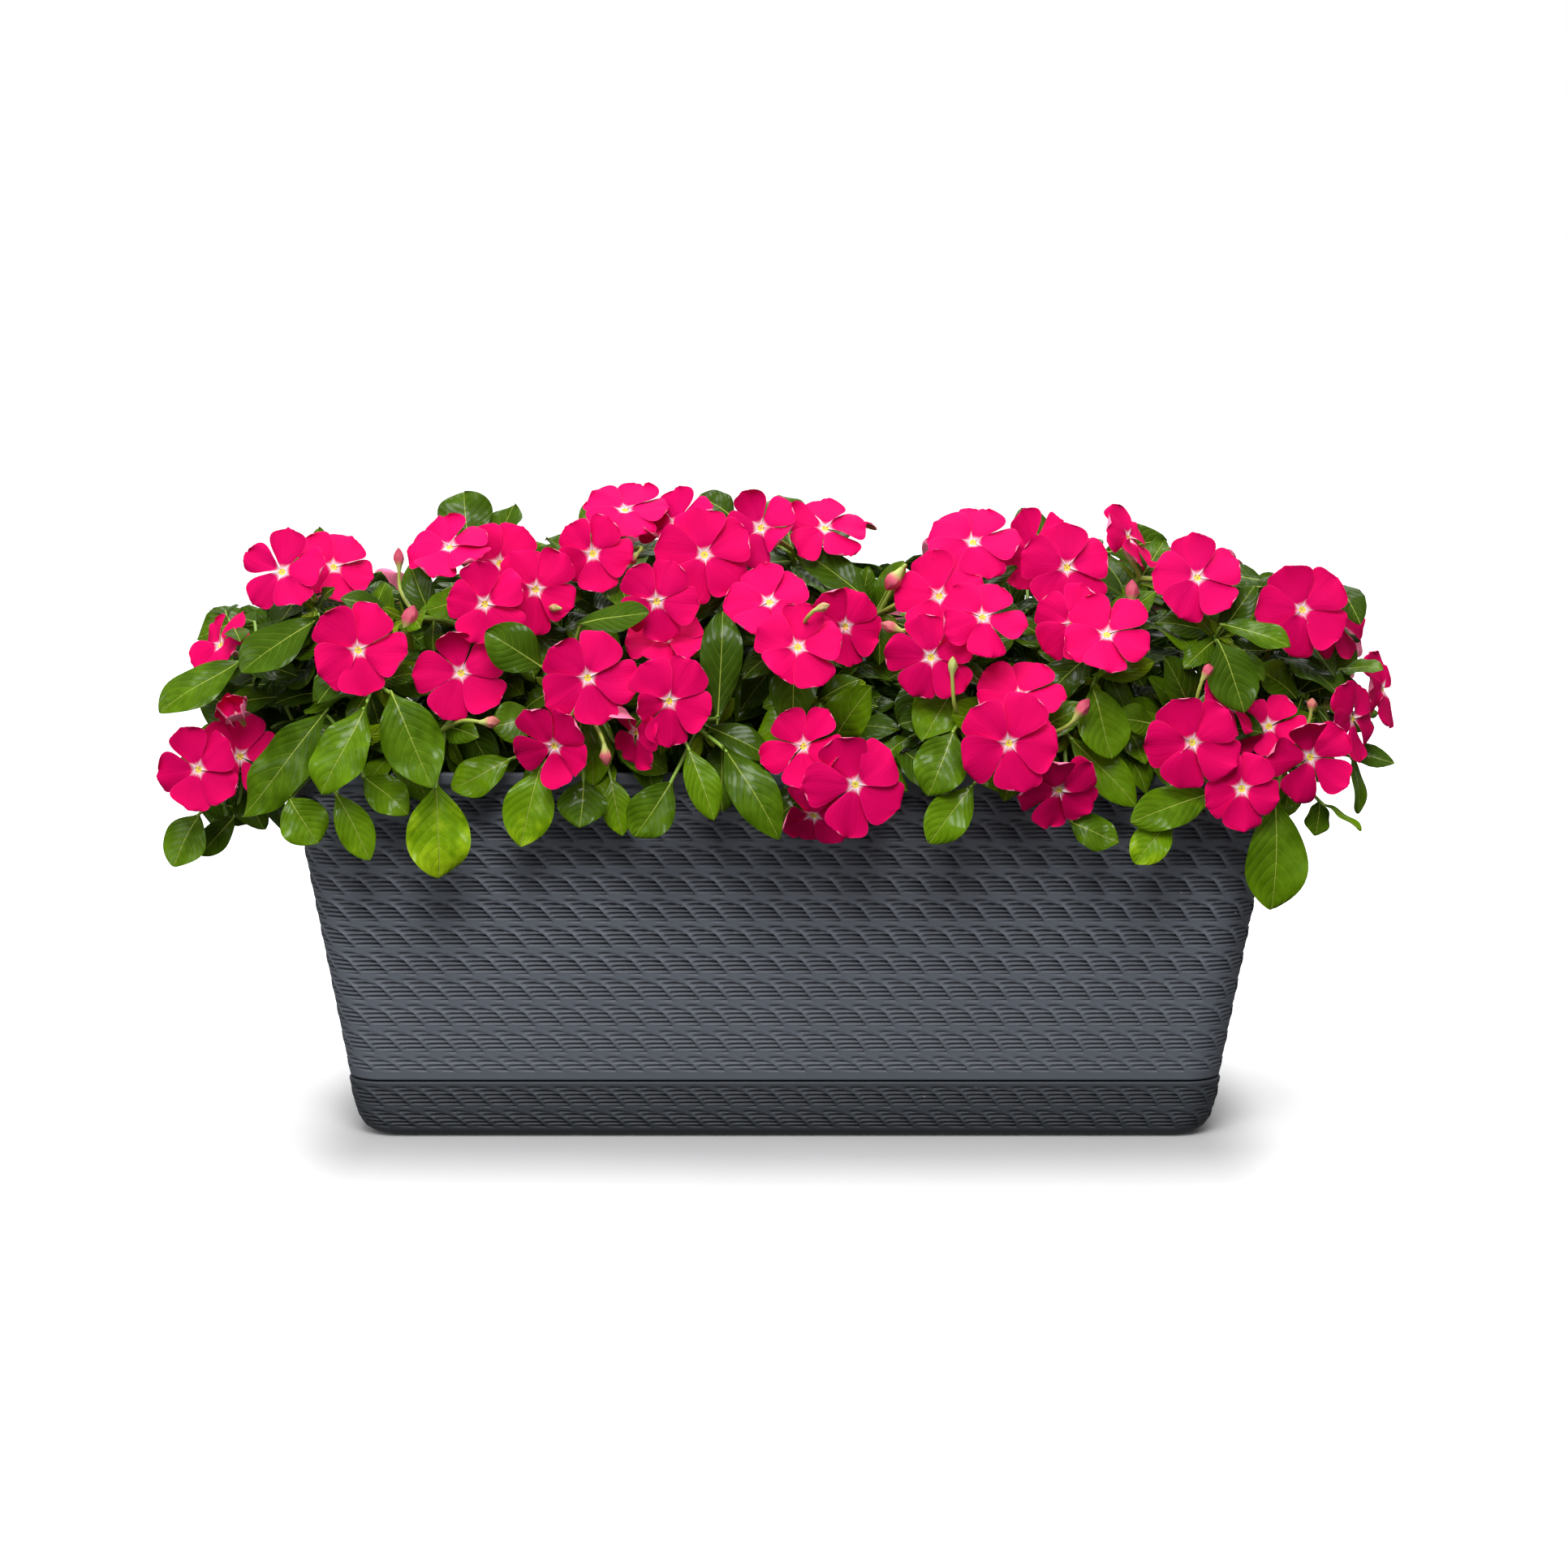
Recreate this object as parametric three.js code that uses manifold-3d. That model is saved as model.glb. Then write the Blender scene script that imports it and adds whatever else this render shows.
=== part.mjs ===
// A window box of Madagascar periwinkle, Catharanthus roseus, in full bloom.
// A long tapered box of moulded rope rows stands in its drip tray and holds potting mix.
// Five plants grow in it. Each leafy stem forks under clusters of flat, five-petalled flowers.
// Millimetres, +Z up. The origin is the centre of the tray's underside, and the front faces -Y.

import * as THREE from "three";
import { mergeVertices } from "three/addons/utils/BufferGeometryUtils.js";
import Module from "manifold-3d";

const wasm = await Module();
wasm.setup();

const { degToRad, lerp } = THREE.MathUtils;
const vec = (x, y, z) => new THREE.Vector3(x, y, z);

// Driving dimensions of the box, the tray and the potting mix
const box = {
  height: 228,
  seamHeight: 36,
  seamHalf: [265, 88],
  rimHalf: [296, 118],
  seamCorner: 22,
  rimCorner: 30,
  wall: 3,
  shoulderStep: 7,
  footBottom: 4.3,
  floor: 3.4,
  ropeRows: 11,
  ropeRow: 16.4,
  ropeRise: 1.8,
  // Where a rope row's swell starts and ends, as shares of its height
  ropeSwell: [0.3, 0.72],
  lipProud: 4,
  lipHeight: 8,
  edge: 1,
};
const tray = {
  topHalf: [266, 89],
  bottomHalf: [260, 83],
  kneeHalf: [256, 79],
  kneeHeight: 1.2,
  restHalf: [248, 71],
  restCorner: 16,
  corner: 22,
  wall: 3,
  floor: 4,
  rows: 2,
  ropeBottom: 4.5,
};
const soil = { edge: 204, crown: 209, gap: 0.3, crownInset: 45, crownCorner: 12, holeDepth: 22, holeGap: 0.5 };
const drain = { radius: 5, sides: 6, spacing: 110, count: 4, cutDepth: 12 };
const seamGap = 0.8;
const cornerSteps = 2;

// Driving dimensions of the plants
const crownSpacing = 116;
const plantCount = 5;
const stalk = {
  rootRadius: 3.2,
  forkRadius: 2.6,
  tipRadius: 1.9,
  rootRing: 10,
  forkShare: 0.45,
  forkLift: 12,
  lowestFork: 252,
  straightAtRoot: 12,
  straightAtFork: 14,
  straightFromFork: 0.3,
  straightToTip: 0.35,
  mainSteps: 3,
  branchSteps: 4,
  shootSteps: 3,
  shootArch: 0.25,
};
const corolla = {
  tubeLength: 26,
  throatRadius: 2.2,
  tubeRadius: 1.7,
  dimple: 1.2,
  cup: 3.6,
  neck: 11,
  spread: 2,
};
const receptacleRadius = 3;
const seatGap = 0.3;
const leafShape = { thickness: 1.4, fold: 14, petiole: 1, shortPetiole: 14, bladeStart: 0.15 };
const clearance = 1.6;
// A blade's outline: how far along it each section stands, and its share of the full width
const largeOutline = [
  { along: 0.28, share: 0.8 },
  { along: 0.6, share: 1 },
  { along: 0.86, share: 0.72 },
];
const smallOutline = [
  { along: 0.36, share: 0.94 },
  { along: 0.76, share: 0.9 },
];
// A leaf of the picture that is narrower than this has the small outline
const largeWidth = 27;

// Where the reference picture was taken from, and how its pixels turn into rays
const view = { from: vec(0, -1900, 440), pitch: 7, focalPx: 3763, centrePx: 967, middlePx: 966 };

// The point at depth y that the picture shows at pixel (px, py)
function seenPoint(px, py, y) {
  const right = (px - view.centrePx) / view.focalPx;
  const down = (py - view.middlePx) / view.focalPx;
  const pitch = degToRad(view.pitch);
  const ray = vec(
    right,
    Math.cos(pitch) - down * Math.sin(pitch),
    -Math.sin(pitch) - down * Math.cos(pitch),
  );
  return view.from.clone().addScaledVector(ray, (y - view.from.y) / ray.y);
}

// The way a flower or leaf faces: turn is to the right of straight forward, tilt is upwards
function facing(turn, tilt) {
  const [a, b] = [degToRad(turn), degToRad(tilt)];
  return vec(Math.sin(a) * Math.cos(b), -Math.cos(a) * Math.cos(b), Math.sin(b));
}

// The flower clusters of the front, each flower read from the picture: its centre's pixel, its depth,
// the way it faces, the roll of its first petal and the width across its petals.
const frontClusters = {
  left_crest: [
    { px: 347, py: 704, y: -102, turn: -10, tilt: 22, roll: 10, across: 55 },
    { px: 412, py: 698, y: -78, turn: 30, tilt: 30, roll: 50, across: 52 },
  ],
  left_end: [{ px: 270, py: 794, y: -64, turn: -52, tilt: 30, roll: 0, across: 54 }],
  left_face: [{ px: 441, py: 801, y: -142, turn: -4, tilt: 6, roll: 62, across: 58 }],
  left_low: [
    { px: 244, py: 948, y: -108, turn: -10, tilt: 4, roll: 36, across: 55 },
    { px: 296, py: 932, y: -92, turn: 16, tilt: 8, roll: 8, across: 56 },
  ],
  left_mid: [{ px: 568, py: 829, y: -136, turn: 6, tilt: 10, roll: 28, across: 58 }],
  left_top: [
    { px: 554, py: 673, y: -100, turn: -12, tilt: 48, roll: 36, across: 54 },
    { px: 616, py: 694, y: -84, turn: 8, tilt: 10, roll: 54, across: 54 },
  ],
  left_pair: [
    { px: 597, py: 744, y: -136, turn: -10, tilt: 6, roll: 28, across: 52 },
    { px: 660, py: 726, y: -120, turn: 8, tilt: 8, roll: 46, across: 54 },
  ],
  crest_pair: [
    { px: 730, py: 682, y: -108, turn: -12, tilt: 6, roll: 60, across: 48 },
    { px: 770, py: 627, y: -86, turn: -4, tilt: 56, roll: 0, across: 56 },
  ],
  centre_stack: [
    { px: 809, py: 741, y: -138, turn: 0, tilt: 4, roll: 60, across: 50 },
    { px: 820, py: 785, y: -128, turn: 6, tilt: 46, roll: 39, across: 52 },
  ],
  centre_low: [
    { px: 724, py: 835, y: -162, turn: 2, tilt: 4, roll: 63, across: 60 },
    { px: 682, py: 920, y: -156, turn: -16, tilt: -22, roll: 50, across: 54 },
  ],
  centre_drop: [
    { px: 825, py: 864, y: -160, turn: 20, tilt: 4, roll: 48, across: 56 },
    { px: 782, py: 903, y: -148, turn: -58, tilt: -12, roll: 0, across: 48 },
  ],
  centre_top: [
    { px: 868, py: 683, y: -116, turn: 4, tilt: 12, roll: 24, across: 60 },
    { px: 832, py: 645, y: -88, turn: -30, tilt: 26, roll: 30, across: 54 },
  ],
  middle_top: [
    { px: 937, py: 650, y: -96, turn: -10, tilt: 20, roll: 40, across: 50 },
    { px: 1017, py: 650, y: -84, turn: 10, tilt: 46, roll: 6, across: 54 },
  ],
  middle_face: [
    { px: 983, py: 797, y: -154, turn: 2, tilt: 22, roll: 8, across: 55 },
    { px: 948, py: 741, y: -132, turn: -6, tilt: 38, roll: 35, across: 55 },
    { px: 1042, py: 772, y: -116, turn: 28, tilt: 4, roll: 50, across: 52 },
  ],
  middle_low: [
    { px: 1054, py: 967, y: -174, turn: 4, tilt: 0, roll: 36, across: 62 },
    { px: 989, py: 919, y: -156, turn: -30, tilt: 18, roll: 60, across: 54 },
    { px: 1002, py: 1006, y: -154, turn: -14, tilt: -42, roll: 20, across: 50 },
  ],
  right_crest: [
    { px: 1199, py: 667, y: -96, turn: 0, tilt: 42, roll: 67, across: 58 },
    { px: 1157, py: 734, y: -116, turn: -6, tilt: 22, roll: 26, across: 56 },
  ],
  right_stack: [
    { px: 1147, py: 810, y: -146, turn: -2, tilt: 2, roll: 24, across: 56 },
    { px: 1211, py: 760, y: -146, turn: 8, tilt: 34, roll: 54, across: 54 },
  ],
  right_top: [
    { px: 1315, py: 699, y: -106, turn: 4, tilt: 14, roll: 16, across: 58 },
    { px: 1270, py: 678, y: -84, turn: -46, tilt: 16, roll: 40, across: 54 },
  ],
  right_fan: [
    { px: 1476, py: 711, y: -106, turn: 6, tilt: 28, roll: 20, across: 56 },
    { px: 1392, py: 662, y: -84, turn: 62, tilt: 30, roll: 16, across: 50 },
  ],
  right_mid: [
    { px: 1364, py: 781, y: -146, turn: -6, tilt: 38, roll: 50, across: 58 },
    { px: 1322, py: 768, y: -128, turn: -16, tilt: 10, roll: 0, across: 50 },
  ],
  right_end: [
    { px: 1605, py: 751, y: -102, turn: 6, tilt: 12, roll: 34, across: 60 },
    { px: 1648, py: 764, y: -74, turn: 48, tilt: 14, roll: 66, across: 54 },
  ],
  right_front: [
    { px: 1243, py: 916, y: -174, turn: -2, tilt: 2, roll: 62, across: 62 },
    { px: 1257, py: 857, y: -146, turn: 0, tilt: 44, roll: 62, across: 56 },
    { px: 1305, py: 975, y: -156, turn: 16, tilt: -30, roll: 40, across: 52 },
  ],
  right_face: [
    { px: 1469, py: 915, y: -154, turn: -2, tilt: 2, roll: 38, across: 58 },
    { px: 1516, py: 868, y: -126, turn: 48, tilt: 34, roll: 12, across: 46 },
  ],
  right_low: [
    { px: 1615, py: 933, y: -132, turn: 10, tilt: 4, roll: 32, across: 56 },
    { px: 1530, py: 972, y: -152, turn: -6, tilt: 4, roll: 54, across: 50 },
    { px: 1563, py: 894, y: -112, turn: -20, tilt: 34, roll: 64, across: 48 },
  ],
  right_side: [
    { px: 1668, py: 886, y: -92, turn: 60, tilt: 4, roll: 50, across: 54 },
    { px: 1706, py: 850, y: -52, turn: 106, tilt: 4, roll: 38, across: 54 },
  ],
};

// The flower clusters of the back and the crest, which the picture doesn't show
const backClusters = {
  back_a: [
    { at: [-308, 72, 312], turn: 218, tilt: 30, roll: 12, across: 56 },
    { at: [-262, 104, 314], turn: 176, tilt: 34, roll: 40, across: 57 },
  ],
  back_b: [
    { at: [-350, 44, 258], turn: 256, tilt: 10, roll: 20, across: 55 },
    { at: [-318, 100, 238], turn: 204, tilt: 4, roll: 48, across: 58 },
  ],
  back_c: [
    { at: [-214, 136, 300], turn: 184, tilt: 12, roll: 30, across: 58 },
    { at: [-186, 26, 354], turn: 190, tilt: 70, roll: 2, across: 55 },
  ],
  back_d: [
    { at: [-168, 152, 250], turn: 192, tilt: 2, roll: 14, across: 59 },
    { at: [-116, 148, 296], turn: 172, tilt: 14, roll: 44, across: 56 },
  ],
  back_e: [
    { at: [-118, 98, 348], turn: 182, tilt: 42, roll: 26, across: 57 },
    { at: [-84, 8, 370], turn: 170, tilt: 80, roll: 8, across: 56 },
  ],
  back_f: [
    { at: [-66, 160, 252], turn: 188, tilt: 2, roll: 34, across: 58 },
    { at: [-24, 144, 314], turn: 178, tilt: 18, roll: 18, across: 57 },
  ],
  back_g: [
    { at: [-4, 104, 350], turn: 186, tilt: 38, roll: 50, across: 56 },
    { at: [36, 10, 368], turn: 190, tilt: 80, roll: 22, across: 57 },
  ],
  back_h: [
    { at: [40, 164, 244], turn: 176, tilt: 0, roll: 6, across: 58 },
    { at: [88, 148, 290], turn: 184, tilt: 14, roll: 38, across: 56 },
  ],
  back_i: [
    { at: [116, 104, 344], turn: 178, tilt: 40, roll: 16, across: 58 },
    { at: [156, 12, 358], turn: 200, tilt: 78, roll: 46, across: 55 },
  ],
  back_j: [
    { at: [176, 146, 286], turn: 170, tilt: 10, roll: 24, across: 57 },
    { at: [226, 132, 256], turn: 166, tilt: 2, roll: 0, across: 56 },
  ],
  back_k: [
    { at: [240, 98, 330], turn: 176, tilt: 36, roll: 32, across: 57 },
    { at: [262, 14, 346], turn: 150, tilt: 70, roll: 10, across: 55 },
  ],
  back_l: [
    { at: [312, 100, 246], turn: 156, tilt: 4, roll: 42, across: 58 },
    { at: [350, 42, 292], turn: 118, tilt: 20, roll: 20, across: 55 },
  ],
};

// The unopened buds among the flowers, by cluster: each one's tip
const frontBuds = {
  left_top: [{ px: 491, py: 677, y: -80 }],
  left_face: [{ px: 506, py: 750, y: -132 }],
  left_mid: [{ px: 616, py: 890, y: -150 }],
  centre_low: [{ px: 746, py: 944, y: -150 }],
  crest_pair: [{ px: 784, py: 684, y: -102 }],
  right_crest: [{ px: 1096, py: 716, y: -112 }],
  right_stack: [{ px: 1088, py: 770, y: -136 }],
  right_front: [{ px: 1341, py: 862, y: -154 }],
  right_fan: [{ px: 1395, py: 716, y: -112 }],
  right_face: [{ px: 1492, py: 818, y: -130 }],
  right_low: [{ px: 1618, py: 860, y: -108 }],
  left_low: [{ px: 290, py: 866, y: -100 }],
};
const bud = { radius: 3.8, neck: 1.2, sides: 3 };

// The leafy stems: the plant that each grows from, counted from the left, the clusters that it carries,
// and the tips of its shoots that carry only leaves
const stems = {
  a_front: {
    plant: 0,
    carries: ["left_face", "left_low"],
    shoots: [
      { px: 462, py: 846, y: -122 },
      { px: 425, py: 926, y: -124 },
      { px: 280, py: 972, y: -78 },
    ],
  },
  a_crest: { plant: 0, carries: ["left_crest", "left_end"], shoots: [{ px: 388, py: 752, y: -94 }] },
  a_back: { plant: 0, carries: ["back_a", "back_b"] },
  b_front: {
    plant: 1,
    carries: ["left_mid", "left_pair"],
    shoots: [
      { px: 545, py: 900, y: -118 },
      { px: 500, py: 762, y: -108 },
    ],
  },
  b_low: {
    plant: 1,
    carries: ["centre_low", "centre_drop"],
    shoots: [
      { px: 692, py: 915, y: -124 },
      { px: 684, py: 848, y: -124 },
      { px: 866, py: 902, y: -128 },
    ],
  },
  b_crest: { plant: 1, carries: ["left_top", "crest_pair"], shoots: [{ px: 592, py: 698, y: -50 }] },
  b_back: { plant: 1, carries: ["back_c", "back_d"] },
  c_front: {
    plant: 2,
    carries: ["centre_stack", "centre_top"],
    shoots: [
      { px: 858, py: 794, y: -104 },
      { px: 902, py: 662, y: -46 },
    ],
  },
  c_low: { plant: 2, carries: ["middle_low"], shoots: [{ px: 1006, py: 866, y: -118 }] },
  c_crest: { plant: 2, carries: ["middle_top", "middle_face"], shoots: [{ px: 1082, py: 756, y: -90 }] },
  c_back: { plant: 2, carries: ["back_e", "back_f"] },
  c_rear: { plant: 2, carries: ["back_g", "back_h"] },
  d_front: {
    plant: 3,
    carries: ["right_stack", "right_front"],
    shoots: [
      { px: 1186, py: 890, y: -128 },
      { px: 1318, py: 900, y: -120 },
    ],
  },
  d_crest: { plant: 3, carries: ["right_crest", "right_top"] },
  d_back: { plant: 3, carries: ["back_i", "back_j"] },
  e_front: { plant: 4, carries: ["right_mid", "right_fan"], shoots: [{ px: 1350, py: 838, y: -116 }] },
  e_low: {
    plant: 4,
    carries: ["right_face", "right_low"],
    shoots: [
      { px: 1456, py: 930, y: -122 },
      { px: 1588, py: 948, y: -112 },
      { px: 1500, py: 786, y: -100 },
    ],
  },
  e_end: {
    plant: 4,
    carries: ["right_end", "right_side"],
    shoots: [
      { px: 1608, py: 858, y: -74 },
      { px: 1536, py: 742, y: -54 },
    ],
  },
  e_back: { plant: 4, carries: ["back_k", "back_l"] },
};

// The large leaves that the picture shows clearly: where each blade starts and ends, with their depths,
// its width, and the way its face looks.
const seenLeaves = [
  { px: 578, py: 672, y: -52, tipPx: 572, tipPy: 606, tipY: -40, width: 34, turn: 5, tilt: 12 },
  { px: 640, py: 704, y: -60, tipPx: 684, tipPy: 678, tipY: -52, width: 26, turn: 20, tilt: 30 },
  { px: 300, py: 812, y: -92, tipPx: 197, tipPy: 879, tipY: -112, width: 30, turn: -20, tilt: 32 },
  { px: 394, py: 762, y: -112, tipPx: 297, tipPy: 829, tipY: -122, width: 33, turn: -14, tilt: 36 },
  { px: 588, py: 735, y: -140, tipPx: 524, tipPy: 753, tipY: -142, width: 21, turn: -5, tilt: 30 },
  { px: 484, py: 758, y: -104, tipPx: 419, tipPy: 738, tipY: -112, width: 20, turn: -5, tilt: 42 },
  { px: 481, py: 850, y: -152, tipPx: 532, tipPy: 971, tipY: -168, width: 36, turn: 6, tilt: 16 },
  { px: 452, py: 866, y: -150, tipPx: 396, tipPy: 979, tipY: -164, width: 32, turn: -6, tilt: 16 },
  { px: 405, py: 872, y: -128, tipPx: 300, tipPy: 1006, tipY: -120, width: 35, turn: -12, tilt: 14 },
  { px: 246, py: 1001, y: -82, tipPx: 211, tipPy: 1068, tipY: -92, width: 25, turn: -20, tilt: 20 },
  { px: 292, py: 1003, y: -74, tipPx: 247, tipPy: 1054, tipY: -76, width: 18, turn: 10, tilt: 25 },
  { px: 356, py: 981, y: -132, tipPx: 392, tipPy: 1039, tipY: -140, width: 30, turn: -4, tilt: 14 },
  { px: 412, py: 975, y: -146, tipPx: 455, tipPy: 1060, tipY: -150, width: 22, turn: 8, tilt: 14 },
  { px: 445, py: 955, y: -134, tipPx: 503, tipPy: 1004, tipY: -146, width: 24, turn: 5, tilt: 24 },
  { px: 537, py: 962, y: -142, tipPx: 541, tipPy: 1082, tipY: -148, width: 38, turn: 4, tilt: 8 },
  { px: 632, py: 934, y: -130, tipPx: 556, tipPy: 972, tipY: -136, width: 24, turn: 0, tilt: 26 },
  { px: 671, py: 824, y: -142, tipPx: 598, tipPy: 779, tipY: -146, width: 30, turn: -8, tilt: 22 },
  { px: 664, py: 886, y: -146, tipPx: 606, tipPy: 896, tipY: -156, width: 26, turn: -10, tilt: 20 },
  { px: 666, py: 945, y: -134, tipPx: 641, tipPy: 1043, tipY: -144, width: 31, turn: -4, tilt: 12 },
  { px: 719, py: 960, y: -144, tipPx: 714, tipPy: 1020, tipY: -156, width: 30, turn: 0, tilt: 18 },
  { px: 752, py: 955, y: -138, tipPx: 767, tipPy: 1030, tipY: -146, width: 19, turn: 5, tilt: 10 },
  { px: 829, py: 960, y: -150, tipPx: 781, tipPy: 1031, tipY: -156, width: 28, turn: -5, tilt: 12 },
  { px: 847, py: 918, y: -152, tipPx: 880, tipPy: 1011, tipY: -164, width: 21, turn: 10, tilt: 14 },
  { px: 890, py: 918, y: -148, tipPx: 960, tipPy: 1034, tipY: -158, width: 28, turn: 8, tilt: 14 },
  { px: 865, py: 892, y: -138, tipPx: 953, tipPy: 938, tipY: -144, width: 20, turn: 5, tilt: 30 },
  { px: 752, py: 912, y: -132, tipPx: 822, tipPy: 952, tipY: -138, width: 22, turn: 5, tilt: 28 },
  { px: 884, py: 893, y: -148, tipPx: 890, tipPy: 753, tipY: -132, width: 25, turn: 4, tilt: 2 },
  { px: 1015, py: 870, y: -132, tipPx: 932, tipPy: 910, tipY: -134, width: 27, turn: -6, tilt: 24 },
  { px: 844, py: 776, y: -108, tipPx: 893, tipPy: 681, tipY: -92, width: 22, turn: 10, tilt: 4 },
  { px: 710, py: 771, y: -132, tipPx: 800, tipPy: 755, tipY: -140, width: 21, turn: 0, tilt: 42 },
  { px: 1078, py: 749, y: -116, tipPx: 978, tipPy: 673, tipY: -98, width: 24, turn: 10, tilt: 38 },
  { px: 1176, py: 897, y: -158, tipPx: 1143, tipPy: 981, tipY: -170, width: 32, turn: -6, tilt: 14 },
  { px: 1200, py: 965, y: -154, tipPx: 1144, tipPy: 1039, tipY: -164, width: 26, turn: -6, tilt: 14 },
  { px: 1316, py: 1012, y: -146, tipPx: 1379, tipPy: 1038, tipY: -154, width: 22, turn: 8, tilt: 20 },
  { px: 1315, py: 905, y: -148, tipPx: 1400, tipPy: 994, tipY: -158, width: 25, turn: 8, tilt: 20 },
  { px: 1345, py: 844, y: -144, tipPx: 1370, tipPy: 935, tipY: -154, width: 31, turn: 4, tilt: 18 },
  { px: 1500, py: 975, y: -142, tipPx: 1393, tipPy: 1013, tipY: -160, width: 27, turn: -8, tilt: 24 },
  { px: 1446, py: 1006, y: -136, tipPx: 1398, tipPy: 1064, tipY: -142, width: 23, turn: -8, tilt: 14 },
  { px: 1571, py: 983, y: -136, tipPx: 1566, tipPy: 1121, tipY: -142, width: 38, turn: 8, tilt: 6 },
  { px: 1626, py: 985, y: -108, tipPx: 1620, tipPy: 1030, tipY: -112, width: 19, turn: 26, tilt: 10 },
  { px: 1664, py: 930, y: -84, tipPx: 1674, tipPy: 1003, tipY: -80, width: 20, turn: 60, tilt: 10 },
  { px: 1499, py: 787, y: -126, tipPx: 1533, tipPy: 878, tipY: -138, width: 31, turn: 10, tilt: 20 },
  { px: 1598, py: 862, y: -96, tipPx: 1549, tipPy: 823, tipY: -106, width: 27, turn: 14, tilt: 30 },
  { px: 1432, py: 893, y: -138, tipPx: 1373, tipPy: 888, tipY: -150, width: 20, turn: -10, tilt: 30 },
  { px: 1502, py: 768, y: -112, tipPx: 1590, tipPy: 798, tipY: -126, width: 21, turn: 10, tilt: 46 },
  { px: 1498, py: 778, y: -92, tipPx: 1422, tipPy: 768, tipY: -96, width: 22, turn: -4, tilt: 44 },
  { px: 1534, py: 736, y: -62, tipPx: 1592, tipPy: 722, tipY: -56, width: 20, turn: 10, tilt: 40 },
  { px: 1622, py: 846, y: -52, tipPx: 1698, tipPy: 880, tipY: -34, width: 24, turn: 50, tilt: 40 },
  { px: 906, py: 642, y: -44, tipPx: 862, tipPy: 610, tipY: -34, width: 22, turn: -5, tilt: 40 },
];

// How far behind its first place a leaf of the picture may stand where that isn't free
const seenDepths = [0, 8, -8, 16, -16, 24];

// Leaf pairs: the stretch of a stalk that they stand in the middle of, and how long their blades are
const frontPairs = [{ stretch: 2, length: 60 }];
const crestPairs = [
  { stretch: 1, length: 62 },
  { stretch: 3, length: 56 },
];
const backPairs = [
  { stretch: 1, length: 64 },
  { stretch: 3, length: 56 },
];
const mainPair = { stretch: 2, length: 64 };
// How far apart the petioles of the picture's leaves leave a stalk, how long a petiole may be,
// and how many of the nearest stems are tried
const seatSpacing = 8;
const longestPetiole = 60;
const stemsTried = 3;
// The arch of the picture's leaves in radians, and how much longer that makes a midrib than its chord
const seenArch = 0.35;
const archStretch = 1.005;
// How a grown leaf stands out from its stalk: shares of the stalk's direction, of the way to the light and
// of the pull downwards, and the lean of its face. Then its width for its length, and what is drawn at
// random: its turn, and its size, arch and width from a least value through a range.
const growth = {
  rise: 0.45,
  outward: 0.35,
  droop: 0.18,
  faceLean: 0.25,
  slim: 0.5,
  wander: 0.5,
  size: [0.9, 0.2],
  arch: [0.4, 0.5],
  width: [0.94, 0.14],
};
// How far apart the seeds of stems, of leaf pairs and of a pair's two leaves are
const seedStep = { stem: 1000, pair: 40, half: 20 };
// How a leaf turns about its stem, sinks and shrinks where its first place isn't free
const retries = [
  { spin: 0, sink: 0, share: 1 },
  { spin: 28, sink: 0.15, share: 0.95 },
  { spin: -28, sink: -0.15, share: 0.95 },
  { spin: 50, sink: 0.3, share: 0.85 },
  { spin: -50, sink: 0.1, share: 0.8 },
];

// Half the canopy's length, depth and height, and the height of its middle
const canopy = { half: [385, 172, 190], middle: 215, upBias: 0.002 };

// A repeatable draw from 0 to 1: the Park-Miller minimal standard generator
function makeDraw(seed) {
  let state = seed;
  return () => {
    state = (state * 48271) % 2147483647;
    return state / 2147483647;
  };
}

// A closed geometry from points and triangles of their indices
function closedGeometry(points, triangles) {
  const geometry = new THREE.BufferGeometry();
  geometry.setAttribute("position", new THREE.Float32BufferAttribute(points.flatMap((p) => p.toArray()), 3));
  geometry.setIndex(triangles.flat());
  return geometry;
}

// Rings of equal count joined by walls, with a flat cap on the first and the last
function loft(rings) {
  const count = rings[0].length;
  const triangles = [];
  for (let r = 0; r + 1 < rings.length; r += 1) {
    for (let i = 0; i < count; i += 1) {
      const [a, b] = [r * count + i, r * count + ((i + 1) % count)];
      triangles.push([a, b, b + count], [a, b + count, a + count]);
    }
  }
  const last = (rings.length - 1) * count;
  for (let i = 1; i + 1 < count; i += 1) {
    triangles.push([0, i + 1, i], [last, last + i, last + i + 1]);
  }
  return closedGeometry(rings.flat(), triangles);
}

// Points nearer to each other than this are one
const mergeDistance = 1e-3;

// A three.js geometry as a solid that can be joined and cut
function solidOf(geometry) {
  const bare = geometry.clone();
  bare.deleteAttribute("normal");
  bare.deleteAttribute("uv");
  const merged = mergeVertices(bare, mergeDistance);
  return new wasm.Manifold(
    new wasm.Mesh({
      numProp: 3,
      vertProperties: new Float32Array(merged.attributes.position.array),
      triVerts: new Uint32Array(merged.index.array),
    }),
  );
}

// A joined or cut solid as a three.js geometry
function geometryOf(solid) {
  const mesh = solid.getMesh();
  const geometry = new THREE.BufferGeometry();
  const positions = new Float32Array(mesh.numVert * 3);
  for (let i = 0; i < mesh.numVert; i += 1) {
    positions.set(mesh.vertProperties.subarray(i * mesh.numProp, i * mesh.numProp + 3), i * 3);
  }
  geometry.setAttribute("position", new THREE.BufferAttribute(positions, 3));
  geometry.setIndex(new THREE.BufferAttribute(new Uint32Array(mesh.triVerts), 1));
  return geometry;
}

// Pieces joined to one body, without the scraps and sealed slivers that near surfaces leave
function joined(pieces) {
  const bodies = solidOf(geometryOf(wasm.Manifold.union(pieces))).decompose();
  bodies.sort((a, b) => b.volume() - a.volume());
  return bodies[0];
}

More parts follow.
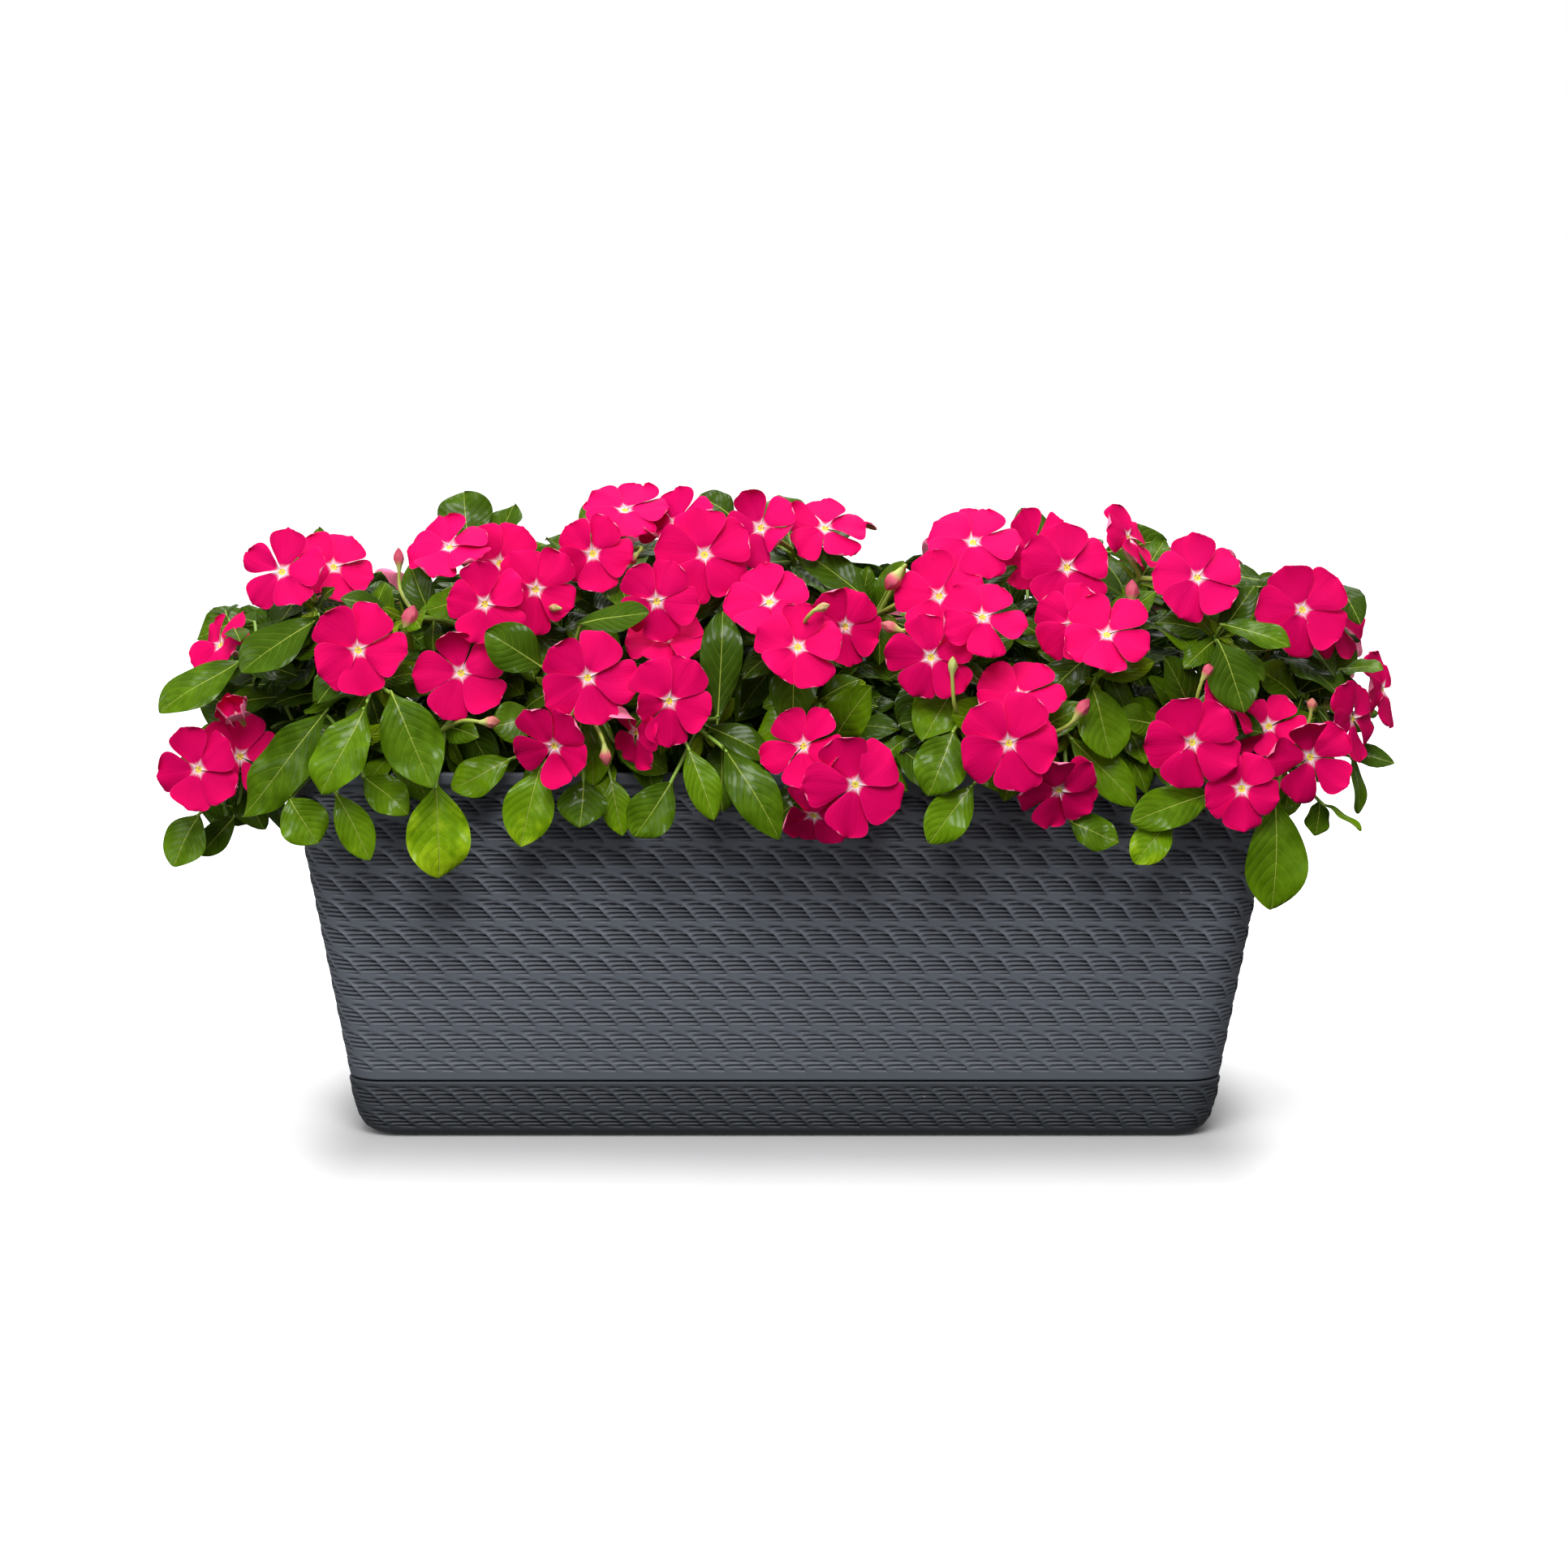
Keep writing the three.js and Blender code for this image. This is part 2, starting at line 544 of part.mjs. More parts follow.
// A rectangle with round corners at height z, anticlockwise seen from above
function roundedRing([halfX, halfY], radius, z) {
  const ring = [];
  for (let corner = 0; corner < 4; corner += 1) {
    const [sx, sy] = [[1, 1], [-1, 1], [-1, -1], [1, -1]][corner];
    for (let step = 0; step <= cornerSteps; step += 1) {
      const angle = ((corner + step / cornerSteps) * Math.PI) / 2;
      ring.push(
        vec(
          sx * (halfX - radius) + radius * Math.cos(angle),
          sy * (halfY - radius) + radius * Math.sin(angle),
          z,
        ),
      );
    }
  }
  return ring;
}

// The box's outline at height z, moved outwards by proud
function boxRing(z, proud) {
  const share = (z - box.seamHeight) / (box.height - box.seamHeight);
  const half = [0, 1].map((axis) => lerp(box.seamHalf[axis], box.rimHalf[axis], share) + proud);
  return roundedRing(half, lerp(box.seamCorner, box.rimCorner, share) + proud, z);
}

// The rope rows of a wall, from a groove below the first to the groove above the last
function ropeRings(bottom, rows, rowHeight, ringAt) {
  const rings = [];
  for (let row = 0; row < rows; row += 1) {
    const low = bottom + row * rowHeight;
    rings.push(ringAt(low, 0));
    for (const share of box.ropeSwell) rings.push(ringAt(low + rowHeight * share, box.ropeRise));
  }
  rings.push(ringAt(bottom + rows * rowHeight, 0));
  return rings;
}

function plantedBox() {
  const shoulder = box.seamHeight + seamGap;
  const lipBottom = box.height - box.lipHeight;
  const inner = -box.wall;
  const footInner = -box.shoulderStep - box.wall;
  const rings = [
    boxRing(box.footBottom, -box.shoulderStep),
    boxRing(shoulder, -box.shoulderStep),
    boxRing(shoulder, 0),
    ...ropeRings(shoulder + box.edge, box.ropeRows, box.ropeRow, boxRing),
    boxRing(lipBottom, 0),
    boxRing(lipBottom + box.edge, box.lipProud),
    boxRing(box.height - box.edge, box.lipProud),
    boxRing(box.height, box.lipProud - box.edge),
    boxRing(box.height, inner + box.edge),
    boxRing(box.height - box.edge, inner),
    boxRing(shoulder + box.wall, inner),
    boxRing(shoulder + box.wall, footInner),
    boxRing(box.footBottom + box.floor, footInner),
  ];
  let solid = solidOf(loft(rings));
  for (let hole = 0; hole < drain.count; hole += 1) {
    const x = (hole - (drain.count - 1) / 2) * drain.spacing;
    const cut = new THREE.CylinderGeometry(drain.radius, drain.radius, drain.cutDepth, drain.sides);
    cut.rotateX(Math.PI / 2).translate(x, 0, box.footBottom + box.floor / 2);
    solid = solid.subtract(solidOf(cut));
  }
  return geometryOf(solid);
}

// The tray's outline at height z, moved outwards by proud
function trayRing(z, proud) {
  const share = z / box.seamHeight;
  const half = [0, 1].map((axis) => lerp(tray.bottomHalf[axis], tray.topHalf[axis], share) + proud);
  return roundedRing(half, tray.corner + proud, z);
}

function dripTray() {
  const rowHeight = (box.seamHeight - tray.ropeBottom - box.edge) / tray.rows;
  return loft([
    roundedRing(tray.restHalf, tray.restCorner, 0),
    roundedRing(tray.kneeHalf, tray.corner, tray.kneeHeight),
    ...ropeRings(tray.ropeBottom, tray.rows, rowHeight, trayRing),
    trayRing(box.seamHeight, 0),
    trayRing(box.seamHeight, -tray.wall),
    trayRing(tray.floor, -tray.wall),
  ]);
}

// The potting mix fills the box to just under its rim, with a hole for each stem
function pottingMix(holes) {
  const shoulder = box.seamHeight + seamGap + box.wall + soil.gap;
  const wall = -box.wall - soil.gap;
  const footWall = -box.shoulderStep - box.wall - soil.gap;
  const rings = [
    boxRing(box.footBottom + box.floor + soil.gap, footWall),
    boxRing(shoulder, footWall),
    boxRing(shoulder, wall),
    boxRing(soil.edge, wall),
    roundedRing(box.rimHalf.map((half) => half - soil.crownInset), soil.crownCorner, soil.crown),
  ];
  return geometryOf(joined([solidOf(loft(rings)).subtract(wasm.Manifold.union(holes))]));
}

// Two unit vectors square to a direction, the first one level
function squareTo(direction) {
  const side = vec(0, 0, 1).cross(direction);
  if (side.length() < 1e-3) side.set(1, 0, 0);
  side.normalize();
  return [side, direction.clone().cross(side).normalize()];
}

// The part of a vector that is square to a direction, made a unit vector
function squared(vector, direction) {
  return vector.clone().addScaledVector(direction, -vector.dot(direction)).normalize();
}

// A tapering stalk through its nodes, whose sides run on from ring to ring without a twist
function stalkThrough(nodes, startRadius, endRadius, sides) {
  const last = nodes.length - 1;
  let side = vec(1, 0, 0);
  const rings = nodes.map((node, n) => {
    const tangent = nodes[Math.min(n + 1, last)].clone().sub(nodes[Math.max(n - 1, 0)]).normalize();
    side = n === 0 ? squareTo(tangent)[0] : squared(side, tangent);
    const up = tangent.clone().cross(side);
    const radius = lerp(startRadius, endRadius, n / last);
    return Array.from({ length: sides }, (_, i) => {
      const angle = ((i + 0.5) / sides) * 2 * Math.PI;
      return node
        .clone()
        .addScaledVector(side, radius * Math.cos(angle))
        .addScaledVector(up, radius * Math.sin(angle));
    });
  });
  return solidOf(loft(rings));
}

// A flower's centre, face and petal directions
function flowerFrame(flower) {
  const centre = flower.at ? vec(...flower.at) : seenPoint(flower.px, flower.py, flower.y);
  const face = facing(flower.turn, flower.tilt);
  const [side, up] = squareTo(face);
  return { centre, face, side, up, radius: flower.across / 2, roll: degToRad(flower.roll) };
}

// Where a cluster's flowers share a seat at the shoot's tip
function clusterSeat(flowers) {
  const seat = vec(0, 0, 0);
  const aim = vec(0, 0, 0);
  for (const frame of flowers.map(flowerFrame)) {
    seat.addScaledVector(frame.centre, 1 / flowers.length);
    seat.addScaledVector(frame.face, -corolla.tubeLength / flowers.length);
    aim.add(frame.face);
  }
  return { seat, aim: aim.normalize() };
}

// A petal's outline: the angle from its middle, its reach as a share of the flower's radius, and its lift in mm
const petalOutline = [
  { angle: -36, reach: 0.66, lift: -0.4 },
  { angle: -19, reach: 1, lift: 1.4 },
  { angle: 20, reach: 1, lift: -1.4 },
];

// One flower: a flat five-lobed face on a slim tube that bends down to the cluster's seat
function flowerSolid(flower, seat, aim) {
  const frame = flowerFrame(flower);
  const end = seat.clone().addScaledVector(squared(frame.centre.clone().sub(seat), aim), corolla.spread);
  const across = (angle, reach, lift) =>
    frame.centre
      .clone()
      .addScaledVector(frame.side, Math.cos(angle) * reach)
      .addScaledVector(frame.up, Math.sin(angle) * reach)
      .addScaledVector(frame.face, lift);
  const points = [across(0, 0, -corolla.dimple)];
  const petals = 5;
  for (let petal = 0; petal < petals; petal += 1) {
    for (const { angle, reach, lift } of petalOutline) {
      const turn = frame.roll + (petal * 2 * Math.PI) / petals + degToRad(angle);
      points.push(across(turn, reach * frame.radius, lift));
    }
  }
  const rim = petals * petalOutline.length;
  const triangles = [];
  for (let i = 0; i < rim; i += 1) triangles.push([0, 1 + i, 1 + ((i + 1) % rim)]);
  const sides = 3;
  const neck = frame.centre.clone().addScaledVector(frame.face, -corolla.neck);
  const ringStart = points.length;
  const rings = [
    { middle: frame.centre.clone().addScaledVector(frame.face, -corolla.cup), radius: corolla.throatRadius },
    { middle: neck, radius: corolla.tubeRadius },
    { middle: end, radius: corolla.tubeRadius },
  ];
  for (const { middle, radius } of rings) {
    for (let i = 0; i < sides; i += 1) {
      const angle = frame.roll + ((i + 0.5) * 2 * Math.PI) / sides;
      points.push(
        middle
          .clone()
          .addScaledVector(frame.side, Math.cos(angle) * radius)
          .addScaledVector(frame.up, Math.sin(angle) * radius),
      );
    }
  }
  // The rim's underside runs to the throat's corners, each taking the rim points nearest to it
  const cornerOf = (i) => Math.floor((((i % rim) + rim) % rim) * (sides / rim));
  for (let i = 0; i < rim; i += 1) {
    const [here, next] = [cornerOf(i), cornerOf(i + 1)];
    triangles.push([1 + ((i + 1) % rim), 1 + i, ringStart + here]);
    if (here !== next) triangles.push([1 + ((i + 1) % rim), ringStart + here, ringStart + next]);
  }
  for (let r = 0; r + 1 < rings.length; r += 1) {
    for (let i = 0; i < sides; i += 1) {
      const a = ringStart + r * sides + i;
      const b = ringStart + r * sides + ((i + 1) % sides);
      triangles.push([a, a + sides, b + sides], [a, b + sides, b]);
    }
  }
  const last = points.length - sides;
  triangles.push([last, last + 2, last + 1]);
  return solidOf(closedGeometry(points, triangles));
}

// A bud: a slim stalk from the seat that swells into a pointed spindle
function budSolid(tip, seat) {
  const along = tip.clone().sub(seat);
  const [side, up] = squareTo(along.clone().normalize());
  const rings = [
    [0, bud.neck],
    [0.5, bud.neck],
    [0.72, bud.radius],
    [1, 0.5],
  ].map(([share, radius]) =>
    Array.from({ length: bud.sides }, (_, i) => {
      const angle = (i / bud.sides) * 2 * Math.PI;
      return seat
        .clone()
        .addScaledVector(along, share)
        .addScaledVector(side, radius * Math.cos(angle))
        .addScaledVector(up, radius * Math.sin(angle));
    }),
  );
  return solidOf(loft(rings));
}

// The small cushion that a cluster's flower tubes share, pointing at the shoot that carries it
function receptacle(seat, aim) {
  const cushion = new THREE.OctahedronGeometry(receptacleRadius);
  cushion.applyQuaternion(new THREE.Quaternion().setFromUnitVectors(vec(0, 0, 1), aim));
  return solidOf(cushion.translate(...seat.toArray()));
}

// A leaf: its root in the stalk, a petiole where it has one, and a blade on an arched midrib, folded up
// along it. To test for room it is grown all round, and its root may be left out.
function leafSolid(leaf, grow = 0, rooted = true) {
  const { root, base, along, face, length, width, arch, outline } = leaf;
  const side = along.clone().cross(face).normalize();
  const fold = degToRad(leafShape.fold);
  const midrib = (t) => {
    const bend = arch * t;
    const point = base
      .clone()
      .addScaledVector(along, (length * Math.sin(bend)) / arch)
      .addScaledVector(face, (-length * (1 - Math.cos(bend))) / arch);
    const up = face.clone().multiplyScalar(Math.cos(bend)).addScaledVector(along, Math.sin(bend));
    return { point, up };
  };
  const section = (point, up, half, thick) => {
    const edge = up.clone().multiplyScalar(half * Math.sin(fold));
    return [
      point.clone().addScaledVector(side, half * Math.cos(fold)).add(edge),
      point.clone().addScaledVector(up, thick),
      point.clone().addScaledVector(side, -half * Math.cos(fold)).add(edge),
      point.clone().addScaledVector(up, -thick),
    ];
  };
  const bar = (middle, direction, half) => {
    const up = squared(face, direction).multiplyScalar(half);
    const across = direction.clone().cross(up);
    return [
      middle.clone().add(across),
      middle.clone().add(up),
      middle.clone().sub(across),
      middle.clone().sub(up),
    ];
  };
  const reach = base.clone().sub(root);
  const sections = [[rooted ? root : midrib(leafShape.bladeStart).point]];
  if (rooted && reach.length() > leafShape.shortPetiole) {
    sections.push(bar(base, reach.normalize().add(along).normalize(), leafShape.petiole + grow));
  }
  for (const { along: t, share } of outline) {
    const { point, up } = midrib(t);
    sections.push(section(point, up, (width * share) / 2 + grow, leafShape.thickness / 2 + grow));
  }
  sections.push([midrib(1 + grow / length).point]);
  const triangles = [];
  let first = 0;
  sections.forEach((points, s) => {
    const next = sections[s + 1];
    if (!next) return;
    const second = first + points.length;
    for (let i = 0; i < 4; i += 1) {
      const j = (i + 1) % 4;
      const [a, b, c, d] = [first + i, first + j, second + i, second + j];
      if (points.length === 1) triangles.push([first, c, d]);
      else if (next.length === 1) triangles.push([b, a, second]);
      // Both faces are split alike, from the midrib's near end to the edge's far end
      else if (i % 2 === 0) triangles.push([a, c, b], [b, c, d]);
      else triangles.push([a, d, b], [a, c, d]);
    }
    first = second;
  });
  const points = sections.flat();
  return solidOf(closedGeometry(points, triangles));
}

// The direction from the canopy's middle out through a point, which leaves turn their faces to
function lightAt(point) {
  const [a, b, c] = canopy.half;
  const rise = (point.z - canopy.middle) / c ** 2 + canopy.upBias;
  return vec(point.x / a ** 2, point.y / b ** 2, rise).normalize();
}

// A leaf that grows from a stem at a point, in one of the ways that retries lists
function grownLeaf(point, tangent, spin, length, way, draw) {
  const [side, up] = squareTo(tangent);
  const drawn = ([least, range]) => least + range * draw();
  const angle = degToRad(spin + way.spin) + (draw() - 0.5) * growth.wander;
  const along = side.multiplyScalar(Math.cos(angle)).addScaledVector(up, Math.sin(angle));
  along.addScaledVector(tangent, growth.rise).addScaledVector(lightAt(point), growth.outward);
  along.z -= growth.droop + way.sink;
  along.normalize();
  const size = length * way.share * drawn(growth.size);
  const face = squared(lightAt(point).addScaledVector(tangent, growth.faceLean), along);
  const arch = drawn(growth.arch);
  const width = size * growth.slim * drawn(growth.width);
  return { root: point, base: point, along, face, length: size, width, arch, outline: smallOutline };
}

// A leaf from the picture, with a slight arch, moved away from the eye by depth
function seenLeaf(entry, depth) {
  const base = seenPoint(entry.px, entry.py, entry.y + depth);
  const tip = seenPoint(entry.tipPx, entry.tipPy, entry.tipY + depth);
  const chord = tip.clone().sub(base);
  const length = chord.length() * archStretch;
  const straight = chord.clone().normalize();
  const face = squared(facing(entry.turn, entry.tilt), straight);
  const along = straight.multiplyScalar(Math.cos(seenArch / 2)).addScaledVector(face, Math.sin(seenArch / 2));
  return {
    base,
    along,
    face: squared(face, along),
    length,
    width: entry.width,
    arch: seenArch,
    outline: entry.width < largeWidth ? smallOutline : largeOutline,
  };
}

const clusters = { ...frontClusters, ...backClusters };

// Everything that stands in the part so far, to test new leaves against
const placed = [];
const touches = (a, b) =>
  [0, 1, 2].every((i) => a.min[i] <= b.max[i] && b.min[i] <= a.max[i]);

function place(node, solid, blade = null) {
  placed.push({ node, solid, box: solid.boundingBox(), blade });
}

// Overlaps of less than this many cubic millimetres don't count
const leastOverlap = 1e-6;

// Whether a leaf clears every other node, and the blades and petioles of its own
function isFree(node, leaf) {
  const whole = leafSolid(leaf, clearance);
  const blade = leafSolid(leaf, clearance, false);
  const bare = leafSolid(leaf);
  const extent = whole.boundingBox();
  for (const other of placed) {
    if (!touches(extent, other.box)) continue;
    const pairs = [];
    if (other.node !== node) pairs.push([whole, other.solid]);
    else if (other.blade) {
      pairs.push([blade, other.blade]);
      if (leaf.root !== leaf.base) pairs.push([bare, other.blade], [blade, other.solid]);
    }
    if (pairs.some(([a, b]) => a.intersect(b).volume() > leastOverlap)) return false;
  }
  return true;
}

// The box, the tray, and the flowers
const materials = {
  box: new THREE.MeshStandardMaterial({ color: 0x3e4249, roughness: 0.55, metalness: 0 }),
  soil: new THREE.MeshStandardMaterial({ color: 0x2b2019, roughness: 0.95, metalness: 0 }),
  leaf: new THREE.MeshStandardMaterial({ color: 0x3f7425, roughness: 0.42, metalness: 0 }),
  petal: new THREE.MeshStandardMaterial({ color: 0xe8005f, roughness: 0.6, metalness: 0 }),
};
const nodes = new Map();
nodes.set("rope_box", { geometry: plantedBox(), material: materials.box });
nodes.set("drip_tray", { geometry: dripTray(), material: materials.box });
for (const name of nodes.keys()) place(name, solidOf(nodes.get(name).geometry));

for (const [name, flowers] of Object.entries(clusters)) {
  const { seat, aim } = clusterSeat(flowers);
  const pieces = flowers.map((flower) => flowerSolid(flower, seat, aim));
  pieces.push(receptacle(seat, aim));
  for (const tip of frontBuds[name] ?? []) pieces.push(budSolid(seenPoint(tip.px, tip.py, tip.y), seat));
  const solid = joined(pieces);
  nodes.set(`blooms_${name}`, { geometry: geometryOf(solid), material: materials.petal });
  place(`blooms_${name}`, solid);
}

// The middle of a stem's clusters, which it grows towards
function stemGoal({ carries }) {
  const goal = vec(0, 0, 0);
  for (const name of carries) goal.addScaledVector(clusterSeat(clusters[name]).seat, 1 / carries.length);
  return goal;
}

// Where each stem leaves the soil: round its plant's crown, in the order that the stems fan out
function stemRoots() {
  const roots = new Map();
  for (let plant = 0; plant < plantCount; plant += 1) {
    const crown = vec((plant - (plantCount - 1) / 2) * crownSpacing, 0, soil.crown);
    const fan = Object.entries(stems)
      .filter(([, stem]) => stem.plant === plant)
      .map(([name, stem]) => {
        const goal = stemGoal(stem);
        return { name, angle: Math.atan2(goal.y - crown.y, goal.x - crown.x) };
      })
      .sort((a, b) => a.angle - b.angle);
    const step = (2 * Math.PI) / fan.length;
    const lean = vec(0, 0, 0);
    fan.forEach(({ angle }, i) => lean.add(vec(Math.cos(angle - i * step), Math.sin(angle - i * step), 0)));
    fan.forEach(({ name }, i) => {
      const angle = Math.atan2(lean.y, lean.x) + i * step;
      const ring = vec(Math.cos(angle), Math.sin(angle), 0).multiplyScalar(stalk.rootRing);
      roots.set(name, crown.clone().add(ring));
    });
  }
  return roots;
}
const roots = stemRoots();

// How a branch's direction at its tip is mixed from its flowers' faces, its reach and a lift
const arrival = { aim: 0.8, reach: 0.6, lift: 0.25 };

// A stem's stalks as lists of nodes: one from the root to the fork, and one from there to each tip
function stemStalks(name) {
  const { carries, shoots = [] } = stems[name];
  const root = roots.get(name);
  const goal = stemGoal(stems[name]);
  const fork = vec(
    lerp(root.x, goal.x, stalk.forkShare),
    lerp(root.y, goal.y, stalk.forkShare),
    Math.max((soil.crown + goal.z) / 2 + stalk.forkLift, stalk.lowestFork),
  );
  const rise = fork.clone().sub(root).normalize();
  const main = new THREE.CubicBezierCurve3(
    root.clone().setZ(soil.crown - soil.holeDepth),
    root.clone().setZ(soil.crown + stalk.straightAtRoot),
    fork.clone().addScaledVector(rise, -stalk.straightAtFork),
    fork,
  );
  const branches = carries.map((cluster) => {
    const { seat, aim } = clusterSeat(clusters[cluster]);
    const reach = seat.clone().sub(fork);
    const distance = reach.length();
    const finish = aim.clone().multiplyScalar(arrival.aim).addScaledVector(reach.normalize(), arrival.reach);
    finish.z += arrival.lift;
    finish.normalize();
    const tip = seat.clone().addScaledVector(aim, -(receptacleRadius + seatGap));
    return new THREE.CubicBezierCurve3(
      fork.clone(),
      fork.clone().addScaledVector(rise, distance * stalk.straightFromFork),
      tip.clone().addScaledVector(finish, -distance * stalk.straightToTip),
      tip,
    );
  });
  const leafy = shoots.map((shoot) => {
    const tip = seenPoint(shoot.px, shoot.py, shoot.y);
    const knee = tip.clone().lerp(fork, 0.5);
    knee.z += tip.distanceTo(fork) * stalk.shootArch;
    return new THREE.QuadraticBezierCurve3(fork.clone(), knee, tip);
  });
  return {
    main: main.getPoints(stalk.mainSteps),
    branches: branches.map((branch) => branch.getPoints(stalk.branchSteps)),
    leafy: leafy.map((shoot) => shoot.getPoints(stalk.shootSteps)),
  };
}

const holes = [];
const stemPieces = new Map();
for (const name of Object.keys(stems)) {
  const { main, branches, leafy } = stemStalks(name);
  const pieces = [stalkThrough(main, stalk.rootRadius, stalk.forkRadius, 3)];
  for (const branch of branches) {
    pieces.push(stalkThrough(branch, stalk.forkRadius - 0.3, stalk.tipRadius, 3));
  }
  for (const shoot of leafy) {
    pieces.push(stalkThrough(shoot, stalk.forkRadius - 0.3, stalk.tipRadius, 3));
  }
  holes.push(stalkThrough(main, stalk.rootRadius + soil.holeGap, stalk.forkRadius + soil.holeGap, 3));
  stemPieces.set(name, pieces);
  place(`stem_${name}`, wasm.Manifold.union(pieces));
}
const mix = pottingMix(holes);
nodes.set("potting_mix", { geometry: mix, material: materials.soil });
place("potting_mix", solidOf(mix));

// Joins a leaf to a stem if there is room for it
function addLeaf(name, leaf) {
  if (!isFree(`stem_${name}`, leaf)) return false;
  const solid = leafSolid(leaf);
  stemPieces.get(name).push(solid);
  place(`stem_${name}`, solid, leafSolid(leaf, 0, false));
  return true;
}

// The places along a stem's stalks that a petiole can grow from
const leafSeats = new Map();
for (const name of Object.keys(stems)) {
  const { branches, leafy } = stemStalks(name);
  const seats = [];
  for (const nodes of [...leafy, ...branches]) {
    for (let n = 0; n + 1 < nodes.length; n += 1) {
      const count = Math.floor(nodes[n].distanceTo(nodes[n + 1]) / seatSpacing);
      for (let i = 0; i < count; i += 1) {
        seats.push(nodes[n].clone().lerp(nodes[n + 1], (i + 0.5) / count));
      }
    }
  }
  leafSeats.set(name, seats);
}

// The free seat on a stem that is nearest to a leaf's base
function nearestSeat(name, base) {
  const seat = leafSeats.get(name).reduce((a, b) => (b.distanceTo(base) < a.distanceTo(base) ? b : a));
  return { name, seat, distance: seat.distanceTo(base) };
}

// The leaves that the picture shows, each from the nearest stem that can hold it
for (const entry of seenLeaves) {
  seenDepths.some((depth) => {
    const leaf = seenLeaf(entry, depth);
    const near = Object.keys(stems)
      .map((name) => nearestSeat(name, leaf.base))
      .filter(({ distance }) => distance < longestPetiole)
      .sort((a, b) => a.distance - b.distance)
      .slice(0, stemsTried);
    return near.some(({ name, seat }) => {
      if (!addLeaf(name, { ...leaf, root: seat })) return false;
      leafSeats.set(name, leafSeats.get(name).filter((other) => other !== seat));
      return true;
    });
  });
}

// The leaf pairs of each stalk, each pair turned a quarter from the one below
Object.keys(stems).forEach((name, stemIndex) => {
  const { main, branches } = stemStalks(name);
  const side = name.slice(2);
  const isBack = side === "back" || side === "rear";
  const pairs = isBack ? [{ nodes: main, ...mainPair }] : [];
  const branchPairs = isBack ? backPairs : side === "crest" ? crestPairs : frontPairs;
  for (const nodes of branches) pairs.push(...branchPairs.map((pair) => ({ nodes, ...pair })));
  pairs.forEach(({ nodes, stretch, length }, pairIndex) => {
    const point = nodes[stretch].clone().lerp(nodes[stretch + 1], 0.5);
    const tangent = nodes[stretch + 1].clone().sub(nodes[stretch]).normalize();
    for (const half of [0, 1]) {
      const spin = half * 180 + Math.floor(stretch / 2) * 90;
      const seed = 1 + stemIndex * seedStep.stem + pairIndex * seedStep.pair + half * seedStep.half;
      for (const [wayIndex, way] of retries.entries()) {
        const draw = makeDraw(seed + wayIndex);
        draw();
        const leaf = grownLeaf(point, tangent, spin, length, way, draw);
        if (addLeaf(name, leaf)) break;
      }
    }
  });
});
for (const [name, pieces] of stemPieces) {
  nodes.set(`stem_${name}`, { geometry: geometryOf(joined(pieces)), material: materials.leaf });
}

const windowBox = new THREE.Group();
for (const [name, { geometry, material }] of nodes) {
  const mesh = new THREE.Mesh(geometry, material);
  mesh.name = name;
  windowBox.add(mesh);
}

export default windowBox;
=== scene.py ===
"""Looks of a window box of Madagascar periwinkle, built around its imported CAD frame.

The planter and its tray are moulded in rope rows. Five plants fill it: leafy stems with glossy leaves, and
clusters of flat crimson-pink flowers. Lengths are in millimetres until a mesh is made, which is in metres.
"""

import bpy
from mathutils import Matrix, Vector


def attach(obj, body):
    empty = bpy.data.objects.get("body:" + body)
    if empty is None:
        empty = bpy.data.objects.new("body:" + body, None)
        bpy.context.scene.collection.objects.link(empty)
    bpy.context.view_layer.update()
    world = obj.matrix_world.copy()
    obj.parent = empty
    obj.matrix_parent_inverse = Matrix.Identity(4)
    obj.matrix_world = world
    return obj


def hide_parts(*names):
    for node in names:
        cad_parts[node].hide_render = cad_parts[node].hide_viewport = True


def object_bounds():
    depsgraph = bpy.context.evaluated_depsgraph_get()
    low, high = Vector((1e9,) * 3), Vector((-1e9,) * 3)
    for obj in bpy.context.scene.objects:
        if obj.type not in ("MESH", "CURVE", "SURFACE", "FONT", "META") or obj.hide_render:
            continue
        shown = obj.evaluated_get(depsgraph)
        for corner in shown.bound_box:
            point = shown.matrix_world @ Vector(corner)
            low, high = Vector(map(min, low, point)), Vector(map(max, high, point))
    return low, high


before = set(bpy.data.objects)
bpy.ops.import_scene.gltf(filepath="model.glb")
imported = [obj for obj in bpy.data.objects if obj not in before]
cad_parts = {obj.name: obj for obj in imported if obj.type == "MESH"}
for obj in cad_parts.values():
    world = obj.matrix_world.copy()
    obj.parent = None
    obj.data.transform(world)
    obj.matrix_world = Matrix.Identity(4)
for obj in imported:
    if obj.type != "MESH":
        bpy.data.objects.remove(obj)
CAD_BOX = [list(corner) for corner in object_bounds()]

import logging
import math
import random
from collections.abc import Callable, Iterator, Sequence
from dataclasses import dataclass, field, replace
from enum import Enum
from functools import partial

import bpy
import numpy as np
from mathutils import Vector, noise
from mathutils.bvhtree import BVHTree
from mathutils.kdtree import KDTree

LOG = logging.getLogger("window_box")
MM = 0.001
UP = np.array([0.0, 0.0, 1.0])
BODY = "root"
SHEET_MARGIN = 0.4
Adder = Callable[..., bpy.types.Node]
Row = tuple[float, ...]


# ---------------------------------------------------------------------------------------------- helpers


def linear(colour: str) -> tuple[float, float, float, float]:
    """Turns an sRGB hex colour to linear light.

    Args:
        colour: Six hex digits after a hash sign.

    Returns:
        Red, green, blue and alpha.
    """
    channels = [int(colour[i : i + 2], 16) / 255 for i in (1, 3, 5)]
    light = [c / 12.92 if c <= 0.04045 else ((c + 0.055) / 1.055) ** 2.4 for c in channels]
    return (light[0], light[1], light[2], 1.0)


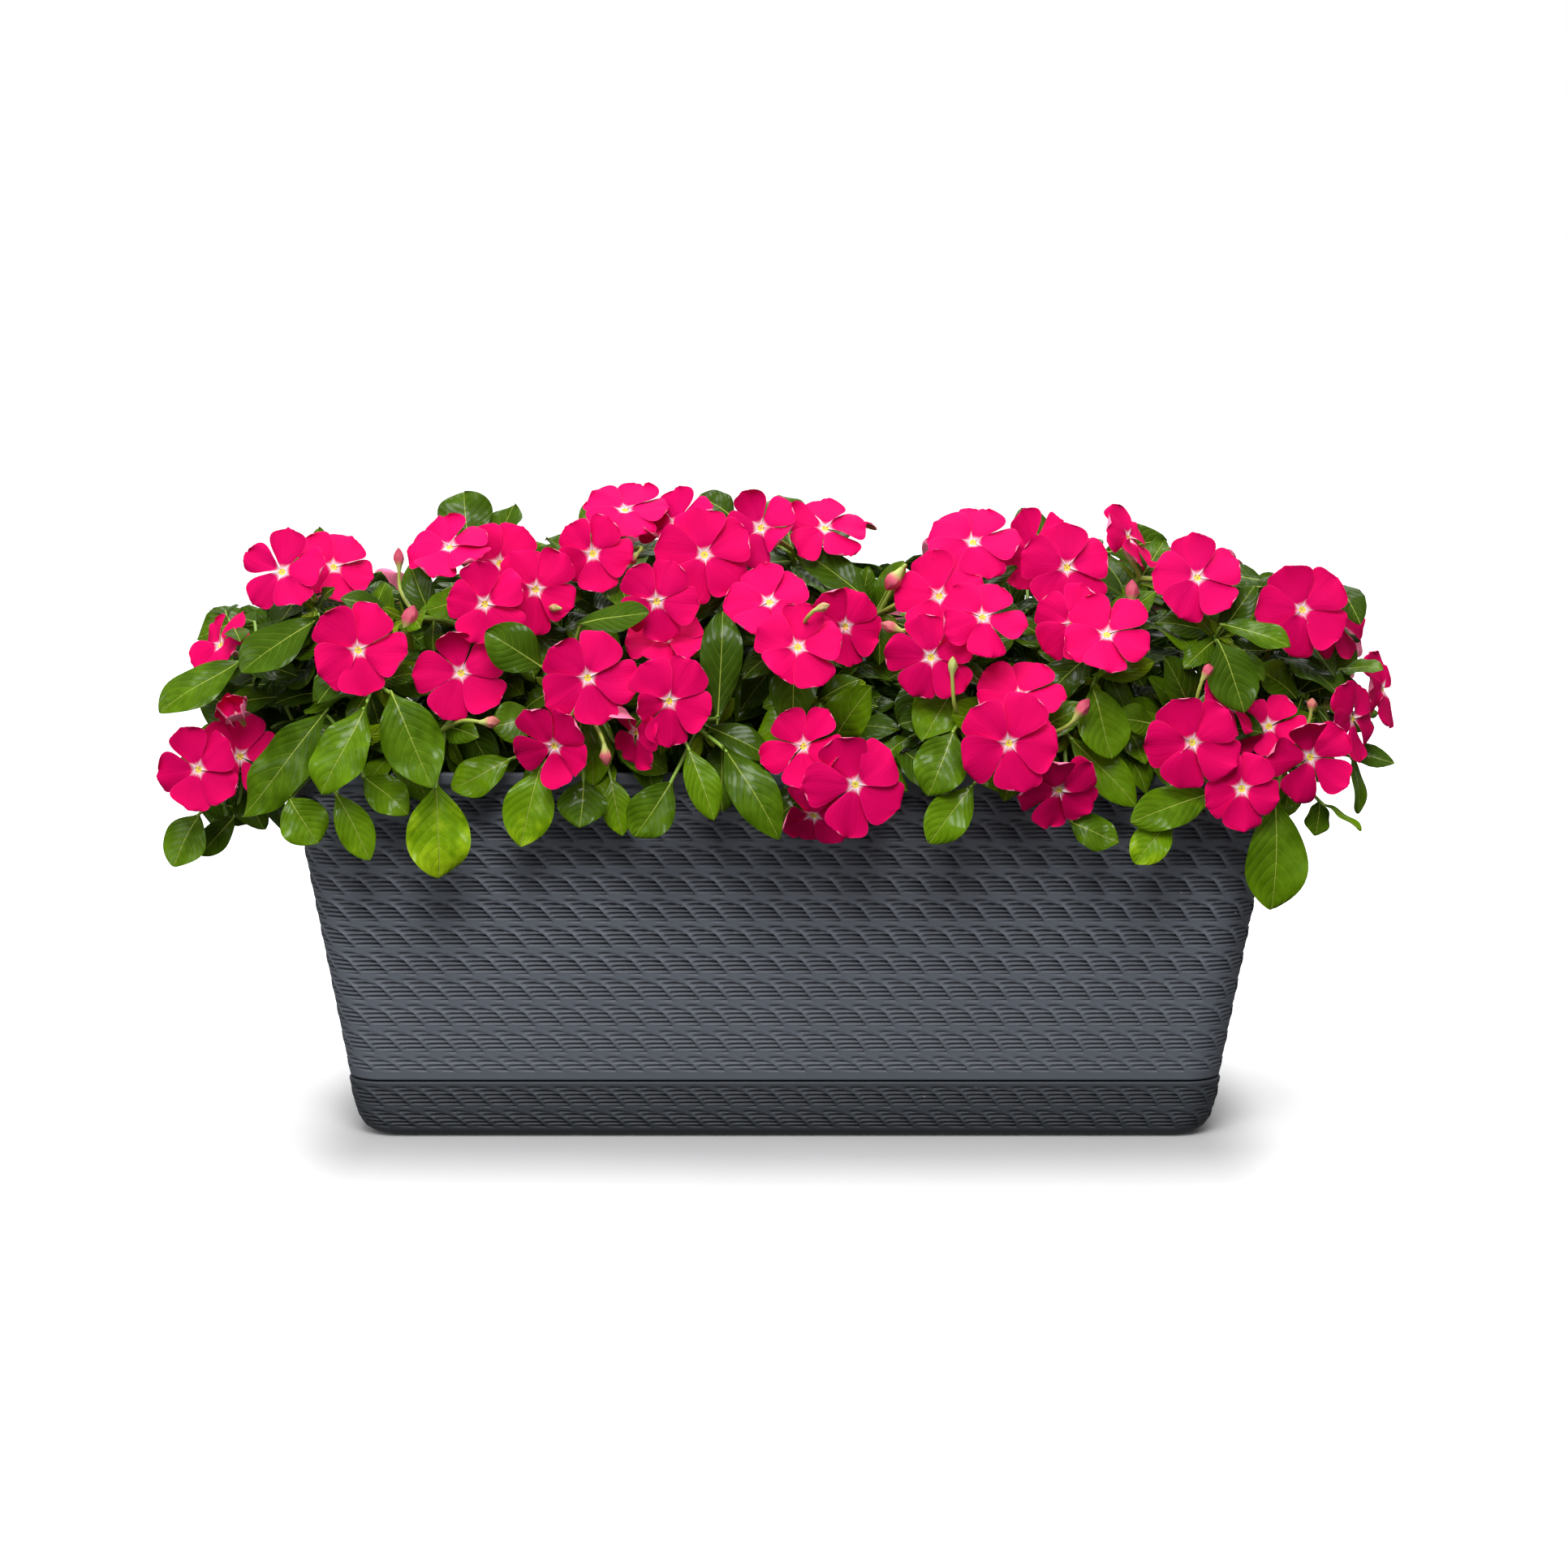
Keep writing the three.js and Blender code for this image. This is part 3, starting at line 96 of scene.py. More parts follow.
def add_node(
    tree: bpy.types.NodeTree, kind: str, inputs: dict | Sequence = (), stops: Sequence = (), **settings: object
) -> bpy.types.Node:
    """Adds a node with its settings, values and links.

    Args:
        tree: The node tree that gets it.
        kind: Blender's name for the node, where a bare name stands for a shader node.
        inputs: Values by name, or by place among the open inputs. A node gives its first open output, a
            socket is linked, and a hex colour is turned to linear light.
        stops: A colour ramp's places and colours.
        settings: The node's other properties.

    Returns:
        The new node.
    """
    node = tree.nodes.new(kind if "Node" in kind else f"ShaderNode{kind}")
    for key, value in settings.items():
        setattr(node, key, value)
    for index, (place, colour) in enumerate(stops):
        ramp = node.color_ramp.elements
        element = ramp[index] if index < len(ramp) else ramp.new(1.0)
        element.position, element.color = place, linear(colour)
    sockets = [socket for socket in node.inputs if socket.enabled]
    for key, value in inputs.items() if isinstance(inputs, dict) else enumerate(inputs):
        socket = node.inputs[key] if isinstance(key, str) else sockets[key]
        if isinstance(value, bpy.types.Node):
            value = next(output for output in value.outputs if output.enabled)
        if isinstance(value, bpy.types.NodeSocket):
            tree.links.new(value, socket)
        else:
            is_colour = isinstance(value, str) and value.startswith("#")
            socket.default_value = linear(value) if is_colour else value
    return node


def smoothstep(low: float, high: float, value: np.ndarray) -> np.ndarray:
    """Rises smoothly from 0 at low to 1 at high."""
    share = np.clip((value - low) / (high - low), 0, 1)
    return share * share * (3 - 2 * share)


def unit(vector: np.ndarray) -> np.ndarray:
    """The vector at length 1."""
    return vector / np.linalg.norm(vector)


def square_to(direction: np.ndarray) -> tuple[np.ndarray, np.ndarray]:
    """Two unit vectors square to a direction, the first one level.

    Args:
        direction: A unit vector.

    Returns:
        The two vectors.
    """
    side = np.cross(UP, direction)
    side = np.array([1.0, 0.0, 0.0]) if np.linalg.norm(side) < 1e-3 else unit(side)
    return side, unit(np.cross(direction, side))


def squared(vector: np.ndarray, direction: np.ndarray) -> np.ndarray:
    """The part of a vector that is square to a direction, at length 1."""
    return unit(vector - direction * vector.dot(direction))


def facing(turn: float, tilt: float) -> np.ndarray:
    """The way a flower or leaf faces: turn to the right of straight forward, tilt upwards, in degrees."""
    a, b = math.radians(turn), math.radians(tilt)
    return np.array([math.sin(a) * math.cos(b), -math.cos(a) * math.cos(b), math.sin(b)])


def bezier(handles: Sequence[np.ndarray], steps: int) -> np.ndarray:
    """Points on a Bezier curve.

    Args:
        handles: Its three or four handles.
        steps: How many steps to divide it into.

    Returns:
        The points, one more than the steps.
    """
    t = np.linspace(0, 1, steps + 1)[:, None]
    last = len(handles) - 1
    return sum(math.comb(last, k) * t**k * (1 - t) ** (last - k) * np.asarray(handles[k]) for k in range(last + 1))


def held_in(grid: np.ndarray, share: np.ndarray) -> np.ndarray:
    """Draws a sheet's far end inwards until the sheet lies in the CAD's box.

    Args:
        grid: Its points, in millimetres.
        share: How far along the sheet each point lies.

    Returns:
        The points, of which those at share 0 haven't moved.
    """
    low, high = np.array(CAD_BOX) / MM
    excess = np.maximum(grid.max((0, 1)) + SHEET_MARGIN - high, 0)
    excess -= np.maximum(low + SHEET_MARGIN - grid.min((0, 1)), 0)
    return grid - smoothstep(0, 0.15, share)[..., None] * excess * 1.02


def link_object(name: str, data: bpy.types.ID) -> bpy.types.Object:
    """Puts a mesh, light or camera into the scene as an object of that name.

    Args:
        name: The object's name.
        data: The mesh, light or camera.

    Returns:
        The object.
    """
    piece = bpy.data.objects.new(name, data)
    bpy.context.scene.collection.objects.link(piece)
    return piece


def finish_piece(piece: bpy.types.Object, slot: str, *nodes: str) -> None:
    """Rides a piece on the body, hides the CAD nodes that it replaces, and logs its face count.

    Args:
        piece: The finished piece.
        slot: The name of the record's material slot; not used.
        nodes: The CAD nodes that it replaces.
    """
    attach(piece, BODY)
    if nodes:
        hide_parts(*nodes)
    LOG.info("%s: %d faces", piece.name, len(piece.data.polygons))


def level_ring(points: np.ndarray, z: float) -> np.ndarray:
    """Points of the plane, raised to a height."""
    return np.column_stack([points, np.full(len(points), z)])


class Ends(Enum):
    """How the ends of a row of rings are closed."""

    CAPPED = "flat at both ends"
    JOINED = "the last ring meets the first"
    OPEN = "left open, for a surface that only carries other pieces"


@dataclass
class Skin:
    """Collects closed sheets and rings of points, in millimetres, into one mesh."""

    points: list[np.ndarray] = field(default_factory=list)
    faces: list[tuple[int, ...]] = field(default_factory=list)
    places: list[np.ndarray] = field(default_factory=list)
    tones: list[np.ndarray] = field(default_factory=list)
    under: list[float] = field(default_factory=list)
    count: int = 0

    def add(self, points: np.ndarray, place: np.ndarray, tone: np.ndarray) -> int:
        """Adds loose points with their marks.

        Args:
            points: Their positions.
            place: Where each lies on its blade or petal.
            tone: The colour marks of the whole leaf or petal.

        Returns:
            The index of the first one.
        """
        first = self.count
        self.points.append(points)
        self.places.append(place)
        self.tones.append(np.broadcast_to(tone, points.shape))
        self.count += len(points)
        return first

    def add_sheet(self, middle: np.ndarray, thickness: float, place: np.ndarray, tone: np.ndarray) -> None:
        """Adds a thin closed sheet whose two faces meet along its edge.

        Args:
            middle: A grid of points, rows along the sheet and columns across it.
            thickness: How thick it is in its middle.
            place: Three marks for each point of the grid.
            tone: Three marks for the whole sheet.
        """
        rows, columns = middle.shape[:2]
        normal = np.cross(np.gradient(middle, axis=0), np.gradient(middle, axis=1))
        normal /= np.maximum(np.linalg.norm(normal, axis=2, keepdims=True), 1e-9)
        inner = np.zeros((rows, columns, 1))
        inner[1:-1, 1:-1] = thickness / 2
        top = self.add((middle + normal * inner).reshape(-1, 3), place.reshape(-1, 3), tone)
        low = self.add((middle - normal * inner)[1:-1, 1:-1].reshape(-1, 3), place[1:-1, 1:-1].reshape(-1, 3), tone)
        upper = top + np.arange(rows * columns).reshape(rows, columns)
        lower = upper.copy()
        lower[1:-1, 1:-1] = low + np.arange((rows - 2) * (columns - 2)).reshape(rows - 2, columns - 2)
        for grid, is_under in ((upper, 0.0), (lower, 1.0)):
            quads = np.stack([grid[:-1, :-1], grid[1:, :-1], grid[1:, 1:], grid[:-1, 1:]], axis=2).reshape(-1, 4)
            self.faces += [tuple(q) for q in (quads[:, ::-1] if is_under else quads).tolist()]
            self.under += [is_under] * len(quads)

    def add_rings(
        self, rings: Sequence[np.ndarray], marks: Sequence[float | np.ndarray], tone: np.ndarray, ends: Ends,
        turn: int = 0,
    ) -> None:
        """Adds rings of equal count joined by walls.

        Args:
            rings: The rings, each anticlockwise seen from the end that they run to.
            marks: For each ring, the share of the way along or three marks for each of its points.
            tone: Three marks for the whole piece.
            ends: How the ends are closed.
            turn: By how many points the first ring is turned before the last one joins it.
        """
        count = len(rings[0])
        place = np.zeros((len(rings), count, 3))
        for row, mark in zip(place, marks):
            if np.ndim(mark):
                row[:] = mark
            else:
                row[:, 0] = mark
        first = self.add(np.concatenate(rings), place.reshape(-1, 3), tone)
        grid = first + np.arange(len(rings) * count).reshape(len(rings), count)
        if ends is Ends.JOINED:
            grid = np.concatenate([grid, np.roll(grid[:1], turn, axis=1)])
        turned = np.roll(grid, -1, axis=1)
        quads = np.stack([grid[:-1], turned[:-1], turned[1:], grid[1:]], axis=2).reshape(-1, 4).tolist()
        self.faces += [tuple(q) for q in quads]
        if ends is Ends.CAPPED:
            self.faces += [tuple(grid[0][::-1].tolist()), tuple(grid[-1].tolist())]
        self.under += [0.0] * (len(self.faces) - len(self.under))

    def mesh(self, name: str, material: bpy.types.Material, crease: float = 40.0) -> bpy.types.Mesh:
        """Makes the mesh, in metres.

        Args:
            name: The mesh's name.
            material: Its one material.
            crease: Edges that bend more than this many degrees stay sharp.

        Returns:
            The mesh, smooth shaded.
        """
        data = bpy.data.meshes.new(name)
        data.from_pydata(np.concatenate(self.points) * MM, [], self.faces)
        for key, values in (("place", self.places), ("tone", self.tones)):
            data.attributes.new(key, "FLOAT_VECTOR", "POINT").data.foreach_set(
                "vector", np.concatenate(values).astype(np.float32).ravel()
            )
        data.attributes.new("under", "FLOAT", "FACE").data.foreach_set("value", np.array(self.under, np.float32))
        data.materials.append(material)
        data.shade_smooth()
        data.set_sharp_from_angle(angle=math.radians(crease))
        return data

    def piece(self, name: str, material: bpy.types.Material, slot: str, *nodes: str, crease: float = 40.0) -> None:
        """Makes the mesh a finished piece.

        Args:
            name: The piece's name.
            material: Its one material.
            slot: The name of the record's material slot, handed on to finish_piece.
            nodes: The CAD nodes that it replaces.
            crease: Edges that bend more than this many degrees stay sharp.
        """
        finish_piece(link_object(name, self.mesh(name, material, crease)), slot, *nodes)


def run_tree(name: str, source: bpy.types.Mesh, tree: bpy.types.NodeTree, values: dict) -> bpy.types.Object:
    """Runs a Geometry Nodes tree on a mesh and keeps the result as a plain mesh.

    Args:
        name: The finished object's name.
        source: The mesh that goes in.
        tree: The tree.
        values: The tree's named inputs.

    Returns:
        An object with the tree's result and no modifier.
    """
    carrier = link_object(f"{name}_source", source)
    modifier = carrier.modifiers.new(tree.name, "NODES")
    modifier.node_group = tree
    for item in tree.interface.items_tree:
        if item.in_out == "INPUT" and item.name in values:
            modifier[item.identifier] = values[item.name]
    bpy.context.view_layer.update()
    depsgraph = bpy.context.evaluated_depsgraph_get()
    result = bpy.data.meshes.new_from_object(carrier.evaluated_get(depsgraph), depsgraph=depsgraph)
    bpy.data.objects.remove(carrier)
    result.name = name
    return link_object(name, result)


def new_tree(name: str, inputs: dict[str, str]) -> tuple[bpy.types.NodeTree, Adder, Sequence]:
    """Starts a Geometry Nodes tree.

    Args:
        name: The tree's name.
        inputs: The kind of socket for each named input, after the geometry.

    Returns:
        The tree, the function that adds nodes to it, and its inputs.
    """
    tree = bpy.data.node_groups.new(name, "GeometryNodeTree")
    for way in ("INPUT", "OUTPUT"):
        tree.interface.new_socket(name="Geometry", in_out=way, socket_type="NodeSocketGeometry")
    for key, kind in inputs.items():
        tree.interface.new_socket(name=key, in_out="INPUT", socket_type=f"NodeSocket{kind}")
    add = partial(add_node, tree)
    return tree, add, add("NodeGroupInput").outputs


def end_tree(add: Adder, geometry: bpy.types.Node, finish: bpy.types.NodeSocket) -> None:
    """Ends a tree in real, smooth geometry of one material.

    Args:
        add: Adds nodes to the tree.
        geometry: The node that gives its geometry.
        finish: The socket that gives the material.
    """
    real = add("GeometryNodeRealizeInstances", [geometry])
    smooth = add("GeometryNodeSetShadeSmooth", [real])
    dressed = add("GeometryNodeSetMaterial", {"Geometry": smooth, "Material": finish})
    add("NodeGroupOutput", [dressed])


def start_material(name: str) -> tuple[bpy.types.Material, Adder]:
    """Starts a material.

    Args:
        name: The material's name.

    Returns:
        The material, and the function that adds nodes to it.
    """
    material = bpy.data.materials.new(name)
    material.use_nodes = True
    material.node_tree.nodes.clear()
    return material, partial(add_node, material.node_tree)


def end_material(add: Adder, inputs: dict) -> None:
    """Ends a material in a Principled shader.

    Args:
        add: Adds nodes to the material.
        inputs: The shader's values and links.
    """
    add("OutputMaterial", [add("BsdfPrincipled", inputs)])


# ------------------------------------------------------------------------------------- the plants' places


# The flower clusters of the front, each flower read from the picture: its centre's pixel, its depth,
# its turn, tilt and roll, and the width across its petals. They repeat the part's source.
FRONT_CLUSTERS: dict[str, list[Row]] = {
    "left_crest": [(347, 704, -102, -10, 22, 10, 55), (412, 698, -78, 30, 30, 50, 52)],
    "left_end": [(270, 794, -64, -52, 30, 0, 54)],
    "left_face": [(441, 801, -142, -4, 6, 62, 58)],
    "left_low": [(244, 948, -108, -10, 4, 36, 55), (296, 932, -92, 16, 8, 8, 56)],
    "left_mid": [(568, 829, -136, 6, 10, 28, 58)],
    "left_top": [(554, 673, -100, -12, 48, 36, 54), (616, 694, -84, 8, 10, 54, 54)],
    "left_pair": [(597, 744, -136, -10, 6, 28, 52), (660, 726, -120, 8, 8, 46, 54)],
    "crest_pair": [(730, 682, -108, -12, 6, 60, 48), (770, 627, -86, -4, 56, 0, 56)],
    "centre_stack": [(809, 741, -138, 0, 4, 60, 50), (820, 785, -128, 6, 46, 39, 52)],
    "centre_low": [(724, 835, -162, 2, 4, 63, 60), (682, 920, -156, -16, -22, 50, 54)],
    "centre_drop": [(825, 864, -160, 20, 4, 48, 56), (782, 903, -148, -58, -12, 0, 48)],
    "centre_top": [(868, 683, -116, 4, 12, 24, 60), (832, 645, -88, -30, 26, 30, 54)],
    "middle_top": [(937, 650, -96, -10, 20, 40, 50), (1017, 650, -84, 10, 46, 6, 54)],
    "middle_face": [
        (983, 797, -154, 2, 22, 8, 55), (948, 741, -132, -6, 38, 35, 55),
        (1042, 772, -116, 28, 4, 50, 52),
    ],
    "middle_low": [
        (1054, 967, -174, 4, 0, 36, 62), (989, 919, -156, -30, 18, 60, 54),
        (1002, 1006, -154, -14, -42, 20, 50),
    ],
    "right_crest": [(1199, 667, -96, 0, 42, 67, 58), (1157, 734, -116, -6, 22, 26, 56)],
    "right_stack": [(1147, 810, -146, -2, 2, 24, 56), (1211, 760, -146, 8, 34, 54, 54)],
    "right_top": [(1315, 699, -106, 4, 14, 16, 58), (1270, 678, -84, -46, 16, 40, 54)],
    "right_fan": [(1476, 711, -106, 6, 28, 20, 56), (1392, 662, -84, 62, 30, 16, 50)],
    "right_mid": [(1364, 781, -146, -6, 38, 50, 58), (1322, 768, -128, -16, 10, 0, 50)],
    "right_end": [(1605, 751, -102, 6, 12, 34, 60), (1648, 764, -74, 48, 14, 66, 54)],
    "right_front": [
        (1243, 916, -174, -2, 2, 62, 62), (1257, 857, -146, 0, 44, 62, 56),
        (1305, 975, -156, 16, -30, 40, 52),
    ],
    "right_face": [(1469, 915, -154, -2, 2, 38, 58), (1516, 868, -126, 48, 34, 12, 46)],
    "right_low": [
        (1615, 933, -132, 10, 4, 32, 56), (1530, 972, -152, -6, 4, 54, 50),
        (1563, 894, -112, -20, 34, 64, 48),
    ],
    "right_side": [(1668, 886, -92, 60, 4, 50, 54), (1706, 850, -52, 106, 4, 38, 54)],
}

# The clusters of the back and the crest: each flower's centre in millimetres, then as above
BACK_CLUSTERS: dict[str, list[Row]] = {
    "back_a": [(-308, 72, 312, 218, 30, 12, 56), (-262, 104, 314, 176, 34, 40, 57)],
    "back_b": [(-350, 44, 258, 256, 10, 20, 55), (-318, 100, 238, 204, 4, 48, 58)],
    "back_c": [(-214, 136, 300, 184, 12, 30, 58), (-186, 26, 354, 190, 70, 2, 55)],
    "back_d": [(-168, 152, 250, 192, 2, 14, 59), (-116, 148, 296, 172, 14, 44, 56)],
    "back_e": [(-118, 98, 348, 182, 42, 26, 57), (-84, 8, 370, 170, 80, 8, 56)],
    "back_f": [(-66, 160, 252, 188, 2, 34, 58), (-24, 144, 314, 178, 18, 18, 57)],
    "back_g": [(-4, 104, 350, 186, 38, 50, 56), (36, 10, 368, 190, 80, 0, 44)],
    "back_h": [(40, 164, 244, 176, 0, 6, 58), (88, 148, 290, 184, 14, 38, 56)],
    "back_i": [(116, 104, 344, 178, 40, 16, 58), (156, 12, 358, 200, 78, 46, 55)],
    "back_j": [(176, 146, 286, 170, 10, 24, 57), (226, 132, 256, 166, 2, 0, 56)],
    "back_k": [(240, 98, 330, 176, 36, 32, 57), (262, 14, 346, 150, 70, 10, 55)],
    "back_l": [(312, 100, 246, 156, 4, 42, 58), (350, 42, 292, 118, 20, 20, 55)],
}

# The buds of the front: the pixels of the tip, the foot and the stalk's root, the depth, the radius, and how
# unripe the bud is. A bud with no root has fallen off and lies on a petal.
BUDS: list[Row] = [
    (491, 675, 492, 705, 491, 728, -80, 3.0, 0), (510, 746, 498, 781, 488, 800, -132, 4.8, 0),
    (616, 889, 590, 890, 571, 886, -150, 3.4, 0.2), (772, 692, 786, 682, 795, 672, -102, 3.8, 0),
    (748, 944, 744, 915, 741, 905, -162, 3.3, 0.1), (1022, 745, 1001, 753, 993, 762, -158, 2.6, 0.6),
    (1092, 727, 1112, 700, 1120, 690, -112, 4.8, 0), (1118, 733, 1107, 741, 1102, 746, -108, 2.2, 1),
    (1085, 768, 1113, 778, 1121, 776, -136, 3.3, 0.1), (1174, 809, 1173, 836, 1175, 872, -150, 2.7, 1),
    (1395, 714, 1394, 749, 1393, 766, -112, 4.0, 0), (1494, 817, 1480, 840, 1475, 856, -134, 3.3, 0),
    (1342, 861, 1322, 889, 1313, 898, -156, 3.8, 0), (1617, 860, 1615, 878, 1614, 890, -112, 3.0, 0.2),
    (676, 748, 692, 750, 0, 0, -124, 2.3, 0.5),
]
# Flowers that face another way than their tube's foot does: cluster, number, turn and tilt
TURNED_BLOOMS: list[tuple[str, int, float, float]] = [("right_side", 0, 48, 4), ("right_side", 1, 54, 16)]

# The half-open flowers, as the front's open ones
OPENING: list[Row] = [(290, 878, -100, -8, 24, 10, 31)]

# Leaves too thin to pack: as the seen leaves below
PROFILE_LEAVES: list[Row] = [(1630, 992, -116, 1677, 1024, -122, 12, 70, 12)]

# The pixels of gaps in the foliage that leaves further back close
GAPS: list[tuple[float, float]] = [
    (517, 783), (322, 841), (285, 811), (275, 769), (306, 770), (259, 1005), (284, 993), (1404, 669),
    (1368, 733), (1615, 840),
]

# Petals that are narrower than the rest or curl up: how broad they are, and the curl in radians
PETAL_CHANGES: dict[tuple[str, int, int], tuple[float, float]] = {
    ("left_crest", 0, 2): (0.72, 0.1), ("left_crest", 0, 3): (0.8, -0.1), ("left_low", 1, 0): (0.78, 0.2),
    ("left_low", 1, 4): (0.6, 0.9), ("left_top", 1, 2): (0.9, 1.5), ("left_mid", 0, 1): (0.8, 0.9),
    ("centre_low", 1, 3): (0.72, 0.9), ("centre_low", 1, 4): (0.75, 0.7), ("centre_drop", 0, 2): (0.7, 0.6),
    ("centre_drop", 1, 1): (0.9, 1.6), ("centre_top", 1, 3): (0.8, 1.7), ("centre_top", 1, 4): (0.8, 1.4),
    ("middle_top", 0, 4): (0.9, 1.2), ("middle_top", 0, 1): (0.8, 0.8), ("middle_top", 1, 2): (0.78, 0.2),
    ("middle_top", 1, 3): (0.85, 0.0), ("middle_low", 2, 2): (1.0, 1.6), ("middle_low", 1, 2): (0.9, 0.8),
    ("middle_face", 0, 3): (0.95, 0.7), ("right_low", 0, 1): (0.9, 1.4),
}

# The leafy stems: plant, the clusters that each carries, and the tips of its leaf-only shoots
STEMS: dict[str, tuple[int, list[str], list[tuple[float, float, float]]]] = {
    "a_front": (0, ["left_face", "left_low"], [(462, 846, -122), (425, 926, -124), (280, 972, -78)]),
    "a_crest": (0, ["left_crest", "left_end"], [(388, 752, -94)]),
    "a_back": (0, ["back_a", "back_b"], []),
    "b_front": (1, ["left_mid", "left_pair"], [(545, 900, -118), (500, 762, -108)]),
    "b_low": (1, ["centre_low", "centre_drop"], [(692, 915, -124), (684, 848, -124), (866, 902, -128)]),
    "b_crest": (1, ["left_top", "crest_pair"], [(592, 698, -50)]),
    "b_back": (1, ["back_c", "back_d"], []),
    "c_front": (2, ["centre_stack", "centre_top"], [(858, 794, -104), (902, 662, -46)]),
    "c_low": (2, ["middle_low"], [(1006, 866, -118)]),
    "c_crest": (2, ["middle_top", "middle_face"], [(1082, 756, -90)]),
    "c_back": (2, ["back_e", "back_f"], []),
    "c_rear": (2, ["back_g", "back_h"], []),
    "d_front": (3, ["right_stack", "right_front"], [(1186, 890, -128), (1318, 900, -120)]),
    "d_crest": (3, ["right_crest", "right_top"], []),
    "d_back": (3, ["back_i", "back_j"], []),
    "e_front": (4, ["right_mid", "right_fan"], [(1350, 838, -116)]),
    "e_low": (
        4, ["right_face", "right_low"],
        [(1456, 930, -122), (1588, 948, -112), (1500, 786, -100)],
    ),
    "e_end": (4, ["right_end", "right_side"], [(1608, 858, -74), (1536, 742, -54)]),
    "e_back": (4, ["back_k", "back_l"], []),
}

# The leaves that the picture shows: pixel and depth of the blade's start and of its tip, its width,
# and the turn and tilt of its face
SEEN_LEAVES: list[Row] = [
    (578, 672, -52, 572, 606, -40, 34, 5, 12), (640, 704, -60, 684, 678, -52, 26, 20, 30),
    (300, 812, -92, 197, 879, -112, 30, -20, 32), (394, 762, -112, 297, 829, -122, 33, -14, 36),
    (588, 735, -140, 524, 753, -142, 21, -5, 30), (484, 758, -104, 419, 738, -112, 20, -5, 42),
    (481, 850, -152, 532, 971, -168, 36, 6, 16), (452, 866, -150, 396, 979, -164, 32, -6, 16),
    (405, 872, -128, 300, 1006, -120, 35, -12, 14), (246, 1001, -82, 211, 1068, -92, 31, -20, 20),
    (292, 1003, -74, 247, 1054, -76, 18, 10, 25), (356, 981, -132, 392, 1039, -140, 30, -4, 14),
    (412, 975, -146, 455, 1060, -150, 22, 8, 14), (445, 955, -134, 503, 1004, -146, 24, 5, 24),
    (537, 962, -142, 541, 1082, -148, 38, 4, 8), (632, 934, -130, 556, 972, -136, 24, 0, 26),
    (671, 824, -142, 598, 779, -146, 30, -8, 22), (664, 886, -146, 606, 896, -156, 26, -10, 20),
    (666, 945, -134, 641, 1043, -144, 31, -4, 12), (719, 960, -144, 714, 1020, -156, 30, 0, 18),
    (752, 955, -138, 767, 1030, -146, 19, 5, 10), (829, 960, -150, 781, 1031, -156, 28, -5, 12),
    (847, 918, -152, 880, 1011, -164, 21, 10, 14), (890, 918, -148, 960, 1034, -158, 28, 8, 14),
    (865, 892, -138, 953, 938, -144, 20, 5, 30), (752, 912, -132, 822, 952, -138, 22, 5, 28),
    (884, 893, -148, 890, 753, -132, 25, 4, 2), (1015, 870, -132, 932, 910, -134, 27, -6, 24),
    (844, 776, -108, 893, 681, -92, 22, 10, 4), (710, 771, -132, 800, 755, -140, 21, 0, 42),
    (1078, 749, -116, 978, 673, -98, 24, 10, 38), (1176, 897, -158, 1143, 981, -170, 32, -6, 14),
    (1200, 965, -154, 1144, 1039, -164, 26, -6, 14), (1316, 1012, -146, 1379, 1038, -154, 22, 8, 20),
    (1315, 905, -148, 1400, 994, -158, 25, 8, 20), (1345, 844, -144, 1370, 935, -154, 31, 4, 18),
    (1500, 975, -142, 1393, 1013, -160, 27, -8, 24), (1446, 1006, -136, 1398, 1064, -142, 23, -8, 14),
    (1571, 983, -136, 1566, 1121, -142, 38, 8, 6), (1626, 985, -108, 1620, 1030, -112, 18, 26, 10),
    (1664, 930, -84, 1674, 1003, -80, 20, 60, 10), (1499, 787, -126, 1533, 878, -138, 31, 10, 20),
    (1598, 862, -96, 1549, 823, -106, 27, 14, 30), (1432, 893, -138, 1373, 888, -150, 20, -10, 30),
    (1502, 768, -112, 1590, 798, -126, 21, 10, 46), (1498, 778, -92, 1422, 768, -96, 22, -4, 44),
    (1534, 736, -62, 1592, 722, -56, 20, 10, 40), (1622, 846, -52, 1698, 880, -34, 24, 50, 40),
    (906, 642, -44, 862, 610, -34, 22, -5, 40),
]


# --------------------------------------------------------------------------------------------- finishes


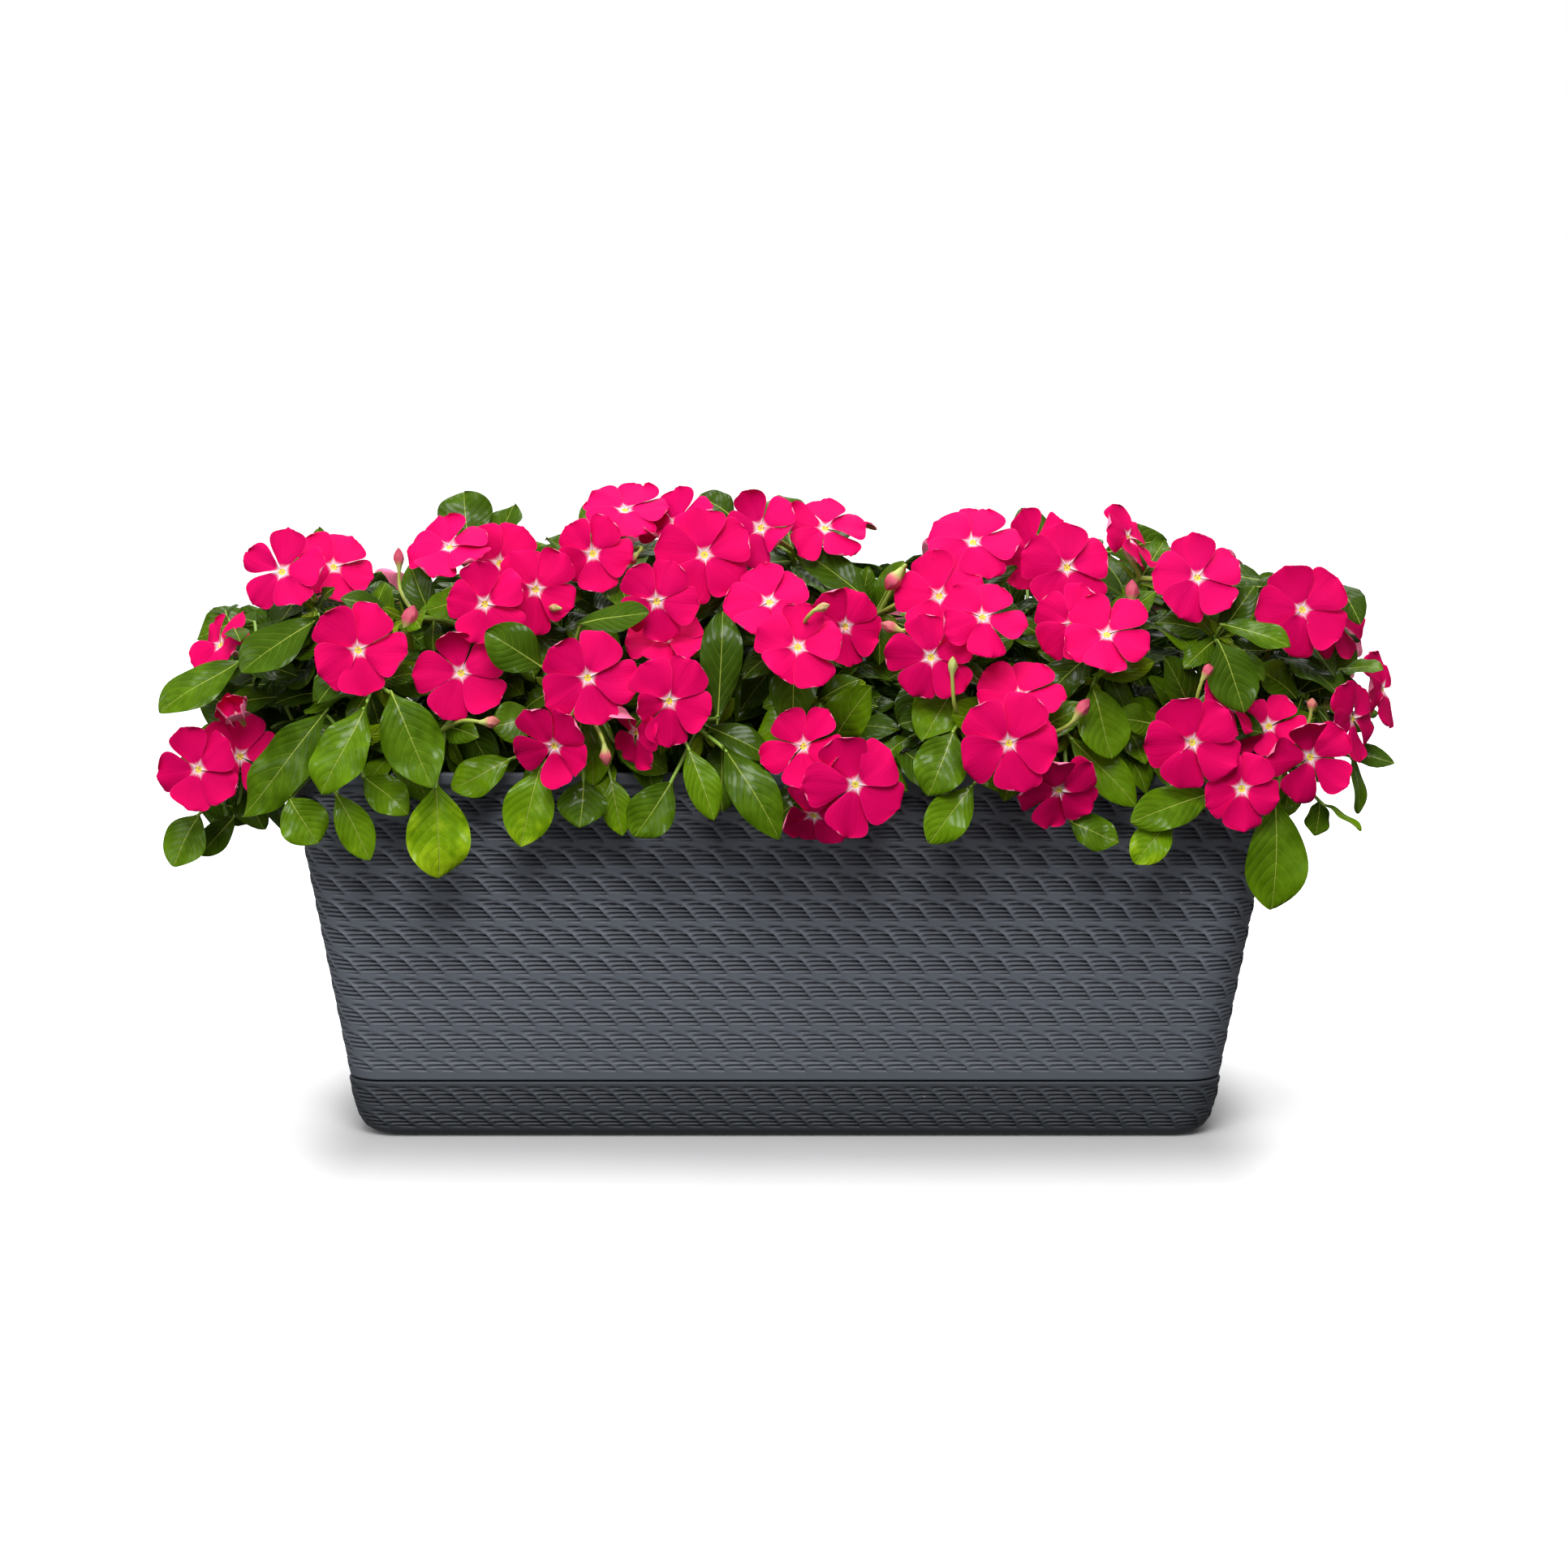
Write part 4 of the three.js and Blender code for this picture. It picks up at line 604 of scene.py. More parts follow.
@dataclass(frozen=True)
class MouldedSlatePlastic:
    """Polypropylene moulded with a fine matt grain: slate grey, with painted shade along the relief's fibre lines,
    grooves and recesses, and a painted highlight along each strand's raised edge.
    """

    # raised is the colour of the painted highlight on the strands' raised edges, cut the colour of the painted
    # shade in grooves and recesses, and fibre_shade how much painted shade the fibre lines get
    raised: str = "#7c818b"
    base: str = "#636871"
    cut: str = "#15171b"
    roughness: float = 0.5
    specular: float = 0.35
    fibre_shade: float = 0.85
    fibre_depth_mm: float = 0.85
    grain_mm: float = 0.7
    grain_depth_mm: float = 0.05
    dust: str = "#aeb2b8"
    dust_mm: float = 17.0

    def material(self) -> bpy.types.Material:
        """Builds the material: mottled slate with a mould grain, painted shade and highlight from the relief's
        marks, and a few pale specks of dust.

        Returns:
            The material.
        """
        material, add = start_material("moulded slate polypropylene")
        place = add("TexCoord").outputs["Object"]
        # The relief's marks: where a fibre's line runs, how strong it is there, and how much shade is painted on,
        # which below zero is a painted highlight
        marks = add("Attribute", attribute_name="place")
        phase, strength, cut = add("SeparateXYZ", [marks.outputs["Vector"]]).outputs
        angle = add("Math", [phase, 2 * math.pi], operation="MULTIPLY")
        wave = add("Math", [angle], operation="COSINE")
        lifted = add("Math", [wave, 0.5, 0.5], operation="MULTIPLY_ADD")
        thin = add("Math", [lifted, 1.25], operation="POWER")
        line = add("Math", [thin, strength], operation="MULTIPLY")
        # Painted shade along the fibre lines and in the cut recesses, darkening the grey towards the cut colour
        deep = add("Math", [line, self.fibre_shade, cut], operation="MULTIPLY_ADD")
        mottle = add("TexNoise", {"Vector": place, "Scale": 14, "Detail": 3})
        patchy = add("Math", [mottle, 0.16, deep], operation="MULTIPLY_ADD")
        level = add("Math", [patchy, 0.7, 0.24], operation="MULTIPLY_ADD")
        tint = add("ValToRGB", [level], stops=[(0.0, self.raised), (0.3, self.base), (1.0, self.cut)])
        # Each speck is the core of a cell, and only the cells with a high draw have one
        cells = add("TexVoronoi", {"Vector": place, "Scale": 1 / (self.dust_mm * MM)})
        speck = add("MapRange", [cells.outputs["Distance"], 0.035, 0.015, 0, 1])
        draw = add("SeparateColor", {"Color": cells.outputs["Color"]})
        rare = add("Math", [draw, 0.8], operation="GREATER_THAN")
        dusty = add("Math", [speck, rare], operation="MULTIPLY")
        colour = add("Mix", [dusty, tint, self.dust], data_type="RGBA")
        grain = add("TexNoise", {"Vector": place, "Scale": 1 / (self.grain_mm * MM), "Detail": 2})
        lines = add("Bump", {"Height": line, "Strength": 1, "Distance": self.fibre_depth_mm * MM}, invert=True)
        grained = {"Height": grain, "Strength": 1, "Distance": self.grain_depth_mm * MM, "Normal": lines}
        bump = add("Bump", grained)
        end_material(add, {
            "Base Color": colour, "Normal": bump, "Roughness": self.roughness,
            "Specular IOR Level": self.specular,
        })
        return material


# ---------------------------------------------------------------------------------- the planter and tray


@dataclass
class RopeRelief:
    """The rope rows that run round a wall: slanting strands, each of fine fibres, under a smooth band."""

    front_strands: int = 32
    side_strands: int = 12
    # Where the grid's columns stand across a strand, from its raised edge to the groove at its end
    columns: tuple[float, ...] = (0.0, 0.06, 0.24, 0.45, 0.67, 0.86, 0.965)
    rings: int = 24
    row_swell: float = 0.45
    base: float = 0.3
    edge: float = 0.3
    groove: float = 0.32
    recess: float = 0.55
    fibre: float = 1.1
    fibres: float = 5.2
    fibre_rise: float = 0.3
    fibre_bow: float = 0.02
    band: float = 0.87
    band_arch: float = 0.19
    arch_peak: float = 0.7
    foot_slope: float = 0.2
    corner_fade: float = 0.55
    lean: float = 0.66
    lean_power: float = 5.0
    crease: float = 62.0

    def starts(self) -> np.ndarray:
        """The strand number at which each wall starts: front, right, back, left, and the end."""
        counts = [self.front_strands, self.side_strands] * 2
        return np.concatenate([[0], np.cumsum(counts)])

    def across(self) -> np.ndarray:
        """The strand number of each of the grid's columns."""
        strands = np.arange(self.starts()[-1])[:, None]
        return (strands + np.array(self.columns)).ravel()

    def lean_at(self, v: float) -> float:
        """How far a strand leans back at the share v of its row's height, in strands."""
        return self.lean * v + (1 - self.lean) * v**self.lean_power

    def outline(
        self, half: Sequence[float], radius: float, strand: np.ndarray
    ) -> tuple[np.ndarray, np.ndarray, np.ndarray]:
        """Points of a rounded rectangle, by strand number round it.

        Args:
            half: Half its length and half its depth.
            radius: Its corners' radius.
            strand: The strand number of each point, which wraps round.

        Returns:
            The points, their outward directions, and how far each has turned into a corner from 0 to 1.
        """
        starts = self.starts()
        strand = np.mod(strand, starts[-1])
        wall = np.clip(np.searchsorted(starts, strand, side="right") - 1, 0, 3)
        share = (strand - starts[wall]) / np.diff(starts)[wall]
        reach = np.array([half[0], half[1], half[0], half[1]])[wall]
        depth = np.array([half[1], half[0], half[1], half[0]])[wall]
        straight = reach - radius
        length = 2 * (straight + radius * math.pi / 4)
        place = (share - 0.5) * length
        turn = np.clip(np.abs(place) - straight, 0, None) / radius
        sign = np.sign(place)
        along = sign * (np.minimum(np.abs(place), straight) + radius * np.sin(turn))
        out = depth - radius * (1 - np.cos(turn))
        ways = np.array([(1, 0), (0, 1), (-1, 0), (0, -1)])[wall]
        fronts = np.array([(0, -1), (1, 0), (0, 1), (-1, 0)])[wall]
        points = along[:, None] * ways + out[:, None] * fronts
        normals = np.cos(turn)[:, None] * fronts + (sign * np.sin(turn))[:, None] * ways
        return points, normals, turn / (math.pi / 4)

    def height(
        self, share: np.ndarray, v: float, depth: float, band_foot: float
    ) -> tuple[np.ndarray, float, np.ndarray]:
        """How far the relief stands out of the wall, and its marks.

        Args:
            share: Where each point lies across its strand, from 0 to 1.
            v: The share of the row's height.
            depth: How deep the row's strands are cut, as a share.
            band_foot: Where the smooth foot of the row ends, as a share of its height.

        Returns:
            The strands' height at each point, the row's own swell, and for each point the fibre's phase,
            the fibre's strength, and the painted shade in the groove and under the band, less a painted highlight
            along the raised edge.
        """
        top = self.band - self.band_arch * np.abs(2 * share - self.arch_peak) ** 2.2
        low = band_foot + self.foot_slope * (1 - share) ** 2
        inner = smoothstep(-0.06, 0.05, v - low) * (1 - smoothstep(-0.05, 0.035, v - top))
        edge = self.edge * (1 - smoothstep(0.05, 0.2, share))
        groove = self.groove * smoothstep(0.72, 0.965, share)
        recess = self.recess * smoothstep(0.42, 0.84, np.array(v))
        # The fibres bow with the arch on its left, and run on nearly level to the strand's right-hand end
        left = self.band_arch * np.abs(np.minimum(2 * share - self.arch_peak, 0)) ** 2.2
        right = self.fibre_bow * (np.maximum(2 * share - self.arch_peak, 0) / (2 - self.arch_peak)) ** 2
        phase = self.fibres * (v + left + right) / self.band - self.fibre_rise * share * (1 - v)
        lines = (0.5 + 0.5 * np.cos(2 * math.pi * phase)) ** 1.25
        fibre = self.fibre * lines * smoothstep(0.04, 0.32, share) * (0.6 + 0.4 * share)
        swell = self.row_swell * math.sin(math.pi * v) ** 2
        # Painted shade in the groove at each strand's end and in a crescent under the band, and a painted highlight
        # along the strand's raised edge
        crescent = smoothstep(-0.15, -0.03, v - top)
        cut = 0.16 * smoothstep(0.7, 0.96, share) + 0.34 * crescent - 0.25 * (1 - smoothstep(0.03, 0.13, share))
        strength = smoothstep(0.03, 0.26, share) * (0.7 + 0.3 * share)
        marks = np.column_stack([phase, inner * depth * strength, inner * depth * cut])
        return inner * depth * (edge - groove - recess - fibre), swell, marks

    def rows(
        self, bottom: float, row_height: float, first: int, last: int,
        wall: Callable[[float, float], tuple[list[float], float]], depths: Sequence[float], foot: float,
    ) -> Iterator[tuple[np.ndarray, np.ndarray]]:
        """The rings of several rope rows, from the foot of the first to the top of the last.

        Args:
            bottom: The height at which row 0 starts.
            row_height: How high a row is.
            first: The first row's number.
            last: The number after the last row's.
            wall: Gives half the outline's sides and its corner radius at a height.
            depths: How deep each row is cut.
            foot: Where row 0's smooth foot ends.

        Yields:
            Each ring's points and marks.
        """
        across = self.across()
        share = np.tile(self.columns, self.starts()[-1])
        for row in range(first, last):
            steps = self.rings + (row == last - 1)
            for step in range(steps):
                v = step / self.rings
                z = bottom + (row + v) * row_height
                half, radius = wall(z, 0)
                points, normals, corner = self.outline(half, radius, across - row - self.lean_at(v))
                strands, swell, marks = self.height(share, v, depths[row], foot if row == 0 else 0.04)
                fade = 1 - self.corner_fade * smoothstep(0.1, 0.95, corner)
                out = self.base + swell + strands * fade
                yield level_ring(points + normals * out[:, None], z), marks

    def plain(
        self, z: float, half: Sequence[float], radius: float, shift: int, cut: float = 0.0
    ) -> tuple[np.ndarray, np.ndarray]:
        """A ring without relief, whose columns carry on from a row's, and its marks, where cut is painted shade."""
        points, _, _ = self.outline(half, radius, self.across() - shift)
        return level_ring(points, z), np.array([0, 0, cut])


@dataclass
class RopePlanter:
    """The tapered box, in two closed parts that meet in the groove under the sixth rope row."""

    relief: RopeRelief
    finish: bpy.types.Material
    height: float = 228.0
    seam: float = 36.0
    seam_gap: float = 0.8
    seam_half: tuple[float, float] = (265.0, 88.0)
    rim_half: tuple[float, float] = (296.0, 118.0)
    seam_corner: float = 22.0
    rim_corner: float = 30.0
    wall: float = 3.0
    shoulder_step: float = 7.0
    foot: float = 4.3
    floor: float = 3.4
    rows: int = 11
    row_height: float = 16.4
    split_row: int = 5
    edge: float = 1.0
    lip_height: float = 8.0
    lip_proud: float = 4.0
    drain_radius: float = 5.0
    drain_count: int = 4
    drain_spacing: float = 110.0

    def outline(self, z: float, proud: float) -> tuple[list[float], float]:
        """Half the box's sides and its corner radius at a height, moved outwards by proud.

        Args:
            z: The height.
            proud: How far outwards.

        Returns:
            The half sides and the radius.
        """
        share = (z - self.seam) / (self.height - self.seam)
        half = [a + (b - a) * share + proud for a, b in zip(self.seam_half, self.rim_half)]
        return half, self.seam_corner + (self.rim_corner - self.seam_corner) * share + proud

    def ring(self, z: float, proud: float, shift: int, cut: float = 0.0) -> tuple[np.ndarray, np.ndarray]:
        """A plain ring of the box at a height, moved outwards by proud, with cut as its painted shade."""
        return self.relief.plain(z, *self.outline(z, proud), shift, cut)

    def rope(self, first: int, last: int) -> list[tuple[np.ndarray, np.ndarray]]:
        """The rings of some of the box's rope rows, whose strands are cut deep at the top, less so at the foot.

        Args:
            first: The first row.
            last: The row after the last.

        Returns:
            Each ring's points and marks.
        """
        depths = [0.62 + 0.38 * min(1.0, row / 6) for row in range(self.rows)]
        start = self.seam + self.seam_gap + self.edge
        return list(self.relief.rows(start, self.row_height, first, last, self.outline, depths, 0.3))

    def build(self) -> None:
        """Builds the upper wall with its lip, the lower wall with its foot, and the floor."""
        shoulder = self.seam + self.seam_gap
        start = shoulder + self.edge
        split = start + self.split_row * self.row_height
        lip = self.height - self.lip_height
        inner = -self.wall
        foot_inner = -self.shoulder_step - self.wall
        profile = [
            (lip, 0.6), (lip + 0.4, 2.9), (lip + 1.2, 3.8), (lip + 2.2, self.lip_proud),
            (self.height - 1.6, self.lip_proud), (self.height - 0.5, 3.5), (self.height, 2.6),
            (self.height, -2.0), (self.height - 0.4, -2.7), (self.height - 1.2, inner), (split, inner),
        ]
        upper = self.rope(self.split_row, self.rows) + [self.ring(z, proud, self.rows) for z, proud in profile]
        # The foot's rings: height, how far out, and painted shade, darkest in the step under the seam where the
        # upper wall overhangs
        base = [
            (self.foot, foot_inner + 0.6, 0.0), (self.foot, -self.shoulder_step - 0.8, 0.0),
            (self.foot + 0.8, -self.shoulder_step, 0.6), (shoulder, -self.shoulder_step, 1.0),
            (shoulder, -0.5, 0.8), (shoulder + 0.4, 0.0, 0.0),
        ]
        lining = [
            (split, inner), (shoulder + self.wall, inner), (shoulder + self.wall, foot_inner),
            (self.foot + 0.6, foot_inner),
        ]
        lower = [self.ring(z, proud, 0, cut) for z, proud, cut in base]
        lower += self.rope(0, self.split_row) + [self.ring(z, proud, self.split_row) for z, proud in lining]
        for name, layers, rows in (
            ("planter_wall_upper", upper, self.rows - self.split_row), ("planter_wall_lower", lower, self.split_row)
        ):
            # Each row starts a strand further on, so the last ring's columns have moved on by the rows between
            turn = rows * len(self.relief.columns)
            rings, marks = zip(*layers)
            skin = Skin()
            skin.add_rings(rings, marks, np.zeros(3), Ends.JOINED, turn)
            skin.piece(name, self.finish, "moulded_slate_plastic", "rope_box", crease=self.relief.crease)
        finish_piece(self.floor_plate(foot_inner), "moulded_slate_plastic", "rope_box")

    def floor_plate(self, proud: float) -> bpy.types.Object:
        """Builds the floor: a plate with its row of drain holes cut by a tree of nodes.

        Args:
            proud: How far its edge stands out of the box's outline.

        Returns:
            The floor's object.
        """
        skin = Skin()
        rings = []
        for z in (self.foot, self.foot + self.floor):
            half, radius = self.outline(z, proud + 0.3)
            points, _, _ = self.relief.outline(half, radius, np.arange(0, self.relief.starts()[-1], 0.5))
            rings.append(level_ring(points, z))
        skin.add_rings(rings, [0, 0], np.zeros(3), Ends.CAPPED)
        tree, add, given = new_tree(
            "row_of_drain_holes", {"Count": "Int", "Spacing": "Float", "Radius": "Float", "Finish": "Material"}
        )
        span = add("Math", [given["Count"], -0.5, 0.5], operation="MULTIPLY_ADD")
        left = add("Math", [span, given["Spacing"]], operation="MULTIPLY")
        at = add("CombineXYZ", {"X": left, "Z": (self.foot + self.floor / 2) * MM})
        step = add("CombineXYZ", {"X": given["Spacing"]})
        source = {"Count": given["Count"], "Start Location": at, "Offset": step}
        line = add("GeometryNodeMeshLine", source, mode="OFFSET")
        plug = add("GeometryNodeMeshCylinder", {"Vertices": 24, "Radius": given["Radius"], "Depth": 12 * MM})
        plugs = add("GeometryNodeInstanceOnPoints", {"Points": line, "Instance": plug})
        whole = add("GeometryNodeRealizeInstances", {"Geometry": plugs})
        parts = {"Mesh 1": given["Geometry"], "Mesh 2": whole}
        cut = add("GeometryNodeMeshBoolean", parts, operation="DIFFERENCE")
        end_tree(add, cut, given["Finish"])
        values = {
            "Count": self.drain_count, "Spacing": self.drain_spacing * MM, "Radius": self.drain_radius * MM,
            "Finish": self.finish,
        }
        plate = run_tree("planter_floor", skin.mesh("planter_floor_blank", self.finish), tree, values)
        plate.data.set_sharp_from_angle(angle=math.radians(40))
        return plate


@dataclass
class DripTray:
    """The shallow tray with two rope rows and a rounded knee."""

    relief: RopeRelief
    finish: bpy.types.Material
    height: float = 36.0
    top_half: tuple[float, float] = (266.0, 89.0)
    bottom_half: tuple[float, float] = (260.0, 83.0)
    corner: float = 22.0
    wall: float = 3.0
    floor: float = 4.0
    rope_bottom: float = 4.5
    belly_tuck: float = 5.0
    belly_height: float = 22.0
    rows: int = 2
    edge: float = 1.0

    def outline(self, z: float, proud: float) -> tuple[list[float], float]:
        """Half the tray's sides and its corner radius at a height, moved outwards by proud.

        Args:
            z: The height.
            proud: How far outwards.

        Returns:
            The half sides and the radius.
        """
        share = z / self.height
        tuck = self.belly_tuck * max(0.0, 1 - z / self.belly_height) ** 2.2
        half = [a + (b - a) * share + proud - tuck for a, b in zip(self.bottom_half, self.top_half)]
        return half, self.corner + proud

    def build(self) -> None:
        """Builds the tray as one closed shell."""
        knee = [(0.0, (246, 69), 16), (0.25, (249.5, 72.5), 18), (1.2, (253, 76), 20), (2.6, (255.6, 78.6), 21)]
        layers = [self.relief.plain(z, half, radius, 0) for z, half, radius in knee]
        row_height = (self.height - self.rope_bottom - self.edge) / self.rows
        layers += self.relief.rows(self.rope_bottom, row_height, 0, self.rows, self.outline, [0.85, 0.8], 0.12)
        top = [
            (self.height - 0.4, 0.1), (self.height, -0.5), (self.height, 0.5 - self.wall),
            (self.height - 0.5, -self.wall), (self.floor + 1, -self.wall), (self.floor, -self.wall - 1),
        ]
        layers += [self.relief.plain(z, *self.outline(z, proud), self.rows) for z, proud in top]
        rings, marks = zip(*layers)
        skin = Skin()
        skin.add_rings(rings, marks, np.zeros(3), Ends.CAPPED)
        skin.piece("tray_shell", self.finish, "moulded_slate_plastic", "drip_tray", crease=self.relief.crease)


# -------------------------------------------------------------------------------------------- potting mix


@dataclass(frozen=True)
class PeatMix:
    """Moist peat-based potting mix: matt, nearly black brown, with lighter fibres."""

    dark: str = "#1d1510"
    light: str = "#3d2c20"
    lump_mm: float = 6.0
    roughness: float = 0.95

    def material(self) -> bpy.types.Material:
        """Builds the material: brown lumps with a rough surface.

        Returns:
            The material.
        """
        material, add = start_material("moist peat potting mix")
        place = add("TexCoord").outputs["Object"]
        lumps = add("TexNoise", {"Vector": place, "Scale": 1 / (self.lump_mm * MM), "Detail": 6})
        tint = add("ValToRGB", [lumps], stops=[(0.35, self.dark), (0.7, self.light)])
        bump = add("Bump", {"Height": lumps, "Strength": 1, "Distance": 1.5 * MM})
        end_material(add, {"Base Color": tint, "Normal": bump, "Roughness": self.roughness})
        return material


@dataclass(frozen=True)
class Perlite:
    """Expanded perlite: chalky white, porous grains."""

    base: str = "#d9d5cb"
    roughness: float = 0.9

    def material(self) -> bpy.types.Material:
        """Builds the material: off-white with fine pits.

        Returns:
            The material.
        """
        material, add = start_material("expanded perlite")
        place = add("TexCoord").outputs["Object"]
        pits = add("TexNoise", {"Vector": place, "Scale": 1 / (0.8 * MM), "Detail": 2})
        bump = add("Bump", {"Height": pits, "Strength": 1, "Distance": 0.3 * MM})
        end_material(add, {"Normal": bump, "Base Color": self.base, "Roughness": self.roughness})
        return material


@dataclass
class PottingMix:
    """The potting mix: a body that fills the box, and crumbs and perlite on its surface."""

    planter: RopePlanter
    mix: bpy.types.Material
    perlite: bpy.types.Material
    edge: float = 204.0
    crown: float = 209.0
    gap: float = 0.3
    crown_inset: float = 45.0
    lumpiness: float = 2.2
    lump_size: float = 22.0
    columns: int = 180
    crumb_density: float = 13000
    perlite_density: float = 1900

    def surface_rings(self, strands: np.ndarray) -> list[np.ndarray]:
        """Makes the rings of the lumpy surface, from the wall inwards.

        Args:
            strands: Where each point lies round the box, as a strand number.

        Returns:
            The rings.
        """
        box = self.planter
        half, radius = box.outline(self.edge, -box.wall - self.gap)
        rings = []
        for step in range(13):
            inset = min(half[1] - 2, step * half[1] / 12.3)
            rise = (self.crown - self.edge) * float(smoothstep(0, self.crown_inset, np.array(inset)))
            ring_half = [half[0] - inset, half[1] - inset]
            points, _, _ = box.relief.outline(ring_half, max(1.5, radius - inset * 0.4), strands)
            lumps = [noise.noise(Vector((x, y, 0)) / self.lump_size) for x, y in points]
            z = [self.edge + rise + self.lumpiness * min(1, inset / 8) * lump for lump in lumps]
            rings.append(np.column_stack([points, z]))
        return rings

    def build(self) -> None:
        """Builds the body, the crumbs and the perlite."""
        box = self.planter
        shoulder = box.seam + box.seam_gap + box.wall + self.gap
        strands = np.linspace(0, box.relief.starts()[-1], self.columns, endpoint=False)
        inner = -box.wall - self.gap
        rings = []
        for z, proud in (
            (box.foot + box.floor + self.gap, inner - box.shoulder_step), (shoulder, inner - box.shoulder_step),
            (shoulder, inner), (self.edge - 3, inner),
        ):
            points, _, _ = box.relief.outline(*box.outline(z, proud), strands)
            rings.append(level_ring(points, z))
        surface = self.surface_rings(strands)
        body = Skin()
        body.add_rings(rings + surface, np.zeros(len(rings) + len(surface)), np.zeros(3), Ends.CAPPED)
        body.piece("soil_bed", self.mix, "potting_mix", "potting_mix")
        tree = self.scatter_tree()
        for name, density, least, most, finish, seed in (
            ("soil_crumbs", self.crumb_density, 0.7, 2.6, self.mix, 11),
            ("soil_perlite", self.perlite_density, 0.9, 2.0, self.perlite, 23),
        ):
            top = Skin()
            top.add_rings(surface, np.zeros(len(surface)), np.zeros(3), Ends.OPEN)
            values = {"Seed": seed, "Density": density, "Least": least * MM, "Most": most * MM, "Finish": finish}
            finish_piece(run_tree(name, top.mesh(f"{name}_blank", finish), tree, values), "potting_mix")

    @staticmethod
    def scatter_tree() -> bpy.types.NodeTree:
        """Builds the tree that scatters small rough grains over a surface.

        Returns:
            The tree.
        """
        tree, add, given = new_tree(
            "grains_on_a_surface",
            {"Seed": "Int", "Density": "Float", "Least": "Float", "Most": "Float", "Finish": "Material"},
        )
        source = {"Mesh": given["Geometry"], "Density": given["Density"], "Seed": given["Seed"]}
        spread = add("GeometryNodeDistributePointsOnFaces", source)
        grain = add("GeometryNodeMeshIcoSphere", {"Radius": 1, "Subdivisions": 1})
        sides = []
        for side in (1, 2, 3):
            seed = add("Math", [given["Seed"], side], operation="ADD")
            span = {0: given["Least"], 1: given["Most"], "Seed": seed}
            sides.append(add("FunctionNodeRandomValue", span, data_type="FLOAT"))
        size = add("CombineXYZ", sides)
        turns = {0: (0, 0, 0), 1: (6.28, 6.28, 6.28), "Seed": given["Seed"]}
        turn = add("FunctionNodeRandomValue", turns, data_type="FLOAT_VECTOR")
        placed = {"Points": spread, "Instance": grain, "Rotation": turn, "Scale": size}
        end_tree(add, add("GeometryNodeInstanceOnPoints", placed), given["Finish"])
        return tree


# --------------------------------------------------------------------------------------- plant finishes


